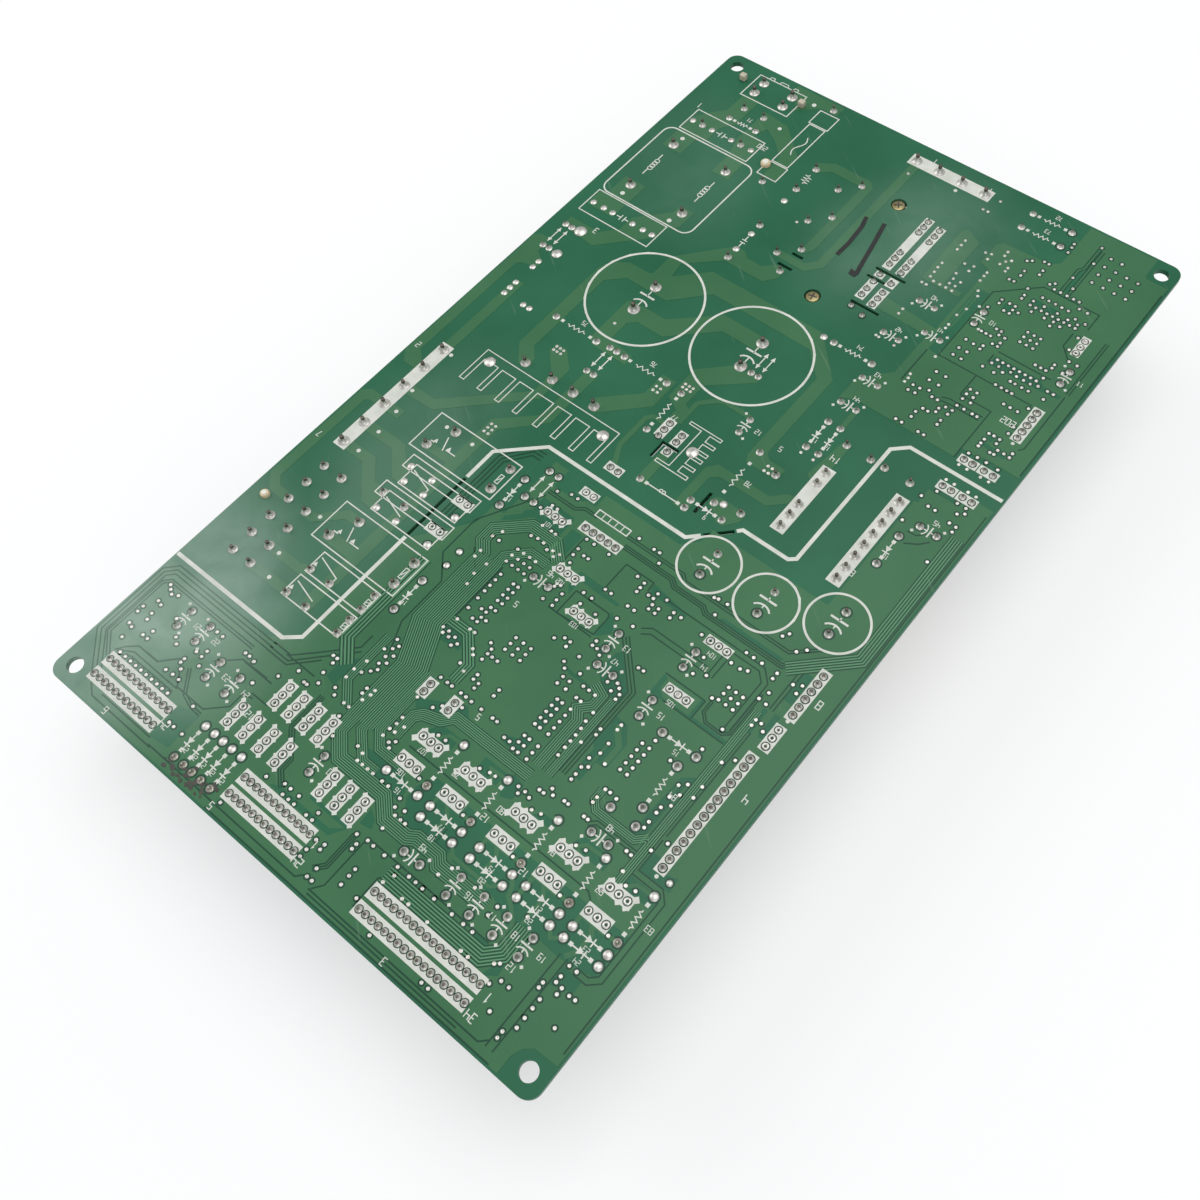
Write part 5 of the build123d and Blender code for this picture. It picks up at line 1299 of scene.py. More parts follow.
@dataclass
class FineCopper:
    """Ground areas, bare patches, tracks, gaps and plated holes on top of the broad tracks."""

    field_high: float = 0.070
    bare_high: float = 0.084
    track_high: float = 0.095
    clearance: float = 0.38
    hairline: float = 1.5
    gap: float = 0.40
    thin_gap: float = 0.36
    hole: float = 0.5
    ribbon_lines: int = 4

    patches: list[list[Point]] = field(default_factory=lambda: [
        rect(-54.5, -44, -33, -35.7), rect(-54.5, -44, -69, -72.4),
        [(-63, -87.2), (-49, -87.2), (-49, -90), (-64, -90)],
        [(-69.5, -37.8), (-57.4, -37.8), (-53.7, -41.1), (-50, -41.2), (-50, -47.8),
         (-52.4, -47.7), (-59.3, -41.1), (-69.5, -41.1)],
        [(-69.5, -45.7), (-60.8, -45.7), (-55.2, -51.3), (-50, -51.4), (-50, -58), (-53.7, -57.9),
         (-62.8, -48.9), (-69.5, -48.9)],
        [(-63.2, -67.8), (-60.4, -67.8), (-53.9, -61.6), (-49, -61.6), (-49, -64.3), (-53, -64.4),
         (-59.9, -70.7), (-64.3, -70.7)],
        [(-63, -80.7), (-52.8, -80.7), (-49, -79.3), (-49, -83.3), (-63.5, -83.4)],
        rect(0, 3, 1.5, -9), rect(33.4, 35, 44, 37),
        [(20.3, -1), (21.5, 0), (29.8, 0), (30.3, -1), (30.3, -2.9), (27.5, -6.6), (25.5, -6.8),
         (22, -4), (20.3, -3.5)]])
    fields: list[list[Point]] = field(default_factory=lambda: [
        [(-36, -59), (-24.5, -44), (-24.5, -17.5), (22, -17.5), (26, -13.5), (26.5, -9),
         (62.5, -9), (62.5, 29.3), (69.5, 29.3), (71, 34.5), (76.5, 38.5), (80.6, 38.5),
         (80.6, -130.6), (74.5, -130.9), (72.5, -132.5), (71.5, -135), (71.5, -139.4),
         (-44, -139.4), (-44, -100), (-36, -96)],
        [(-80.6, -100.5), (-43.6, -100.5), (-43.6, -139.4), (-71, -139.4), (-71, -134.8),
         (-80.6, -125.2)],
        [(51.4, 139.3), (70.5, 139.3), (73.5, 131.2), (80.4, 131.2), (80.4, 51.2), (63.3, 51.2),
         (63.3, 47), (42, 47), (41, 47), (32, 47), (27.7, 45), (27.7, 53.5), (35, 61), (35, 77),
         (18, 77.2), (18, 82), (35.7, 80.5), (35.7, 108), (32.5, 109), (32.5, 117.5), (34, 119.3),
         (49, 120), (51.4, 122.3)],
        [(23, 118), (28.4, 115), (28.4, 96), (34.5, 96), (34.5, 94), (22, 94), (21.5, 116)]])
    bare: list[list[Point]] = field(default_factory=lambda: [
        [(37, 100.3), (41, 100.3), (41, 73.2), (37.9, 73.2), (37.9, 78), (37, 78)],
        rect(51.5, 59.6, 106.3, 104.3), rect(46.3, 48.5, 100, 98),
        [(57.2, 124), (58.4, 122.5), (58.4, 113.2), (57.2, 113.2)],
        [(66.9, 58.3), (69.4, 58.1), (68.2, 56.4), (66.9, 57.6)],
        [(66.9, 56), (70.5, 55.2), (74.6, 54.6), (74, 53.9), (67.2, 54.3)],
        [(54.3, 82.2), (68.6, 82.2), (70, 80.8), (75.6, 80.6), (75.6, 79.3), (69, 78.8),
         (54, 78.6)], rect(-24.4, -20.5, -17.6, -38),
        [(-15.8, -17.6), (-2.6, -17.6), (-2.6, -21.8), (-5.8, -22), (-7.5, -23.5), (-15.8, -23.5)],
        [(-15.4, -27.8), (-5, -27.8), (-4.4, -28.5), (-4.4, -34), (-13.5, -34), (-17.5, -38),
         (-20, -40), (-20, -37), (-15.4, -32.4)],
        [(-3, -30.6), (0.7, -30.6), (0.7, -38.4), (-3, -34.6)],
        [(7, -38.8), (15, -38.8), (15, -40), (21, -40), (21, -41), (8.8, -41), (8.8, -45.6),
         (7, -43.6)],
        [(20.8, -42.6), (24, -45.5), (24.6, -47.6), (22, -50.3), (21.4, -50.3), (21.4, -45)],
        [(24.3, -30.3), (33, -31.6), (36.4, -32), (36.4, -33), (31, -33), (25, -33)],
        rect(-4.4, -2.5, -51.1, -58.4),
        [(-11.2, -70.6), (-3.5, -70.6), (-2.4, -74), (-9.5, -74.6)],
        [(20.6, -60.6), (24, -61.2), (34, -61.2), (34, -62.1), (23.4, -62.1)],
        rect(25, 28, -69.3, -77.4),
        [(21.4, -83.3), (25, -82), (25, -79.8), (28.1, -79.8), (28.1, -85.2), (21.4, -84.7)],
        [(30, -49.6), (33.2, -52.6), (38, -57.4), (38, -60.4), (33.2, -60.6), (30.8, -58.8),
         (28.9, -57.2), (28.9, -51)],
        [(42, -48), (43.4, -48.4), (43.4, -51.4), (45.4, -53), (53.2, -53), (53.2, -47.4),
         (54.4, -47.4), (54.4, -52.6), (64.5, -52.6), (64.5, -53.8), (42, -53.8)],
        [(39.8, -63.5), (43.3, -63.5), (46.4, -67.5), (46.4, -75), (43.4, -75.3), (43.4, -81),
         (40.8, -81), (40.8, -73), (39.8, -72)],
        [(44, -27.4), (62.6, -27.4), (62, -28.6), (43.2, -28.6)],
        [(61.6, -66), (65, -63.5), (65, -84), (61, -84), (61, -77)], rect(68.8, 71.2, -27, -36),
        rect(66.4, 67.7, -40.5, -48), rect(69.4, 71, -40, -47.2),
        [(8, -84), (9.8, -83.2), (13, -86.5), (10.3, -86.8), (7.5, -89.3), (3.8, -89.8),
         (0, -91.5), (-1.4, -90), (-1.2, -88.8)],
        [(8, -90.4), (14.2, -90.4), (14.2, -93.8), (6, -93.8)], rect(22, 28.6, -90, -93.8),
        [(30.2, -88.9), (34, -89.8), (34, -94), (31, -95.2), (30.4, -94)],
        [(-2, -105.4), (10.5, -105.4), (13, -108), (13, -110.4), (2.5, -110)],
        [(16.6, -100.8), (19, -100.8), (19, -104.3), (31, -104.3), (31, -112.8), (21, -112.8),
         (19.5, -114), (17, -112.5), (14, -108.5), (14, -105)], rect(27, 34.9, -101.3, -104.5),
        rect(42.5, 49.1, -101.3, -104.5), rect(56.8, 63.4, -101.3, -104.5),
        rect(71, 75.4, -101.3, -104.5),
        [(31, -104.5), (75.2, -104.5), (75.2, -112.4), (66, -114), (56.5, -113.6), (53, -116),
         (45.5, -113), (33, -113), (31, -110)],
        [(68.2, -114.6), (73.5, -114.6), (73.5, -117.5), (68.2, -119.4)],
        [(67.8, -83.5), (70.1, -83.5), (70.1, -86.8), (76, -84.8), (76.3, -88.5), (67.8, -88.5)],
        [(9.5, -115.5), (12.2, -117), (13.2, -119), (9.8, -119.6)],
        [(-4, -121.6), (9, -121.6), (6, -126.2), (-14, -126.2), (-12, -124.8), (5, -124.8),
         (8, -122.6), (-4, -122.6)],
        [(48.2, -121.2), (53.2, -121.2), (52.4, -122.2), (48.2, -122.2)],
        [(33, -125.6), (52.2, -125.4), (50.5, -126.5), (34, -126.5)],
        [(56, -124.4), (58, -122), (58.3, -125), (55, -127.2)],
        [(40.4, -91.8), (44, -90.8), (46, -93.8), (40, -93.8)],
        [(53.2, -90.2), (61.5, -90.2), (61.5, -93.8), (56, -93.8), (52, -92.4)],
        [(66, -90.6), (75.2, -90.6), (75.2, -93.8), (69, -93.8), (66, -92)],
        [(-47, -126), (-40.5, -125), (-40.5, -135), (-46.5, -135.8)],
        [(-23.8, -94), (-20.4, -90), (-20.4, -99.4), (-23.8, -98.6)]])
    tracks: list[tuple[float, list[Point]]] = field(default_factory=lambda: [
        (0.5, [(37.7, 99.4), (37.7, 82.4)]), (0.5, [(38.7, 97.6), (38.7, 84), (37.9, 83)]),
        (1.5, [(42.2, -64.5), (42.2, -66), (45.3, -69), (45.3, -74.3)]),
        (0.5, [(42.8, -69.9), (42.8, -77.2)]), (1, [(69.1, 101), (69.1, 96)]),
        (0.9, [(-1.9, -40.3), (-3.5, -38), (-3.5, -28.6)]),
        (0.9, [(27.5, -93.9), (25, -91.4), (30, -91.1)]),
        (0.9, [(9.2, -94), (11.5, -91.4), (15.8, -91.1)]),
        (0.9, [(39.2, -94), (41.5, -91.5), (45.8, -91.2)]),
        (0.9, [(52.8, -93.4), (54.8, -91.4), (60.1, -91.2)]),
        (0.9, [(67.6, -93.4), (69.6, -91.4), (74.2, -91.2)]),
        (0.9, [(13.2, -103.5), (15.8, -103.7)]), (0.9, [(27.5, -103.6), (30, -103.7)]),
        (0.9, [(43.2, -103.7), (45.7, -103.7)]), (0.9, [(57.4, -103.7), (60.1, -103.7)]),
        (0.9, [(71.6, -103.8), (74.2, -103.7)]), (1, [(22.8, -104), (25, -106.3), (25, -110)]),
        (1, [(38.7, -104), (40.2, -106), (40.2, -110)]),
        (1, [(52.9, -104), (55, -106.6), (55, -113.6)]),
        (1.2, [(67.2, -104), (68.6, -106), (68.6, -110.4), (66.9, -113)]),
        (0.9, [(20, -106.7), (20, -104)]), (1, [(35.7, -106.8), (35.7, -104)]),
        (1.2, [(50, -110), (50, -104)]), (1.1, [(64.1, -107), (64.1, -104)]),
        (0.9, [(30, -109.9), (32.4, -112), (43.5, -112), (45.6, -110)]),
        (1, [(45.8, -106.8), (47.5, -108.5), (48.5, -111), (50.5, -112.2), (53.2, -114.8),
         (53.4, -116)]), (0.9, [(60, -110), (61.8, -111.9), (63.9, -110.4)]),
        (0.5, [(64, -66.4), (64, -84)]), (0.5, [(62.3, -67.8), (62.3, -71.3)]),
        (0.6, [(68.3, -44.1), (68.3, -40.2)]), (0.8, [(-17.2, -20), (-17.2, -35), (-21, -38.6)])])
    ribbons: list[tuple[list[Point], int, float]] = field(default_factory=lambda: [
        ([(-14.4, -50), (-14.4, -72.5), (-8.6, -84), (-8.6, -102)], 14, 0.62),
        ([(0.5, -40.2), (-4, -36.2), (-12, -36.2), (-19.6, -43), (-19.6, -47), (-16.88, -49.8),
         (-16.88, -50.2)], 6, 0.62),
        ([(-10.7, -102), (-10.7, -106.6), (-5.6, -111.4), (9.4, -111.4), (13.8, -115.3),
         (20.8, -115.3), (22.8, -114), (29.5, -114), (31.2, -115.6), (46, -115.6)], 7, 0.55),
        ([(-6.6, -102), (-6.6, -103.2), (-0.6, -108.6), (4, -108.6)], 5, 0.52),
        ([(-3, -82), (-3, -100.5), (0.4, -104), (9, -104)], 5, 0.52),
        ([(-1, -42.6), (-7, -42.6), (-11.8, -47.4), (-11.8, -50)], 5, 0.58)])
    bundles: list[tuple[list[Point], int, float]] = field(default_factory=lambda: [
        ([(-18.9, -46.5), (-18.9, -50), (-14.6, -54.2), (-14.6, -60)], 3, 0.7),
        ([(-10, -68.9), (-4, -68.9), (2.2, -75.2), (2.2, -80.6)], 4, 0.75),
        ([(33.5, -87.2), (9.6, -87.2), (7, -90), (2.5, -91.4), (0.9, -93.2), (0.9, -99.4)],
         6, 0.52), ([(-19, -81.5), (-19, -96), (-14, -101)], 4, 0.6),
        ([(9.8, -23.8), (28.4, -23.8), (30, -25.2), (62.5, -25.2), (68.8, -19.6)], 2, 0.75),
        ([(11, -26.6), (27, -26.6), (28.8, -28), (38, -28), (39.7, -29.2), (63.2, -29.2),
         (74.8, -19)], 3, 0.62), ([(-15.8, -25.6), (-6.7, -25.6), (-4.3, -24), (0, -24)], 2, 0.75),
        ([(30, -42.6), (32.2, -41), (49.5, -41)], 2, 1.6),
        ([(28, -46), (38.8, -56.6), (38.8, -82)], 3, 0.85),
        ([(30.2, -60.2), (33.6, -61.6), (33.6, -65), (31, -67.6), (33, -70), (33, -84.4)],
         5, 0.58), ([(36.6, -60.6), (36.6, -84.4)], 4, 0.55),
        ([(62.7, -50), (62.7, -35.4), (60, -32.8), (52, -32.8)], 2, 1.5),
        ([(55.6, -46.6), (55.6, -50), (57.6, -51.9), (62.5, -51.9), (63.9, -50.6), (63.9, -38)],
         2, 0.6), ([(51, -33.8), (51, -42)], 2, 1.5), ([(65.8, -42), (65.8, -97)], 4, 0.55),
        ([(68.1, -26), (68.1, -40)], 2, 1), ([(67.2, -47.5), (67.2, -79)], 2, 1.1),
        ([(49.1, -79.4), (49.1, -82.2), (51, -84), (62.4, -84), (64.8, -81.6)], 4, 0.5),
        ([(66.9, -80), (66.9, -89.4), (74.4, -89.4), (76.4, -91.4), (76.4, -112), (74.3, -113.9),
         (70.8, -113.9)], 2, 1.5),
        ([(51.5, -87.6), (53.2, -86.1), (65.4, -86.1), (66.2, -87.2)], 2, 0.9),
        ([(56, -113.8), (56, -120.8), (52.6, -124.2), (23, -124.2)], 6, 0.72),
        ([(66.9, -113), (66.9, -137)], 2, 2),
        ([(77.7, 26), (77.7, -16.5), (64.4, -29.2)], 5, 0.72),
        ([(11, -122), (11, -131.2), (8.8, -133.6)], 3, 0.6),
        ([(-40, -101.5), (-76.8, -101.5), (-79.3, -104), (-79.3, -124.4), (-70.6, -132.9)],
         3, 1.15),
        ([(-44, -104.6), (-75.6, -104.6), (-77.2, -106.2), (-77.2, -123.6), (-72, -128.2)],
         2, 0.8), ([(-51, -124.2), (-67, -124.2), (-71, -126.4)], 2, 1.2),
        ([(-52.5, -118), (-48, -123.4), (-44, -124.6), (-40.8, -124.6)], 2, 0.7),
        ([(56.7, 112.9), (56.7, 122.8), (57.7, 124.2), (57.7, 133.5)], 2, 0.9),
        ([(59, 133), (59, 113)], 2, 0.9), ([(76.7, 103.7), (76.7, 82)], 2, 0.8),
        ([(26.5, -108.2), (26.5, -112.4)], 2, 0.8),
        ([(-20.4, -103), (-20.4, -113), (-14.6, -119), (-14.6, -122), (-11, -125)], 3, 0.65),
        ([(-24, -18.5), (-27.5, -18.5), (-33, -25.5), (-33, -48)], 3, 1.2),
        ([(-27.5, -60), (-27.5, -88), (-22, -93.5)], 4, 0.9)])
    gap_lines: list[list[Point]] = field(default_factory=lambda: [
        [(-41, -100.2), (-35, -100.2), (-30, -95.5), (-22.5, -88), (-22.5, -84)],
        [(-41, -101.7), (-34.4, -101.7), (-29, -96.3), (-21.5, -88.8)],
        [(-41, -102.7), (-34, -102.7), (-27.8, -96.5)],
        [(-51.5, -123.2), (-41.4, -123.2), (-36.6, -118.7), (-36.6, -114.6), (-33.8, -113.9)],
        [(-49.2, -113.1), (-43.7, -108.3), (-35, -108.1)], [(-56.3, -117.6), (-50.7, -123.6)],
        [(-64, -121.7), (-60.4, -121.7), (-56.4, -117.6)],
        [(-15.5, -27), (-25.3, -43.8), (-25.3, -56), (-19.6, -62.4), (-19.6, -76.7),
         (-15.5, -85.5)], [(41.3, 73), (41.3, 101.5), (52, 111.5), (69.8, 111.5), (69.8, 105)],
        [(41, 73.3), (71, 73.3)], [(53.5, 73), (53.5, 65.2)],
        [(53.5, 65.2), (63.2, 65.2), (63.2, 47)], [(50, 61.5), (52, 62.3), (62.5, 62.3)],
        [(50.5, 60.4), (53, 60.7), (62, 60.7)], [(37.8, 73), (37.8, 60)],
        [(67.2, 101.5), (67.2, 96.2), (71, 92.3)], [(53.5, 82.3), (53.5, 79)],
        [(54, 83.9), (70.5, 83.9)], [(76.6, 81), (76.6, 60), (75.6, 58.6)],
        [(15, -30.2), (15, -40)], [(15, -30.2), (24, -30.2), (24.3, -33)],
        [(1.3, -31), (1.3, -39.5)],
        [(9.8, -43.7), (20.6, -43.7), (21.2, -44.8), (21.2, -50.4), (9.8, -51.4), (9.8, -43.7)],
        [(7, -51.3), (21.2, -51.3)], [(30, -32), (52, -32)],
        [(42, -47.6), (54.2, -47.6), (54.2, -53.3)], [(46, -53.6), (64.4, -53.6)],
        [(-9.7, -50), (-9.7, -69)], [(5.5, -99.1), (61.8, -99.1), (63.6, -100.4)],
        [(14, -120.8), (33, -120.8), (52, -121)], [(11.5, -137.3), (64, -137.3), (65.9, -135.5)],
        [(-45, -137.3), (7, -137.3), (9, -135.2)], [(-22, -139.2), (69, -139.2)],
        [(-36, -100.6), (-26, -100.6)], [(-43, -108.4), (-33, -108.4)],
        [(-35, -113), (-29.5, -113)], [(13.9, -122), (13.9, -134.5), (12, -137)],
        [(80.2, 128), (80.2, 52)], [(80, 36), (80, -128)],
        [(66.2, 20.6), (68.8, 20.8), (70.4, 22.6)], [(67.4, 17), (70.6, 19), (72.6, 21.2)],
        [(-60.2, -121.8), (-67.5, -121.8), (-70.2, -124), (-71.8, -126.2)],
        [(-46, -135.9), (-64.5, -135.9)], [(-44, -137.6), (-66.3, -137.6), (-69.4, -135.4)],
        [(22.4, -134), (22.4, -126), (24.9, -123.4)], [(58.5, -138.2), (12, -138.2)]])
    hairlines: list[list[Point]] = field(default_factory=lambda: [
        [(-33.5, 50.6), (-26.5, 57.8), (5.5, 57.8)],
        [(-2.1, 12), (-2.1, 20.3), (1.8, 24.2), (3.8, 25.1), (12, 25.1), (13, 23.6)],
        [(-5.2, 9.7), (-9, 9.7), (-10.3, 8), (-10.3, -3), (-7.5, -8.4)]])
    grids: list[tuple[float, float, float, float, int, int]] = field(default_factory=lambda: [
        (56.9, 94.6, 2.05, -2.1, 3, 3), (6.5, -62.7, 2.5, -2, 3, 3), (56.5, -41.4, 2.15, -2, 3, 3),
        (62, 128.2, 3.55, -3.6, 4, 3), (-46.5, 12.2, 1.3, -1.4, 3, 2),
        (-43, -18.7, 1.5, -1.5, 2, 3), (-14.8, 18.1, 1.5, -1.5, 2, 2),
        (-8.8, 23.5, 1.35, -1.3, 3, 2), (25.8, 15.3, 1.4, -1.8, 2, 2),
        (-10.3, -43.7, 2.05, -2.2, 4, 3), (-4.3, -51.9, 1.6, -1.97, 2, 4),
        (-8.8, -51.8, 1, -2, 1, 4), (25.6, -68.8, 1.6, -2, 2, 5), (29.9, -68.8, 1, -2, 1, 5),
        (25.6, -80.5, 1.6, -2.05, 2, 3), (30, -80.6, 1, -2, 1, 3), (49.1, -65, 2.1, -2.03, 2, 5),
        (52.3, 103.5, 1.8, -2, 9, 1), (55.3, 81.3, 1.75, -2, 8, 1), (53.7, 107.9, 2.08, 1, 5, 1),
        (-70.1, -125.8, 2.05, 1, 10, 1), (44.1, 68, 3, -3.6, 2, 2), (44.5, 78.7, 2.6, -3, 2, 2),
        (54.8, 68.3, 2.1, -1.95, 2, 2)])
    holes: list[Point] = field(default_factory=lambda: [
        (-74.9, -105.5), (-73.8, -106.4), (-72.5, -107.2), (-70.8, -106.4), (-73.8, -110.5),
        (-72.3, -110.9), (-75.7, -113.9), (-75.7, -115.7), (-72.3, -113.9), (-71.9, -115.7),
        (-74.8, -119.1), (-73.4, -119.5), (-69.3, -119.2), (-67.5, -119.2), (-73.1, -122.8),
        (-60.4, -115.7), (-55.6, -118.3), (-54.1, -119.5), (-37, -111.1), (-41, -107), (62, 132),
        (65.5, 132), (-38.7, 28.4), (-19.9, 90.6), (-4.3, 126.7), (21.9, 127.3), (23.6, 127.3),
        (24.4, 133), (30.15, 24), (34.15, 24), (-13.9, -24.3), (-10.2, -22.8), (-8, -22.8),
        (12.7, -22.4), (17.8, -22.6), (19.6, -22.5), (21.4, -25), (-12, -28.4), (-10.2, -28.4),
        (-14.1, -30.7), (2, -30.7), (4.5, -30.7), (9.5, -30.7), (2.1, -34.2), (2.2, -36.3),
        (4.6, -34.9), (6.1, -34.9), (3.1, -38.6), (-5.5, -34.5), (-7, -34.4), (-10, -34.5),
        (-10.3, -38.6), (-8.3, -38.2), (-6.2, -38.3), (-4.2, -39.3), (-2.7, -38.6), (-0.6, -38.4),
        (-1.5, -39.8), (15.4, -39), (17.3, -39), (22.9, -39.2), (25, -39.2), (19.5, -31.2),
        (22.1, -31.7), (22.1, -33.3), (22.1, -34.7), (26.8, -32), (29.7, -32), (25.1, -33.7),
        (26.7, -33.7), (27.6, -35.2), (29.6, -35.2), (27.6, -36.7), (29.6, -36.7), (11.6, -43),
        (14.3, -43), (27.6, -42.8), (23, -43.5), (-17.1, -42.2), (-18.3, -44.7), (-16, -44.7),
        (5.6, -45), (4.5, -46.1), (7.5, -46.6), (7.5, -48.7), (7.7, -50.5), (4.5, -50.5),
        (13, -45.9), (18, -45.9), (-17.8, -49.8), (-17.8, -51.9), (-13.8, -51.8), (-14.5, -55.7),
        (-13.8, -59), (-8.8, -60.3), (-8.8, -63.8), (-8.8, -67.8), (-4.3, -60.3), (-2.7, -60.3),
        (-4.3, -62), (-5.9, -62), (-4.3, -63.8), (-2.7, -63.8), (-5.9, -65.3), (-4.3, -65.3),
        (-4.3, -67.9), (-2.7, -67.9), (2.5, -67.5), (3.8, -68.7), (3.9, -70.2), (5.4, -70.2),
        (7.2, -70.2), (3.8, -72.1), (0, -71.4), (1.2, -72.6), (-10.1, -71.5), (-8.1, -71.5),
        (-5.7, -71.8), (-9.1, -72.7), (-7.1, -72.7), (-4, -72.8), (-5, -74), (0.2, -76.1),
        (2.4, -77.2), (5.8, -75.8), (5.8, -77.3), (7.6, -77.4), (7.6, -78.9), (12.8, -75.6),
        (12.8, -77.5), (16.2, -55.4), (18, -55.4), (14.1, -57), (18, -57), (22.4, -57.1),
        (20.3, -60.3), (21.6, -61.6), (25.6, -60.4), (22.8, -63.5), (24.9, -63.5), (22.8, -65.6),
        (25.5, -65.6), (28.4, -62.4), (30.2, -62.4), (32.2, -62.5), (29, -65.7), (30.5, -65.8),
        (23, -51.3), (23, -52.8), (24.5, -52.8), (26.1, -53.8), (38.7, -24.3), (39.8, -24),
        (42.5, -23.8), (58.6, -22.6), (59.6, -21.1), (63.8, -24), (65.6, -22.1), (41.8, -28),
        (54.3, -31.5), (56.5, -31.5), (59, -31.5), (63.5, -31.4), (63.5, -33.2), (68.3, -31.5),
        (70.3, -30.4), (70.3, -32.9), (33.3, -33.7), (35.6, -33.7), (33.4, -35.4), (42.6, -34.3),
        (57.5, -35.2), (55.7, -35.9), (53, -35.9), (65, -36.7), (64, -39.3), (66.2, -39.5),
        (46.8, -38.8), (50.3, -42.2), (47.4, -43.8), (55, -46), (66.7, -44.1), (68.3, -44.1),
        (66.7, -45.8), (69.8, -45.5), (35.9, -50.6), (37.4, -50.5), (61.9, -50.8), (69, -55.1),
        (66.8, -57.4), (34.5, -56.8), (35.7, -57.6), (36.8, -58.8), (34.5, -59.3), (36.8, -60.3),
        (32.3, -58), (61.2, -57.6), (51.1, -62.6), (57, -64.3), (42.2, -64.5), (42.2, -66),
        (45.4, -74.3), (42.8, -69.9), (42.8, -72.9), (41.5, -75.4), (41.5, -78.2), (42.8, -77.2),
        (41.6, -80.3), (41.6, -81.9), (34.8, -66.2), (34.8, -68.9), (35.1, -71), (35.2, -73),
        (35.2, -74.9), (35.2, -76.9), (35.2, -79.3), (37.4, -73.6), (38.9, -68.3), (39, -70),
        (63.9, -66.4), (64, -69.5), (64, -72.7), (62.3, -67.8), (62.4, -71.3), (62.4, -74.4),
        (62.4, -76), (62.4, -78.7), (62.4, -80.4), (66.9, -64.8), (66.9, -68.1), (49.5, -78.9),
        (50.9, -78.8), (53, -79.1), (69, -80), (-16.8, -81), (-15.1, -82.1), (-15.9, -83.5),
        (-17.5, -84.8), (-14.3, -84.8), (-15.8, -86.1), (-14.3, -87.2), (-15.8, -88.4),
        (-18.6, -89.8), (-14.8, -89.8), (-15.9, -91.1), (-17.5, -92.7), (-19.6, -93.2),
        (-11.3, -94.1), (-11.3, -95.6), (-13.3, -96.5), (-13.3, -94.9), (-12, -97.7),
        (-19.6, -95.9), (-19.7, -99.5), (-15, -101), (-13.3, -101), (-18.4, -101), (-13.4, -104.1),
        (-10.9, -108.6), (-0.9, -81.8), (1.3, -81.8), (2.9, -81.8), (5.9, -81.8), (7.6, -81.8),
        (9.5, -81.9), (12.8, -81.9), (16.5, -81.9), (18, -81.9), (22.1, -83.8), (23.8, -83.8),
        (8.8, -84.4), (4.7, -87), (3.1, -88.7), (-1.8, -89), (-0.9, -95), (-0.9, -97),
        (1.2, -96.5), (-1.3, -98.9), (0.3, -98.8), (-1.4, -101.1), (1, -101.5), (2.2, -100.4),
        (2.1, -102.5), (9.2, -93), (11.5, -92.9), (22.8, -93), (25.4, -92.3), (27, -92.2),
        (-4.2, -106.7), (-2, -107.3), (-1.7, -109.3), (0, -109.3), (1.8, -109.3), (3.6, -109.3),
        (6.7, -109.3), (8.7, -109.3), (13.2, -103.5), (27.5, -103.6), (13, -109.7), (13.6, -111.9),
        (16.1, -111.2), (15, -113.3), (16.8, -113.3), (18.3, -113.3), (14.9, -117.2), (32.6, -117),
        (14.3, -121.3), (16.2, -121.4), (19.8, -121.4), (24.1, -121.4), (27.7, -121.4),
        (29.8, -121.4), (32, -121.5), (-11.1, -123.8), (-9.1, -123.8), (-6.2, -123.8),
        (0.4, -123.8), (-9.6, -125.9), (-7.6, -125.9), (-5.7, -125.9), (-1.5, -125.9),
        (0.5, -125.9), (-16, -125.3), (11.2, -121.8), (12.8, -123.5), (12.8, -124.9),
        (24.9, -123.3), (23.9, -125.9), (30, -125.9), (32, -125.9), (4.7, -128.5), (7.1, -128.1),
        (7.1, -129.5), (16.8, -127.7), (16.8, -129.6), (16.8, -132.1), (21.8, -132.1),
        (4.6, -131.4), (4.6, -133.4), (9.7, -133), (9.3, -135.6), (10.9, -135.6), (-19.8, -136.2),
        (30, -136), (49.2, -81.5), (49.2, -83), (67, -83.5), (39.6, -86.3), (40.8, -87.4),
        (37.4, -88.3), (38.7, -88.3), (43.8, -86.8), (45, -86.8), (49.8, -86.8), (51, -86.8),
        (62.7, -87), (64.1, -87.1), (33, -90.7), (34, -92), (35.1, -90.7), (36.8, -91.2),
        (65, -91), (39.2, -93), (41.6, -92.4), (52.8, -93), (55.3, -92.5), (67.6, -93.1),
        (70.1, -92.7), (43.2, -103.7), (57.4, -103.7), (71.6, -103.8), (54.9, -111.6),
        (34.1, -114.1), (41.2, -114.1), (48.1, -114.1), (47.7, -116.7), (35.7, -121.5),
        (41.2, -121.5), (44.7, -121.5), (47.5, -121.5), (38.1, -126.1), (48.3, -126), (50.4, -126),
        (56.9, -122.7), (55.9, -123.5), (59.6, -125.2), (61.8, -125.2), (66.9, -121.2),
        (66.9, -119.9), (68.7, -122.9), (68.7, -125.2), (68.7, -127.7), (68.7, -130.2),
        (66.8, -132.6), (66.8, -134.2), (75.1, -125.3), (61.9, -131.3), (57.9, -127.2),
        (69.1, -113.8), (71.2, -113.8), (69.1, -116.6), (69.1, -118.1), (70.9, -118.3),
        (70.9, -119.9), (73.2, -118.5), (74.8, -118.4), (46.2, -136.1), (48.2, -136.1),
        (-44.5, -106.7), (-43, -106.7), (-41.1, -107.1), (-33.2, -106), (-26.9, -103.2),
        (-25.9, -103.2), (-30.2, -101.9), (-23.9, -101.2), (-26.4, -93.8), (-25, -93.8),
        (-25, -95.3), (-25, -98.5), (-36.9, -111.1), (-54.7, -107.2), (-52.6, -107.2),
        (-52.6, -112.3), (-54.7, -114), (-52.6, -114.1), (-51.1, -116.2), (-55.6, -117.1),
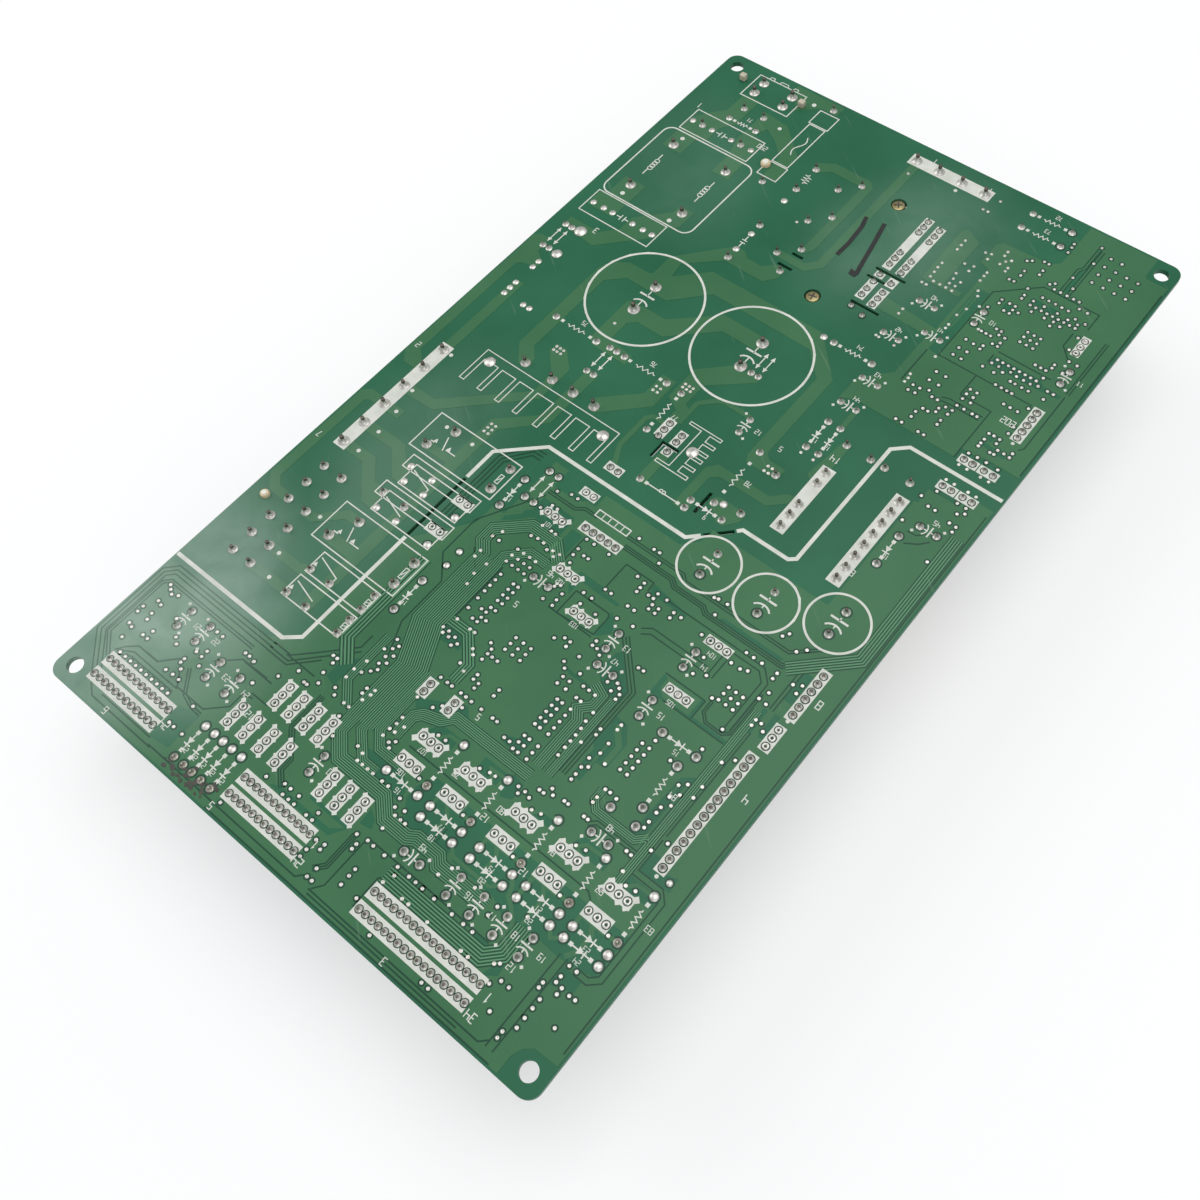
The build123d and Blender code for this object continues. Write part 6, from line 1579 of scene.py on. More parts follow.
        (-54.6, -121.7), (-52.3, -121.7), (-57, -121.9), (-43.9, -124.2), (-45.3, -130.5),
        (-43.5, -130.6), (-40.4, -130.6), (-68, -117), (-62, -114.5), (-66, -111), (57.8, 134.2),
        (58.9, 127.5), (50.6, 130.9), (50.7, 129.3), (50.8, 127), (56.8, 119.4), (58.9, 115.8),
        (56.8, 112.5), (58.9, 112.5), (61, 112.5), (62.8, 112.5), (54.8, 112.5), (52.8, 113.4),
        (53.9, 114.5), (47.2, 119.9), (48.7, 119.9), (44.2, 118.2), (43, 117.3), (48.6, 116.7),
        (48.6, 114.8), (36.8, 117), (36.8, 115.2), (39.4, 114.7), (33.4, 113.5), (38.2, 113.5),
        (33.5, 111.2), (37.3, 111.7), (40, 111.7), (40, 110.2), (44.4, 113.5), (44.4, 111.4),
        (31.7, 113), (24.4, 113.6), (24.4, 111.4), (24.4, 109.3), (42.5, 108.3), (44, 108.4),
        (48.6, 108.4), (29.1, 105.9), (31.8, 106.5), (31.6, 104.2), (36.1, 106.7), (36.1, 105.1),
        (36.1, 103), (29.1, 101.3), (23.7, 102.3), (23.6, 100.2), (23.8, 98.1), (23.8, 96),
        (29.6, 99.1), (32, 99.1), (29.6, 97), (31.5, 97), (25.5, 95), (27.6, 95), (29.6, 95),
        (31.7, 95), (23, 92.7), (24.5, 92.7), (37.7, 99.4), (38.7, 97.6), (38.7, 91.7),
        (37.7, 88.3), (37.7, 84), (37.7, 82.4), (49.1, 105.7), (49.1, 104.2), (44.9, 100.6),
        (44.9, 99), (47.4, 100.6), (49.2, 100.6), (49.3, 99), (51.1, 99), (47.4, 97.4),
        (49.2, 97.4), (43.1, 95.9), (64.1, 110.3), (66.7, 110.3), (65.1, 106.4), (68.2, 106.4),
        (52.3, 105.3), (55.8, 105.3), (60, 105.3), (63.5, 105), (66.6, 105), (53.8, 101.6),
        (57.9, 101.7), (60.7, 102), (63, 101.5), (60.6, 100.1), (69.1, 101), (69.2, 95.9),
        (71.3, 92.3), (73.8, 92.3), (49.3, 90.5), (50.9, 90.5), (51, 89), (52.9, 89), (52.8, 86.8),
        (46.3, 87.4), (47.8, 87.4), (49.3, 87.4), (51.2, 85.3), (52.8, 85.3), (68.7, 89),
        (68.7, 87.6), (71.9, 87.8), (64.5, 85.9), (66.2, 85.9), (67.8, 85.9), (49.5, 83.2),
        (49.4, 81.7), (44.5, 82.3), (47, 82.2), (68.6, 83.2), (68.9, 80), (71.8, 80), (73.6, 80),
        (54.6, 79.5), (56.8, 79.5), (60.5, 79.7), (62.5, 79.4), (64.7, 79.4), (66.8, 79.4),
        (58.7, 78.4), (24.2, 81.2), (24.2, 79.1), (53.2, 77), (56.8, 77), (62, 77), (63.5, 77),
        (65.6, 77), (67.6, 77), (72.3, 77), (59.4, 73.7), (61.2, 73.7), (62.9, 73.7), (64.5, 73.7),
        (41, 72.2), (24.5, 68.7), (29.6, 68.7), (38.8, 63.1), (39.1, 61.6), (39, 60), (41.5, 60.4),
        (43.6, 60.5), (46, 61.4), (41.3, 58.2), (43.4, 58.4), (47.8, 60), (49.6, 60), (52.7, 59.3),
        (54.7, 59.4), (51.4, 57.9), (54.4, 57.6), (51.4, 56.4), (48, 55.3), (49.6, 55.3),
        (47, 53.3), (54, 54.8), (54, 53.1), (47, 51.2), (44.1, 48.1), (46, 48.1), (51.2, 48.1),
        (53, 48.1), (54.8, 64.4), (57.3, 64.4), (54.8, 61.6), (57, 61.6), (59.6, 61.6),
        (61.1, 61.6), (64.6, 69.4), (66.6, 69.4), (68.9, 69.4), (70.7, 72), (70.7, 64.4),
        (70.7, 61.8), (66.6, 58.8), (68.1, 58.9), (69.9, 58.8), (66.6, 56.5), (69.9, 57.1),
        (66.5, 54.9), (66.5, 53.7), (71.3, 55.5), (73.2, 55.5), (75, 56.9), (75, 55.3), (70, 53.7),
        (71.2, 53.8), (65.7, 50.2), (68.3, 50.4), (71, 50.4), (74.6, 50.2), (65.6, 45.6),
        (68.1, 45.6), (72.2, 45.6), (74.7, 45.6), (65.5, 39.7), (68, 39.7), (72.2, 39.7),
        (74.6, 39.7), (65.6, 35.2), (71.8, 35.2), (74.4, 35.2), (75.1, 33.6), (73.5, 32.4),
        (63.1, 31.7), (66.3, 30), (68.4, 30), (73.4, 29), (75.4, 28.9), (75.4, 27.1), (63.3, 22.6),
        (75.2, 16)])

    def offset(self, path: list[Point], shift: float) -> list[Point]:
        """A path moved sideways.

        Args:
            path: the path's points.
            shift: distance to the left of its direction, mm.

        Returns:
            The moved points, mitred at the corners.
        """
        moved = []
        for index, point in enumerate(path):
            here = Vector(point)
            ways = []
            if index:
                ways.append((here - Vector(path[index - 1])).normalized())
            if index < len(path) - 1:
                ways.append((Vector(path[index + 1]) - here).normalized())
            normals = [Vector((-way.y, way.x)) for way in ways]
            middle = sum(normals, Vector((0.0, 0.0))).normalized()
            moved.append(tuple(here + middle * (shift / max(0.4, middle.dot(normals[0])))))
        return moved

    def all_holes(self) -> list[Point]:
        """Every plated hole, single or in a grid."""
        found = list(self.holes)
        for x, y, step_x, step_y, columns, rows in self.grids:
            found += [(x + step_x * column, y + step_y * line)
                      for column in range(columns) for line in range(rows)]
        return found

    @staticmethod
    def poured(x: float, y: float) -> bool:
        """Whether a place lies in the ground area of the logic side."""
        return (y < -16.0 and x > -34.0) or (x > 41.0 and y > 47.0) or (
            x > 62.5 and y < 38.0) or (y < -100.0)

    def build(self, palette: Palette, repeat: Repeat, pads: list[tuple[Point, float]]) -> None:
        """Lay the areas, the bare patches, the tracks and gaps, then the plated holes.

        Args:
            palette: the board's materials.
            repeat: the tree that sets copies.
            pads: centres and radii of the soldered pads.
        """
        copper = Relief(-0.01, self.field_high)
        for outline in self.patches + self.fields:
            copper.polygon(outline)
        for path in self.hairlines:
            copper.line(path, self.hairline)
        copper.piece("ground_areas", palette["mask_on_copper"], "coated_copper")
        bare = Relief(0.0, self.bare_high)
        for outline in self.bare:
            bare.polygon(outline)
        bare.piece("bare_patches", palette["mask_on_laminate"], "board_mask")
        tracks = Relief(0.0, self.track_high)
        for width, path in self.tracks:
            tracks.line(path, width)
        tracks.piece("crossing_tracks", palette["mask_on_copper"], "coated_copper")
        gaps = Relief(0.0, self.bare_high + 0.006)
        for path in self.gap_lines:
            gaps.line(path, self.gap)
        fine = Relief(0.0, self.track_high + 0.001)
        for path, count, pitch in self.ribbons + self.bundles:
            dense = count >= self.ribbon_lines
            if dense:
                gaps.line(path, count * pitch + 0.3)
            for number in range(count):
                line = self.offset(path, (number - (count - 1) / 2) * pitch)
                (fine if dense else gaps).line(line, pitch / 2 if dense else self.thin_gap)
        # the bundled tracks take the lighter track finish, which is partly painted highlight
        fine.piece("fine_tracks", palette["mask_on_track_with_sheen"], "coated_copper")
        for (x, y), radius in pads:
            if self.poured(x, y):
                gaps.disc(x, y, radius + self.clearance, 16)
        for x, y in self.all_holes():
            if self.poured(x, y):
                gaps.disc(x, y, self.hole + self.clearance, 12)
        gaps.piece("copper_gaps", palette["mask_edge_gap"], "board_mask")
        repeat.spread("plated_holes", SolderWork.shape(JointKind.VIA, 12),
                      spots(self.all_holes(), self.hole), 0.07, palette["bright_solder"], "solder")


@dataclass
class Marker:
    """Handwritten black strokes and flux stains of the assembly line."""

    stroke_width: float = 1.3
    ink_high: float = 0.125
    stain_high: float = 0.135
    stain_count: int = 34
    stain_x: Point = (-39.0, -22.5)
    stain_y: float = -138.6
    stain_reach: float = 4.6
    seed: int = 11
    screws: tuple = ((0.5, 114.3, 0.6), (0.65, 70.1, 0.2))
    slot_reach: float = 1.25
    slot_half: float = 0.18

    strokes: list[list[Point]] = field(default_factory=lambda: [
        [(-4.3, 104.5), (-3.2, 100.3), (-2.6, 92.9), (-2.8, 87.1)],
        [(1.6, 105.3), (2.7, 100.3), (3.9, 94.7), (5, 89.1), (6.1, 84)]])

    def build(self, palette: Palette) -> None:
        """Draw the strokes.

        Args:
            palette: the board's materials.
        """
        ink = Relief(0.0, self.ink_high)
        for path in self.strokes:
            ink.line(path, self.stroke_width)
        ink.polygon([(3.7, 85.0), (6.6, 84.6), (6.3, 82.8), (4.1, 83.0)])
        ink.piece("marker_strokes", palette["marker_ink"], "black_plastic")
        stains = Relief(0.0, self.stain_high)
        draw = random.Random(self.seed)
        for _ in range(self.stain_count):
            x = draw.uniform(*self.stain_x)
            y = self.stain_y + self.stain_reach * draw.random() ** 1.6
            size = draw.uniform(0.25, 0.8)
            stains.polygon([(x + u * draw.uniform(0.6, 1.3), y + v * draw.uniform(0.5, 1.1))
                            for u, v in around(0.0, 0.0, size, steps_round(9))])
        stains.piece("flux_stains", palette["dried_flux"], "solder")
        screws, slot_shade = Body(), Body()
        for x, y, turn in self.screws:
            screws.turned([(0.0, -1.5), (2.2, -1.5), (2.3, -0.9), (1.9, -0.35), (1.0, -0.12),
                           (0.0, -0.1)], (x, y, 0.0), "Z", 28)
            # dark crossed bars laid in each head: painted shade in the screw slots
            for way in (turn, turn + math.pi / 2):
                ax, ay = math.cos(way) * self.slot_reach, math.sin(way) * self.slot_reach
                slot_shade.prism([(x + u * ax - v * ay, y + u * ay + v * ax) for u, v in (
                    (1, self.slot_half), (-1, self.slot_half),
                    (-1, -self.slot_half), (1, -self.slot_half))],
                             -0.6, -0.03 + 0.01 * way, 0.0)
        screws.piece("screw_heads_below", palette["brass"], "zinc_steel")
        slot_shade.piece("screw_recesses", palette["lead_end"], "zinc_steel")


@dataclass
class Pegs:
    """Round support pegs that come up through the board."""

    posts: list[Point] = field(default_factory=lambda: [
        (-71, 131.2), (-48.3, 131.9)])
    spacers: list[tuple[float, float, float]] = field(default_factory=lambda: [
        (-76, -72, 1.3), (-42, 104.5, 1.6)])

    def build(self, palette: Palette) -> None:
        """Set the pegs.

        Args:
            palette: the board's materials.
        """
        posts, spacers, tops = Body(), Body(), Body()
        for x, y in self.posts:
            posts.box(x - 1.05, x + 1.05, y - 0.95, y + 0.95, 0.02, 2.2, 0.35, 3)
        posts.piece("peg_posts", palette["grey_nylon"], "nylon", "nylon_pegs")
        for x, y, radius in self.spacers:
            spacers.turned([(0.0, 0.02), (radius, 0.02), (radius, 0.8), (radius * 0.86, 1.1),
                            (0.0, 1.15)], (x, y, 0.0), "Z", 28)
            # lighter nylon on the tops of the beige nylon spacers: painted highlight where light
            # falls on them
            tops.turned([(0.0, 1.1), (radius * 0.6, 1.1), (radius * 0.55, 1.35),
                         (radius * 0.3, 1.45), (0.0, 1.45)], (x, y, 0.0), "Z", 24)
        spacers.piece("peg_spacers", palette["beige_nylon"], "beige_nylon", "spacer_pegs")
        tops.piece("peg_tips", palette["nylon"], "beige_nylon")


# ----------------------------------------------------------------------- component side

UNDERSIDE = -1.6
REST = -41.6


class Body:
    """Gathers rounded solids into one piece, in millimetres."""

    patch_depth = 0.3
    sharp_angle = math.radians(38.0)

    def __init__(self) -> None:
        """Start with nothing."""
        self.shape = bmesh.new()

    def soften(self, vertices: list[bmesh.types.BMVert], radius: float, steps: int) -> None:
        """Round the edges between some corners."""
        if radius > 0.0:
            edges = list({edge for vertex in vertices for edge in vertex.link_edges})
            bmesh.ops.bevel(self.shape, geom=edges, offset=radius, segments=steps,
                            profile=0.55, affect="EDGES", clamp_overlap=True)

    def box(self, x0: float, x1: float, y0: float, y1: float, z0: float, z1: float,
            radius: float = 0.3, steps: int = 2) -> None:
        """Add a block with rounded edges."""
        middle = Vector(((x0 + x1) / 2, (y0 + y1) / 2, (z0 + z1) / 2))
        size = (abs(x1 - x0), abs(y1 - y0), abs(z1 - z0), 1.0)
        made = bmesh.ops.create_cube(
            self.shape, size=1.0, matrix=Matrix.Translation(middle) @ Matrix.Diagonal(size))
        self.soften(made["verts"], radius, steps)

    def close(self, rings: list[list[bmesh.types.BMVert]], radius: float, steps: int) -> None:
        """Close two outlines of as many corners into a solid and round its edges."""
        made = [self.shape.faces.new(ring) for ring in rings] + bridge(self.shape, *rings)
        bmesh.ops.recalc_face_normals(self.shape, faces=made)
        self.soften(rings[0] + rings[1], radius, steps)

    def prism(self, outline: list[Point], z0: float, z1: float, radius: float = 0.2,
              steps: int = 1) -> None:
        """Add an upright prism over an outline seen from above."""
        self.close([[self.shape.verts.new((x, y, z)) for x, y in outline] for z in (z0, z1)],
                   radius, steps)

    def across(self, outline: list[Point], x0: float, x1: float, radius: float) -> None:
        """Add a solid drawn in the upright plane along the board and drawn out across it."""
        self.close([[self.shape.verts.new((x, y, z)) for y, z in outline] for x in (x0, x1)],
                   radius, 2)

    def turned(self, profile: list[Point], place: tuple[float, float, float],
               axis: str = "Z", sides: int = 40) -> None:
        """Add a turned shape.

        Args:
            profile: radius and distance along the axis of each point.
            place: where the axis starts.
            axis: direction of the axis.
            sides: steps round the axis.
        """
        source = lathe(profile, sides, "turned")
        turn = {"Z": Matrix.Identity(4), "X": Matrix.Rotation(math.pi / 2, 4, "Y"),
                "Y": Matrix.Rotation(-math.pi / 2, 4, "X")}[axis]
        source.transform(Matrix.Translation(place) @ turn)
        self.shape.from_mesh(source)
        bpy.data.meshes.remove(source)

    def wire(self, path: list[tuple[float, float, float]], radius: float,
             sides: int = 8) -> None:
        """Add a round wire along a path."""
        rings = []
        for index, point in enumerate(path):
            ahead = Vector(path[min(index + 1, len(path) - 1)])
            behind = Vector(path[max(index - 1, 0)])
            turn = (ahead - behind).to_track_quat("Z", "Y")
            rings.append([self.shape.verts.new(Vector(point) + turn @ Vector((u, v, 0.0)))
                          for u, v in around(0.0, 0.0, radius, steps_round(sides))])
        made = [self.shape.faces.new(rings[0]), self.shape.faces.new(rings[-1])]
        for before, after in zip(rings, rings[1:]):
            made += bridge(self.shape, before, after)
        bmesh.ops.recalc_face_normals(self.shape, faces=made)

    def sleeve_patch(self, x: float, y: float, radius: float, z0: float, z1: float,
                     middle: float, sweep: float) -> None:
        """Add a thin curved patch on an upright can.

        Args:
            x: axis of the can.
            y: axis of the can.
            radius: radius of the patch.
            z0: one end.
            z1: other end.
            middle: direction of its middle, degrees.
            sweep: angle it covers, degrees.
        """
        angles = [middle - sweep / 2 + sweep * n / 8 for n in range(9)]
        self.prism(around(x, y, radius, angles)
                   + around(x, y, radius - self.patch_depth, angles[::-1]), z0, z1, 0.0)

    def piece(self, name: str, material: bpy.types.Material, slot: str,
              *nodes: str) -> bpy.types.Object:
        """Turn the gathered solids into an object of the board."""
        mesh = to_mesh(self.shape, name)
        mesh.transform(Matrix.Scale(MM, 4))
        mesh.set_sharp_from_angle(angle=self.sharp_angle)
        mesh.materials.append(material)
        return settle(mesh, name, slot, *nodes)


@dataclass
class Cans:
    """Electrolytic capacitors: sleeves, aluminium tops with score lines painted dark as shade, and
    polarity stripes.
    """

    bulk: list[Point] = field(default_factory=lambda: [
        (-37.8, 40.7), (-0.25, 42.55)])
    output: list[Point] = field(default_factory=lambda: [
        (31.8, -17.6), (50, -17.6), (67.3, -11.65)])

    def build(self, palette: Palette) -> None:
        """Make every can.

        Args:
            palette: the board's materials.
        """
        sleeves, tops, stripes, marks = Body(), Body(), Body(), Body()
        groups = ((self.bulk, 17.4, REST, 1.4, 205.0), (self.output, 8.2, -26.6, 0.7, 90.0),
                  (CAPS_UPRIGHT, 3.15, -13.1, 0.35, 270.0),
                  (CAPS_LEVEL, 3.15, -13.1, 0.35, 0.0))
        for places, radius, end, groove, facing in groups:
            neck = UNDERSIDE - radius * 0.24
            edge = min(0.9, radius * 0.11)
            rim = radius - 2.2 * edge
            profile = [(0.0, UNDERSIDE), (radius - edge, UNDERSIDE),
                       (radius, UNDERSIDE - edge), (radius, neck),
                       (radius - groove, neck - groove * 0.5),
                       (radius - groove, neck - groove), (radius, neck - 1.6 * groove),
                       (radius, end + edge), (radius - 0.3 * edge, end + 0.3 * edge),
                       (radius - edge, end), (rim, end), (rim, end + 0.5), (0.0, end + 0.5)]
            for x, y in places:
                sides = 64 if radius > 6.0 else 28
                sleeves.turned(profile, (x, y, 0.0), sides=sides)
                tops.turned([(0.0, end + 0.6), (rim, end + 0.6), (rim, end + 0.38),
                             (rim * 0.9, end + 0.3), (0.0, end + 0.3)], (x, y, 0.0),
                            sides=sides)
                # score lines of the vent, dark strips on the aluminium top: painted shade in its
                # pressed grooves
                for turn in (30.0, 150.0, 270.0):
                    way = Vector((math.cos(math.radians(turn)), math.sin(math.radians(turn))))
                    across = Vector((-way.y, way.x)) * radius * 0.02
                    tip = way * rim * 0.72
                    marks.prism([(x + p.x, y + p.y) for p in
                                 (across, tip + across, tip - across, -across)],
                                end + 0.32, end + 0.27, 0.0)
                stripes.sleeve_patch(x, y, radius + 0.03, neck - 2.2 * groove, end + 1.6 * edge,
                                     facing, 42.0)
                bars = 5 if radius > 3.5 else 2
                height = end - neck
                for number in range(bars):
                    middle = neck + height * (number + 0.75) / (bars + 0.4)
                    marks.sleeve_patch(x, y, radius + 0.06, middle - radius * 0.09,
                                       middle + radius * 0.09, facing, 15.0)
        sleeves.piece("can_sleeves", palette["black_sleeve"], "black_sleeve",
                      "bulk_capacitor_1", "bulk_capacitor_2", "output_capacitors",
                      "small_electrolytics")
        tops.piece("can_tops", palette["aluminium"], "aluminium")
        stripes.piece("can_stripes", palette["sleeve_stripe"], "black_sleeve")
        marks.piece("can_marks", palette["black_sleeve"], "black_sleeve")


@dataclass
class Windings:
    """Transformer and mains choke: cores, bobbins, wire and tape."""

    core_x: Point = (41.7, 57.3)
    core_y: Point = (-6.75, 31.25)
    core_top: float = -7.6
    yoke: float = 5.0
    leg: float = 4.6
    choke_limbs: Point = (-70.4, -50.0)
    choke_y: Point = (68.0, 99.8)
    choke_middle: float = -14.6
    winding_x: float = 49.5
    flange_x: Point = (37.2, 61.8)
    flange_y: Point = (-1.6, 26.1)
    pins_left: tuple = (22.5, 18.5, 10.5, 6.5, 2.5)
    pins_right: tuple = (26.5, 22.5, 18.5, 14.5, 10.5, 6.5, 2.5, -1.5)
    choke_wire: float = 0.54
    choke_turns: int = 13
    first_turn: float = 77.3
    turn_pitch: float = 1.09

    def transformer(self, palette: Palette) -> None:
        """Split core, bobbin with pin rails, and taped winding."""
        x0, x1 = self.core_x
        y0, y1 = self.core_y
        seam = (self.core_top + REST) / 2
        core = Body()
        for outer, step, inner in ((self.core_top, -self.yoke, seam + 0.06),
                                   (REST, self.yoke, seam - 0.06)):
            core.across([(y0, outer), (y1, outer), (y1, inner), (y1 - self.leg, inner),
                         (y1 - self.leg, outer + step), (y0 + self.leg, outer + step),
                         (y0 + self.leg, inner), (y0, inner)], x0, x1, 0.5)
        core.piece("ferrite_core", palette["ferrite"], "ferrite", "transformer_core")
        tape = Body()
        top = self.core_top
        tape.across([(y0 - 0.07, REST + 0.4), (y0 - 0.07, top + 0.07), (y1 + 0.07, top + 0.07),
                     (y1 + 0.07, REST + 0.4), (y1 - 1.0, REST + 0.4), (y1 - 1.0, top - 1.0),
                     (y0 + 1.0, top - 1.0), (y0 + 1.0, REST + 0.4)], x0 + 3.2, x1 - 3.2, 0.05)
        middle = (y0 + y1) / 2
        half_x, half_y, cut = 11.8, 12.9, 4.5
        for inset, top, bottom in ((0.0, -14.6, -21.4), (0.14, -21.2, -28.2),
                                   (0.04, -28.0, -34.6)):
            a, b = half_x - inset, half_y - inset
            tape.prism([(self.winding_x + u, middle + v) for u, v in (
                (-a + cut, -b), (a - cut, -b), (a, -b + cut), (a, b - cut), (a - cut, b),
                (-a + cut, b), (-a, b - cut), (-a, -b + cut))], top, bottom, 0.25, 2)
        tape.piece("winding_tape", palette["yellow_tape"], "yellow_tape",
                   "transformer_winding")
        margin = Body()
        margin.box(self.winding_x - 10.9, self.winding_x + 10.9, middle - 12.0, middle + 12.0,
                   -13.9, -35.3, 3.0, 4)
        margin.piece("margin_tape", palette["nylon"], "yellow_tape")
        bobbin = Body()
        for high, low in ((-12.8, -14.0), (-35.2, -36.4)):
            bobbin.box(*self.flange_x, *self.flange_y, high, low, 0.3)
        for a, b, c, d, count in ((37.2, 41.4, -1.6, 26.1, 7), (57.6, 61.8, -3.4, 28.5, 8)):
            bobbin.box(a + 0.12, b - 0.12, c + 0.12, d - 0.12, -4.4, -12.9, 0.3)
            pitch = (d - c) / count
            for number in range(count):
                bobbin.box(a + 0.2, b - 0.2, c + pitch * number + 0.5,
                           c + pitch * (number + 1) - 0.5, UNDERSIDE, -4.6, 0.25)
        bobbin.piece("bobbin", palette["black_plastic"], "black_plastic",
                     "transformer_bobbin")
        wires = Body()
        for a, facing, places in ((37.6, -1, self.pins_left), (61.4, 1, self.pins_right)):
            for y in places:
                wires.wire([(a + facing * 0.25, y + 0.5, -3.0), (a + facing * 0.4, y, -6.0),
                            (a + facing * 0.3, y - 0.6, -10.5), (a - facing * 0.8, y, -14.3)],
                           0.28, 6)
        wires.piece("winding_tails", palette["copper_wire"], "copper_wire")

    def choke(self, palette: Palette, repeat: Repeat) -> None:
        """Square core with two wound limbs."""
        xa, xb = self.choke_limbs
        y0, y1 = self.choke_y
        z = self.choke_middle
        core = Body()
        for y in (y0, y1 - 6.0):
            core.box(xa - 3.0, xb + 3.0, y, y + 6.0, z - 4.0, z + 4.0, 0.6)
        for x in (xa, xb):
            core.box(x - 2.94, x + 2.94, y0 + 3.0, y1 - 3.0, z - 3.94, z + 3.94, 0.6)
        core.piece("choke_square_core", palette["ferrite"], "ferrite", "choke_core")
        bobbins = Body()
        for x in (xa, xb):
            for y in (75.2, 90.8):
                bobbins.box(x - 6.4, x + 6.4, y, y + 1.4, UNDERSIDE, z - 9.5, 0.35)
                for side in (-1, 1):
                    bobbins.box(x + side * 4.9 - 1.1, x + side * 4.9 + 1.1, y - 1.2, y + 2.6,
                                UNDERSIDE, UNDERSIDE - 2.6, 0.3)
            bobbins.box(x - 3.9, x + 3.9, 76.0, 91.0, z - 4.9, z + 4.9, 0.3)
        bobbins.piece("choke_formers", palette["black_plastic"], "black_plastic",
                      "choke_bobbins")
        sides = 8
        loop = [point for x, along, start in ((2.2, 4.8, 0), (-2.2, 4.8, 90),
                                              (-2.2, -4.8, 180), (2.2, -4.8, 270))
                for point in around(x, along, 3.05, range(start, start + 91, 18))]
        turn = bmesh.new()
        rings = []
        for x, along in loop:
            out = Vector((x, along)).normalized()
            rings.append([turn.verts.new((x + out.x * u, v, along + out.y * u))
                          for u, v in around(0.0, 0.0, self.choke_wire, steps_round(sides))])
        for before, after in zip(rings, rings[1:] + rings[:1]):
            bridge(turn, before, after)
        bmesh.ops.recalc_face_normals(turn, faces=turn.faces)
        shape = to_mesh(turn, "wire_turn")
        places = [Place(x, self.first_turn + self.turn_pitch * number)
                  for x in (xa, xb) for number in range(self.choke_turns)]
        repeat.spread("choke_turns", shape, places, z, palette["copper_wire"],
                      "copper_wire", "choke_windings")

    def build(self, palette: Palette, repeat: Repeat) -> None:
        """Make both wound parts.

        Args:
            palette: the board's materials.
            repeat: the tree that sets copies.
        """
        self.transformer(palette)
        self.choke(palette, repeat)


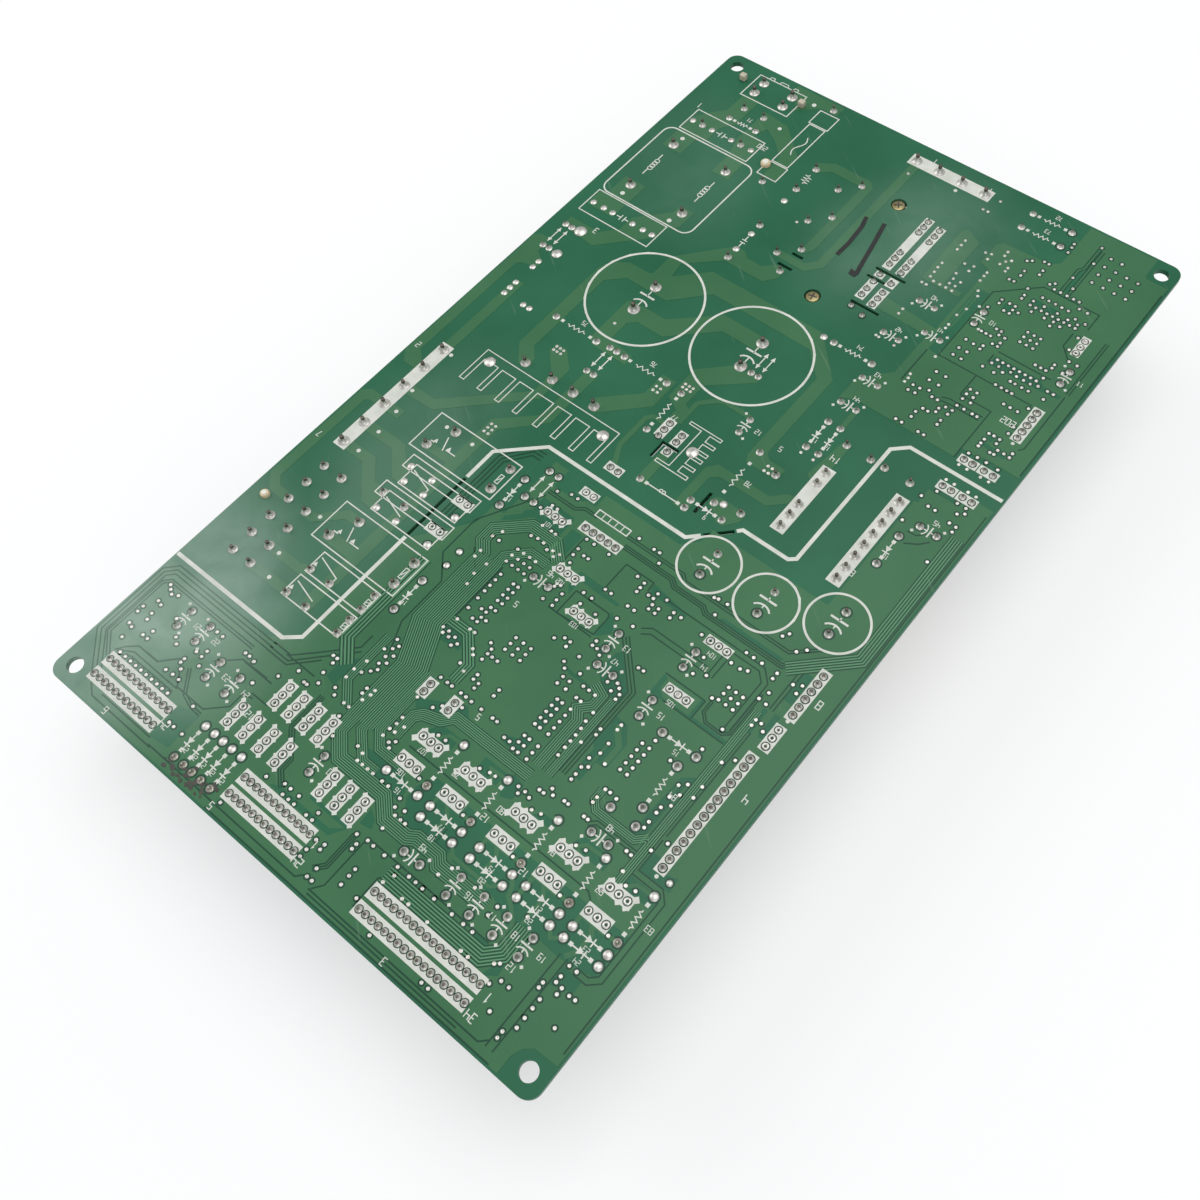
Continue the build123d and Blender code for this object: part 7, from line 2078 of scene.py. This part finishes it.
@dataclass
class PowerParts:
    """Film boxes, discs, fuse, relays, rectifier and the drive module."""

    film_boxes: tuple = ((-74.3, -47.5, 101.7, 111.9), (-77.0, -50.0, 56.2, 66.3))
    film_depth: float = 18.5
    fuse_x: float = -38.6
    fuse_z: float = -6.6
    leg_y: float = 2.5

    def boxes(self, palette: Palette) -> None:
        """Moulded cases with rounded edges."""
        yellow = Body()
        for x0, x1, y0, y1 in self.film_boxes:
            yellow.box(x0, x1, y0, y1, UNDERSIDE - 0.5, UNDERSIDE - self.film_depth, 0.7, 3)
            for x in (x0 + 0.8, x1 - 1.6):
                for y in (y0 + 0.8, y1 - 1.6):
                    yellow.box(x, x + 0.8, y, y + 0.8, UNDERSIDE, UNDERSIDE - 1.0, 0.1)
        yellow.piece("film_cases", palette["yellow_case"], "yellow_case",
                     "interference_capacitor_1", "interference_capacitor_2")
        fill = Body()
        for x0, x1, y0, y1 in self.film_boxes:
            fill.box(x0 + 1.0, x1 - 1.0, y0 + 1.0, y1 - 1.0, UNDERSIDE - 0.35,
                     UNDERSIDE - 1.0, 0.1)
        fill.piece("case_filling", palette["beige_nylon"], "yellow_case")
        dipped = Body()
        for x0, x1, y0, y1, depth in ((-31.0, -25.0, 66.2, 84.2, 13.0),
                                      (26.2, 31.8, -2.4, 15.8, 11.0)):
            dipped.box(x0, x1, y0, y1, UNDERSIDE, UNDERSIDE - depth, 2.2, 5)
        dipped.piece("dipped_capacitors", palette["brown_case"], "brown_case",
                     "pulse_capacitors")
        resonators = Body()
        for x0, x1, y0, y1 in ((70.3, 73.3, 94.7, 102.1), (12.1, 19.1, -50.0, -47.0),
                               (44.5, 51.5, -51.8, -48.8)):
            resonators.box(x0, x1, y0, y1, UNDERSIDE, UNDERSIDE - 5.5, 0.9, 4)
        resonators.piece("resonator_cases", palette["yellow_case"], "yellow_case",
                         "resonators")
        cement = Body()
        cement.box(-31.5, -24.5, 99.0, 114.0, UNDERSIDE - 1.0, UNDERSIDE - 9.0, 0.6, 2)
        cement.piece("surge_resistor_case", palette["cement"], "cement", "surge_resistor")
        leads = Body()
        for y in (111.7, 101.4):
            leads.wire([(-28.0, y, UNDERSIDE), (-28.0, y, UNDERSIDE - 1.4)], 0.4)
        leads.piece("surge_resistor_leads", palette["bright_pin"], "tinned_copper")

    def discs(self, palette: Palette) -> None:
        """Varistor and safety capacitors with their dipped coats."""
        coats = Body()
        for x, y, z, radius, thick in ((-58.5, 118.2, UNDERSIDE - 9.5, 7.5, 4.4),
                                       (42.45, 31.9, UNDERSIDE - 8.0, 5.0, 2.8),
                                       (54.65, 31.9, UNDERSIDE - 8.0, 5.0, 2.8)):
            bulge = thick * 0.32
            coats.turned([(0.0, thick), (radius * 0.72, thick), (radius - bulge, thick * 0.9),
                          (radius - bulge * 0.3, thick * 0.72), (radius, thick * 0.5),
                          (radius - bulge * 0.3, thick * 0.28), (radius - bulge, thick * 0.1),
                          (radius * 0.72, 0.0), (0.0, 0.0)], (x, y, z), "Y")
            reach = radius * 0.56 if radius > 6.0 else 3.9
            for side in (-1, 1):
                coats.wire([(x + side * reach, y + thick * 0.5, z + radius * 0.35),
                            (x + side * reach, y + thick * 0.5, z + radius * 0.9),
                            (x + side * reach, y + thick * 0.5, UNDERSIDE - 0.9)], 0.7, 10)
        coats.piece("disc_coats", palette["blue_coating"], "blue_coating", "varistor",
                    "safety_capacitors")
        legs = Body()
        for x, y in ((-62.7, 120.4), (-54.3, 120.4), (38.55, 33.3), (46.35, 33.3),
                     (50.75, 33.3), (58.55, 33.3)):
            legs.wire([(x, y, UNDERSIDE), (x, y, UNDERSIDE - 2.0)], 0.35)
        legs.piece("disc_legs", palette["bright_pin"], "tinned_copper")

    def fuse(self, palette: Palette) -> None:
        """Ceramic fuse with metal caps in spring clips."""
        tube = Body()
        tube.turned([(0.0, 0.0), (2.75, 0.0), (2.75, 19.9), (0.0, 19.9)],
                    (self.fuse_x, 107.05, self.fuse_z), "Y")
        tube.piece("fuse_body", palette["fuse_ceramic"], "fuse_ceramic", "fuse_tube")
        caps, clips = Body(), Body()
        for y, base in ((100.9, 100.6), (126.8, 127.0)):
            caps.turned([(0.0, 0.0), (2.6, 0.0), (3.0, 0.4), (3.0, 5.9), (2.6, 6.3), (0.0, 6.3)],
                        (self.fuse_x, y, self.fuse_z), "Y")
            clips.box(-42.3, -34.9, base, base + 6.4, UNDERSIDE, UNDERSIDE - 0.7, 0.15)
            for side in (-1, 1):
                clips.prism(rect(self.fuse_x + side * 3.62, self.fuse_x + side * 3.2,
                                 base + 0.6, base + 5.8), UNDERSIDE - 0.3, -10.2, 0.12)
        caps.piece("fuse_caps", palette["bright_pin"], "tinned_brass")
        clips.piece("fuse_spring_clips", palette["bright_pin"], "tinned_brass", "fuse_clips")

    def relays(self, palette: Palette) -> None:
        """Relay covers with a base line and a vent nib."""
        for name, boxes, slot in (
                ("relay_covers", ((-56.8, -26.4, -37.2, -24.0, 20.0),
                                  (-56.9, -26.4, -73.3, -60.1, 20.0)), "power_relays"),
                ("small_relay_covers", ((-50.2, -29.1, -81.7, -74.5, 15.0),
                                        (-50.3, -29.1, -89.9, -82.8, 15.0)),
                 "small_relays")):
            cover = Body()
            for x0, x1, y0, y1, depth in boxes:
                cover.box(x0 + 0.25, x1 - 0.25, y0 + 0.25, y1 - 0.25, UNDERSIDE,
                          UNDERSIDE - 1.8, 0.1)
                cover.box(x0, x1, y0, y1, UNDERSIDE - 1.2, UNDERSIDE - depth, 0.8, 3)
                cover.box(x0 + 1.4, x0 + 2.6, y1 - 2.8, y1 - 1.6, UNDERSIDE - depth + 0.4,
                          UNDERSIDE - depth - 0.25, 0.1)
            cover.piece(name, palette["black_plastic"], "black_plastic", slot)

    def rectifier(self, palette: Palette) -> None:
        """Bridge rectifier, solid state switch, their flat legs and screw, and the drive module's
        case.
        """
        cases = Body()
        cases.prism([(-49.5, -0.3), (-22.0, -0.3), (-22.0, 4.3), (-49.5, 4.3), (-52.0, 3.0),
                     (-52.0, 0.8)], -6.6, -26.6, 0.35, 2)
        cases.piece("rectifier_case", palette["black_epoxy"], "black_epoxy",
                    "bridge_rectifier")
        switch = Body()
        switch.box(-53.0, -28.0, -53.6, -49.1, UNDERSIDE - 1.0, UNDERSIDE - 21.0, 0.5, 3)
        switch.piece("switch_case", palette["black_epoxy"], "black_epoxy",
                     "solid_state_switch")
        legs = Body()
        for x, y, down in ([(x, self.leg_y, -6.8) for x in (-49.7, -39.6, -31.9, -24.2)]
                           + [(-51.0, -52.3, -2.8), (-43.1, -52.4, -2.8),
                              (-32.7, -52.4, -2.8), (-30.1, -52.4, -2.8)]):
            legs.box(x - 0.6, x + 0.6, y - 0.3, y + 0.3, UNDERSIDE, down, 0.08, 1)
        legs.piece("flat_legs", palette["bright_pin"], "tinned_copper")
        screw = Body()
        screw.turned([(0.0, 0.0), (3.0, 0.0), (3.0, 0.5), (2.6, 1.5), (1.6, 2.1), (0.8, 2.2),
                      (0.7, 1.3), (0.0, 1.3)], (-37.0, 4.3, -15.6), "Y", 28)
        screw.piece("round_screw", palette["zinc_steel"], "zinc_steel", "rectifier_screw")
        module = Body()
        module.prism([(-9.85, 65.95), (-1.15, 65.95), (-1.15, 72.0), (2.45, 72.0),
                      (2.45, 65.95), (11.15, 65.95), (11.15, 118.45), (2.45, 118.45),
                      (2.45, 112.4), (-1.15, 112.4), (-1.15, 118.45), (-9.85, 118.45)],
                     -6.0, -11.5, 0.4, 2)
        module.piece("module_case", palette["black_epoxy"], "black_epoxy", "power_module")

    def build(self, palette: Palette) -> None:
        """Make all of them.

        Args:
            palette: the board's materials.
        """
        self.boxes(palette)
        self.discs(palette)
        self.fuse(palette)
        self.relays(palette)
        self.rectifier(palette)


@dataclass
class AxialParts:
    """Resistors, diodes, jumpers and the bead, with bent leads."""

    resistors: list[tuple[Point, Point]] = field(default_factory=lambda: [
        ((-62, 114.3), (-55, 114.3)), ((37.9, 134.3), (44.9, 134.3)),
        ((37.9, 127.7), (44.9, 127.7)), ((18.5, 59.6), (25.5, 59.6)),
        ((-49.8, 20.3), (-42.8, 20.3)), ((-24.4, 20.6), (-17.4, 20.6)),
        ((-7.7, 9.2), (-7.7, 16.2)), ((21.4, 4), (21.4, 11)), ((15.8, -101), (15.8, -94)),
        ((30, -101), (30, -94)), ((60.1, -101), (60.1, -94)), ((59.2, -74.2), (59.2, -67.2))])
    diodes: list[tuple[Point, Point]] = field(default_factory=lambda: [
        ((19.5, -5.3), (22.7, -5.3)), ((65.3, 11.2), (65.3, 14.8)), ((30.15, 28.9), (30.15, 33.9)),
        ((34.15, 28.9), (34.15, 33.9)), ((-23.3, -34.2), (-23.3, -29.2)),
        ((-23.6, -72.9), (-23.6, -67.9)), ((53.7, -60), (58.7, -60)),
        ((8.1, -106.7), (13.1, -106.7)), ((38.2, -106.8), (43.2, -106.8)),
        ((52.5, -110), (57.5, -110))])
    jumpers: list[tuple[Point, Point]] = field(default_factory=lambda: [
        ((-75.7, 49.1), (-75.7, 38.8)), ((-73.3, 49.1), (-73.3, 38.8)), ((-34, 20.8), (-34, 10.7)),
        ((-31.5, 20.8), (-31.5, 10.7)), ((-19.7, -20.8), (-19.7, -30.7)),
        ((-16.6, -20.8), (-16.6, -30.7))])

    @staticmethod
    def lay(body: Body, start: Point, end: Point, level: float,
            profile: list[Point]) -> None:
        """Lay a turned shape between two holes; the profile runs from 0 to 1 along it."""
        length = math.dist(start, end)
        axis = "X" if abs(end[0] - start[0]) > abs(end[1] - start[1]) else "Y"
        low = (min(start[0], end[0]), min(start[1], end[1]), level)
        body.turned([(radius, along * length) for radius, along in profile], low, axis, 20)

    @staticmethod
    def leads(body: Body, start: Point, end: Point, level: float, reach: float,
              radius: float) -> None:
        """Bend a lead from each hole into the body or across to the other hole."""
        a, b = Vector((*start, 0.0)), Vector((*end, 0.0))
        way = (b - a).normalized()
        for hole, inward in ((a, way), (b, -way)):
            up, down = Vector((0.0, 0.0, UNDERSIDE)), Vector((0.0, 0.0, level))
            foot = hole - inward * reach
            body.wire([tuple(foot + up), tuple(foot + down * 0.75 + up * 0.25),
                       tuple(foot + inward * 0.3 + down), tuple(foot + inward * (reach + 2.0)
                                                                + down)], radius)

    def build(self, palette: Palette) -> None:
        """Make the bodies, their bands and their leads.

        Args:
            palette: the board's materials.
        """
        bodies, bands, leads = Body(), Body(), Body()
        for start, end in self.resistors:
            level = UNDERSIDE - 1.25
            self.lay(bodies, start, end, level, [
                (0.0, 0.02), (0.7, 0.02), (1.15, 0.06), (1.25, 0.12), (1.2, 0.20),
                (0.98, 0.26), (0.98, 0.74), (1.2, 0.80), (1.25, 0.88), (1.15, 0.94),
                (0.7, 0.98), (0.0, 0.98)])
            for at, wide, radius in ((0.11, 0.06, 1.27), (0.34, 0.05, 1.0), (0.45, 0.05, 1.0),
                                     (0.58, 0.05, 1.0), (0.86, 0.06, 1.27)):
                self.lay(bands, start, end, level, [(0.9, at), (radius, at),
                                                    (radius, at + wide), (0.9, at + wide)])
            self.leads(leads, start, end, level, 1.2, 0.3)
        bodies.piece("resistor_bodies", palette["resistor_coating"], "resistor_coating",
                     "axial_resistors")
        bands.piece("resistor_bands", palette["band_ink"], "resistor_coating")
        cases, rings = Body(), Body()
        for start, end in self.diodes:
            level = UNDERSIDE - 1.35
            self.lay(cases, start, end, level, [(0.0, 0.0), (1.2, 0.0), (1.35, 0.04),
                                                (1.35, 0.96), (1.2, 1.0), (0.0, 1.0)])
            self.lay(rings, start, end, level, [(1.2, 0.12), (1.38, 0.12), (1.38, 0.26),
                                                (1.2, 0.26)])
            self.leads(leads, start, end, level, 1.2, 0.35)
        cases.piece("diode_cases", palette["black_epoxy"], "black_epoxy", "diodes")
        rings.piece("diode_rings", palette["sleeve_stripe"], "black_epoxy")
        for start, end in self.jumpers:
            self.leads(leads, start, end, UNDERSIDE - 0.4, 0.0, 0.3)
            leads.wire([(*start, UNDERSIDE - 0.4), (*end, UNDERSIDE - 0.4)], 0.3)
        leads.piece("bent_leads", palette["bright_pin"], "tinned_copper", "wire_jumpers")
        bead = Body()
        self.lay(bead, (4.6, -8.1), (12.6, -8.1), UNDERSIDE - 2.2, [
            (0.5, 0.0), (1.9, 0.0), (2.2, 0.05), (2.2, 0.95), (1.9, 1.0), (0.5, 1.0),
            (0.5, 0.0)])
        bead.piece("bead", palette["ferrite"], "ferrite", "ferrite_bead")


@dataclass
class LogicParts:
    """Chips with their legs, photocouplers, chip resistors and small transistors."""

    chips: list[tuple[float, float, float, int]] = field(default_factory=lambda: [
        (58.8, 92.4, 6, 16), (9, -64.6, 8, 20), (58.7, -43.4, 5, 12)])
    transistors: list[Point] = field(default_factory=lambda: [
        (9, -95.5), (8.7, -102.3), (-9.1, -30.6), (4.8, -41.4), (47.9, -34.3)])
    couplers: tuple = ((65.2, 69.0, 37.6, 47.6), (71.3, 75.1, 37.6, 47.6),
                       (-8.6, -4.1, -19.8, -10.2))
    leg_pitch: float = 1.27
    edge_room: float = 0.7
    seed: int = 7

    @staticmethod
    def leg() -> bpy.types.Mesh:
        """Gull-wing leg that leaves a case along +x."""
        leg = Body()
        side = [(0.0, 0.75), (0.45, 0.75), (0.75, 0.16), (1.3, 0.16), (1.3, 0.0), (0.62, 0.0),
                (0.35, 0.58), (0.0, 0.58)]
        half = 0.14
        leg.close([[leg.shape.verts.new((x, y, -z)) for x, z in side] for y in (-half, half)],
                  0.0, 1)
        return to_mesh(leg.shape, "leg", False)

    def build(self, palette: Palette, repeat: Repeat, work: SolderWork) -> None:
        """Make the logic parts.

        Args:
            palette: the board's materials.
            repeat: the tree that sets copies.
            work: the joints, for the places of the chip parts.
        """
        cases, dots, legs = Body(), Body(), []
        for x, y, half, count in self.chips:
            cases.box(x - half, x + half, y - half, y + half, UNDERSIDE - 0.1,
                      UNDERSIDE - 1.6, 0.25)
            dots.turned([(0.0, UNDERSIDE - 1.5), (0.6, UNDERSIDE - 1.5),
                         (0.6, UNDERSIDE - 1.63), (0.0, UNDERSIDE - 1.63)],
                        (x - half + 1.5, y - half + 1.5, 0.0), sides=16)
            pitch = 2 * (half - self.edge_room) / (count - 1)
            for number in range(count):
                along = self.edge_room - half + pitch * number
                for turn in range(4):
                    angle = math.radians(90 * turn)
                    legs.append(Place(x + half * math.cos(angle) - along * math.sin(angle),
                                      y + half * math.sin(angle) + along * math.cos(angle),
                                      turn=90.0 * turn))
        cases.piece("chip_cases", palette["black_epoxy"], "black_epoxy", "microcontrollers")
        dots.piece("chip_dots", palette["sleeve_stripe"], "black_epoxy")
        couplers = Body()
        for x0, x1, y0, y1 in self.couplers:
            couplers.box(x0, x1, y0, y1, UNDERSIDE - 0.3, UNDERSIDE - 3.6, 0.35)
            for y in (y0 + 1.4, y1 - 1.4):
                legs += [Place(x0, y, 1.4, 180.0), Place(x1, y, 1.4)]
        couplers.piece("coupler_cases", palette["white_plastic"], "white_plastic",
                       "photocouplers")
        repeat.spread("chip_legs", self.leg(), legs, UNDERSIDE, palette["bright_pin"],
                      "tinned_copper")
        bodies, wires = Body(), Body()
        for x, y in self.transistors:
            outline = [(x - 2.2, y - 1.4), (x + 2.2, y - 1.4)] + around(
                x, y - 0.3, 2.3, range(0, 181, 15))
            bodies.prism(outline, UNDERSIDE - 2.4, UNDERSIDE - 7.0, 0.15)
            for across in (-self.leg_pitch, 0.0, self.leg_pitch):
                wires.wire([(x + across * 1.6, y, UNDERSIDE), (x + across, y, UNDERSIDE - 1.4),
                            (x + across, y, UNDERSIDE - 2.6)], 0.22, 6)
        bodies.piece("transistor_cases", palette["black_epoxy"], "black_epoxy",
                     "transistors")
        wires.piece("transistor_legs", palette["bright_pin"], "tinned_copper")
        draw = random.Random(self.seed)
        places = [Place(x, y, 1.0, draw.choice((0.0, 90.0))) for x, y in work.chip_parts()]
        tip = Body()
        for side in (-1, 1):
            tip.box(side * 1.0 - 0.2, side * 1.0 + 0.2, -0.42, 0.42, 0.0, -0.52, 0.06, 1)
        core = Body()
        core.box(-0.82, 0.82, -0.40, 0.40, 0.0, -0.5, 0.05, 1)
        for name, source, finish in (("chip_part_ends", tip, "bright_pin"),
                                     ("chip_part_bodies", core, "chip_ceramic")):
            repeat.spread(name, to_mesh(source.shape, name, False), places, UNDERSIDE,
                          palette[finish], "black_epoxy")


@dataclass
class HeaderShells:
    """Pin headers and plugs seen from the component side."""

    shell_y: Point = (-137.0, -124.8)
    pin_rows: Point = (-128.4, -133.4)
    end_room: float = 2.6
    shell_depth: float = 9.0
    wafer_depth: float = 3.2
    rib_pitch: float = 4.5
    pin_half: float = 0.32

    signal: list[tuple[str, float, float, int, str, str]] = field(default_factory=lambda: [
        ("signal_header_left", -70.6, -48, 12, "white_plastic", "white_plastic"),
        ("signal_header_middle", -19.9, 2.6, 12, "blue_plastic", "blue_plastic"),
        ("signal_header_right", 24, 56.5, 17, "white_plastic", "white_plastic")])
    side_rows: list[list[Point]] = field(default_factory=lambda: [
        row(73.3, 61.9, 0, 2.52, 5), row(72.9, -37.9, 0, 2.5, 6), row(71.6, -85, 0, 2.485, 14)])

    def build(self, palette: Palette, repeat: Repeat) -> None:
        """Make shells and square pins.

        Args:
            palette: the board's materials.
            repeat: the tree that sets copies.
        """
        low = UNDERSIDE - self.shell_depth
        y0, y1 = self.shell_y
        pins = []
        for name, first, last, count, finish, slot in self.signal:
            shell = Body()
            x0, x1 = first - self.end_room, last + self.end_room
            middle = (x0 + x1) / 2
            shell.box(x0 + 0.4, x1 - 0.4, y0 + 0.4, y1 - 0.4, UNDERSIDE - 0.2,
                      UNDERSIDE - 2.6, 0.2)
            shell.box(x0, x1, y1 - 1.1, y1, UNDERSIDE, low, 0.25)
            for a, b in ((x0, middle - 3.0), (middle + 3.0, x1)):
                shell.box(a, b, y0, y0 + 1.1, UNDERSIDE, low, 0.25)
            shell.box(middle - 3.4, middle + 3.4, y0 + 0.08, y0 + 1.02, UNDERSIDE,
                      UNDERSIDE - 5.0, 0.15)
            for x in (x0 + 0.05, x1 - 1.1):
                shell.box(x, x + 1.05, y0 + 0.6, y1 - 0.6, UNDERSIDE, low + 0.06, 0.2)
            ribs = int((x1 - x0) / self.rib_pitch)
            for number in range(1, ribs):
                x = x0 + (x1 - x0) * number / ribs
                if abs(x - middle) > 4.0:
                    shell.box(x - 0.4, x + 0.4, y0 - 0.25, y0 + 0.6, UNDERSIDE - 1.0,
                              low + 0.8, 0.15, 1)
                shell.box(x - 0.4, x + 0.4, y1 - 0.6, y1 + 0.25, UNDERSIDE - 1.0, low + 0.8,
                          0.15, 1)
            shell.piece(name + "_shell", palette[finish], slot, name)
            pitch = (last - first) / (count - 1)
            for y in self.pin_rows:
                pins += row(first, y, pitch, 0, count)
        wafers = Body()
        side_pins = row(-0.5, -28.3, 2.53, 0, 5)
        for places in self.side_rows:
            x, low_y, high_y = places[0][0], places[0][1] - 1.4, places[-1][1] + 1.4
            wafers.box(x - 2.6, x + 2.6, low_y, high_y,
                       UNDERSIDE, UNDERSIDE - self.wafer_depth, 0.3)
            wafers.box(x - 2.54, x - 1.6, low_y + 0.3, high_y - 0.3, UNDERSIDE - 2.4,
                       low, 0.3)
            side_pins += places
        wafers.box(-2.1, 11.1, -31.0, -25.8, UNDERSIDE, UNDERSIDE - self.wafer_depth, 0.3)
        wafers.piece("wafers", palette["white_plastic"], "white_plastic", "side_headers")
        for name, places, start, long, node in (
                ("shell_pins", pins, 2.6, 5.4, "signal_header_pins"),
                ("wafer_pins", side_pins, self.wafer_depth, 5.8, "side_header_pins")):
            pin = Body()
            half = self.pin_half
            pin.prism(rect(-half, half, -half, half), -start, -start - long, 0.12)
            repeat.spread(name, to_mesh(pin.shape, name, False),
                          [Place(x, y) for x, y in places], UNDERSIDE, palette["bright_pin"],
                          "tinned_brass", node)


@dataclass
class UnderPrint:
    """Printed outlines and copper on the component side."""

    line: float = 0.22

    boxes: list[tuple[float, float, float, float]] = field(default_factory=lambda: [
        (-74.9, -46.9, 101.1, 112.5), (-77.6, -49.4, 55.6, 66.9), (-57.6, -25.8, -37.9, -23.4),
        (-57.6, -25.8, -74, -59.5), (-50.9, -28.5, -82.2, -74), (-50.9, -28.5, -90.4, -82.4),
        (36.6, 62.4, -7.4, 31.9), (-74, -46.4, 67.4, 100.4), (-53.6, -27.4, -54.2, -48.5),
        (-32.2, -23.8, 98.3, 114.7), (-43, -34.2, 99.9, 134.1), (52.2, 65.4, 85.8, 99),
        (0.4, 17.6, -73.2, -56), (53.1, 64.3, -49, -37.8)])

    def build(self, palette: Palette) -> None:
        """Print the outlines.

        Args:
            palette: the board's materials.
        """
        ink = Relief(UNDERSIDE - 0.05, UNDERSIDE + 0.02)
        for x0, x1, y0, y1 in self.boxes:
            ink.line(rect(x0, x1, y0, y1), self.line, closed=True)
        for x, y in CAPS_UPRIGHT + CAPS_LEVEL:
            ink.ring(x, y, 3.5, self.line)
        for x, y in Cans().output:
            ink.ring(x, y, 8.7, 0.25, 40)
        for x, y in Cans().bulk:
            ink.ring(x, y, 18.0, 0.3, 60)
        ink.piece("under_print", palette["print_ink"], "white_print")
        copper = Relief(UNDERSIDE - 0.03, UNDERSIDE + 0.02)
        for outline in ([(-34.0, -59.0), (-24.5, -44.0), (-24.5, -22.0), (24.0, -28.0),
                         (76.0, -28.0), (79.5, -30.0), (79.5, -128.0), (70.0, -138.0),
                         (-70.0, -138.0), (-79.5, -128.0), (-79.5, -104.0), (-36.0, -100.0)],
                        [(44.0, 50.0), (79.5, 50.0), (79.5, 128.0), (70.0, 138.0),
                         (52.0, 138.0), (44.0, 120.0)],
                        [(-72.0, 28.0), (-30.0, 28.0), (-24.0, 22.0), (-24.0, 8.0),
                         (-72.0, 8.0)]):
            copper.polygon(outline)
        copper.piece("under_copper", palette["mask_on_copper"], "coated_copper")


# -------------------------------------------------------------------- camera and studio


@dataclass(frozen=True)
class Studio:
    """Camera, lamps and the pale floor."""

    azimuth: float = 42.79
    elevation: float = 61.69
    roll: float = -5.03
    distance: float = 299.5
    target: tuple[float, float, float] = (34.89, -24.83, 0.0)
    lens: float = 35.86
    sensor: float = 36.0
    shift: Point = (-0.0842, -0.0074)
    floor_half: float = 3.0

    def camera(self) -> None:
        """Set the camera at the viewing angle."""
        azimuth, elevation, roll = map(math.radians, (self.azimuth, self.elevation, self.roll))
        back = Vector((math.sin(azimuth) * math.cos(elevation),
                       -math.cos(azimuth) * math.cos(elevation), math.sin(elevation)))
        right = Vector((math.cos(azimuth), math.sin(azimuth), 0.0))
        up = back.cross(right)
        turned_right = right * math.cos(roll) + up * math.sin(roll)
        turned_up = up * math.cos(roll) - right * math.sin(roll)
        lens = bpy.data.cameras.new("camera")
        lens.lens = self.lens
        lens.sensor_width = self.sensor
        lens.shift_x, lens.shift_y = self.shift
        lens.clip_start = 0.01
        camera = bpy.data.objects.new("camera", lens)
        bpy.context.scene.collection.objects.link(camera)
        spot = (Vector(self.target) + back * self.distance) * MM
        turn = Matrix((turned_right, turned_up, back)).transposed()
        camera.matrix_world = Matrix.Translation(spot) @ turn.to_4x4()
        bpy.context.scene.camera = camera

    def lamps(self) -> None:
        """Soft boxes above and to the sides, and an even sky."""
        for name, place, size, power in (
                ("top", (0.1, 0.25, 1.1), 0.9, 6.4), ("left", (-1.0, -0.2, 0.8), 0.8, 3.9),
                ("right", (0.9, -0.8, 0.7), 0.8, 2.9)):
            light = bpy.data.lights.new(name, "AREA")
            light.energy = power
            light.size = size
            lamp = bpy.data.objects.new(name, light)
            bpy.context.scene.collection.objects.link(lamp)
            lamp.location = place
            lamp.rotation_euler = Vector(place).to_track_quat("Z", "Y").to_euler()
        world = bpy.data.worlds.new("studio")
        bpy.context.scene.world = world
        world.use_nodes = True
        graph = Graph(world.node_tree)
        sky, surface = (world.node_tree.nodes[name] for name in ("Background", "World Output"))
        sky.inputs["Color"].default_value = (0.95, 0.97, 1.0, 1.0)
        sky.inputs["Strength"].default_value = 0.50
        plain = graph.node("ShaderNodeBackground",
                           {"Color": (1.0, 1.0, 1.0, 1.0), "Strength": 1.0})
        rays = graph.node("ShaderNodeLightPath")
        mix = graph.node("ShaderNodeMixShader")
        graph.join((rays, "Is Camera Ray", mix, "Fac"), (sky, "Background", mix, 1),
                   (plain, "Background", mix, 2), (mix, "Shader", surface, "Surface"))

    def floor(self) -> None:
        """Pale floor under the board's tallest parts."""
        low = CAD_BOX[0][2]
        half = self.floor_half
        mesh = bpy.data.meshes.new("floor")
        mesh.from_pydata([(x, y, low) for x, y in rect(-half, half, -half, half)], [],
                         [(0, 1, 2, 3)])
        material, graph, shader = new_material("floor", {
            "Roughness": 0.8, "Specular IOR Level": 0.1, "Base Color": (0.96, 0.96, 0.96, 1.0)})
        place = graph.node("ShaderNodeTexCoord")
        distance = graph.node("ShaderNodeVectorMath", operation="LENGTH")
        fade = graph.node("ShaderNodeMapRange",
                          {"From Min": 0.20, "From Max": 0.46, "To Min": 0.45},
                          interpolation_type="SMOOTHSTEP")
        rays = graph.node("ShaderNodeLightPath")
        seen = graph.node("ShaderNodeMath", operation="MULTIPLY")
        white = graph.node("ShaderNodeEmission")
        mix = graph.node("ShaderNodeMixShader")
        surface = material.node_tree.nodes["Material Output"]
        graph.join((place, "Object", distance, 0), (distance, "Value", fade, "Value"),
                   (fade, "Result", seen, 0), (rays, "Is Camera Ray", seen, 1),
                   (seen, "Value", mix, "Fac"), (shader, "BSDF", mix, 1),
                   (white, "Emission", mix, 2), (mix, "Shader", surface, "Surface"))
        mesh.materials.append(material)
        floor = bpy.data.objects.new("floor", mesh)
        bpy.context.scene.collection.objects.link(floor)

    def build(self) -> None:
        """Set up the whole studio."""
        bpy.context.scene.view_settings.view_transform = "Standard"
        self.camera()
        self.lamps()
        self.floor()


def main() -> None:
    """Dress the board and set up the studio."""
    logging.basicConfig(level=logging.INFO, format="%(name)s %(message)s")
    palette = Palette()
    palette.dress_nodes()
    repeat = Repeat()
    work = SolderWork()
    FineCopper().build(palette, repeat, work.pads())
    Legend().build(palette, work)
    work.build(palette, repeat)
    Marker().build(palette)
    Pegs().build(palette)
    Cans().build(palette)
    Windings().build(palette, repeat)
    PowerParts().build(palette)
    AxialParts().build(palette)
    LogicParts().build(palette, repeat, work)
    HeaderShells().build(palette, repeat)
    UnderPrint().build(palette)
    Studio().build()


if __name__ == "__main__":
    main()
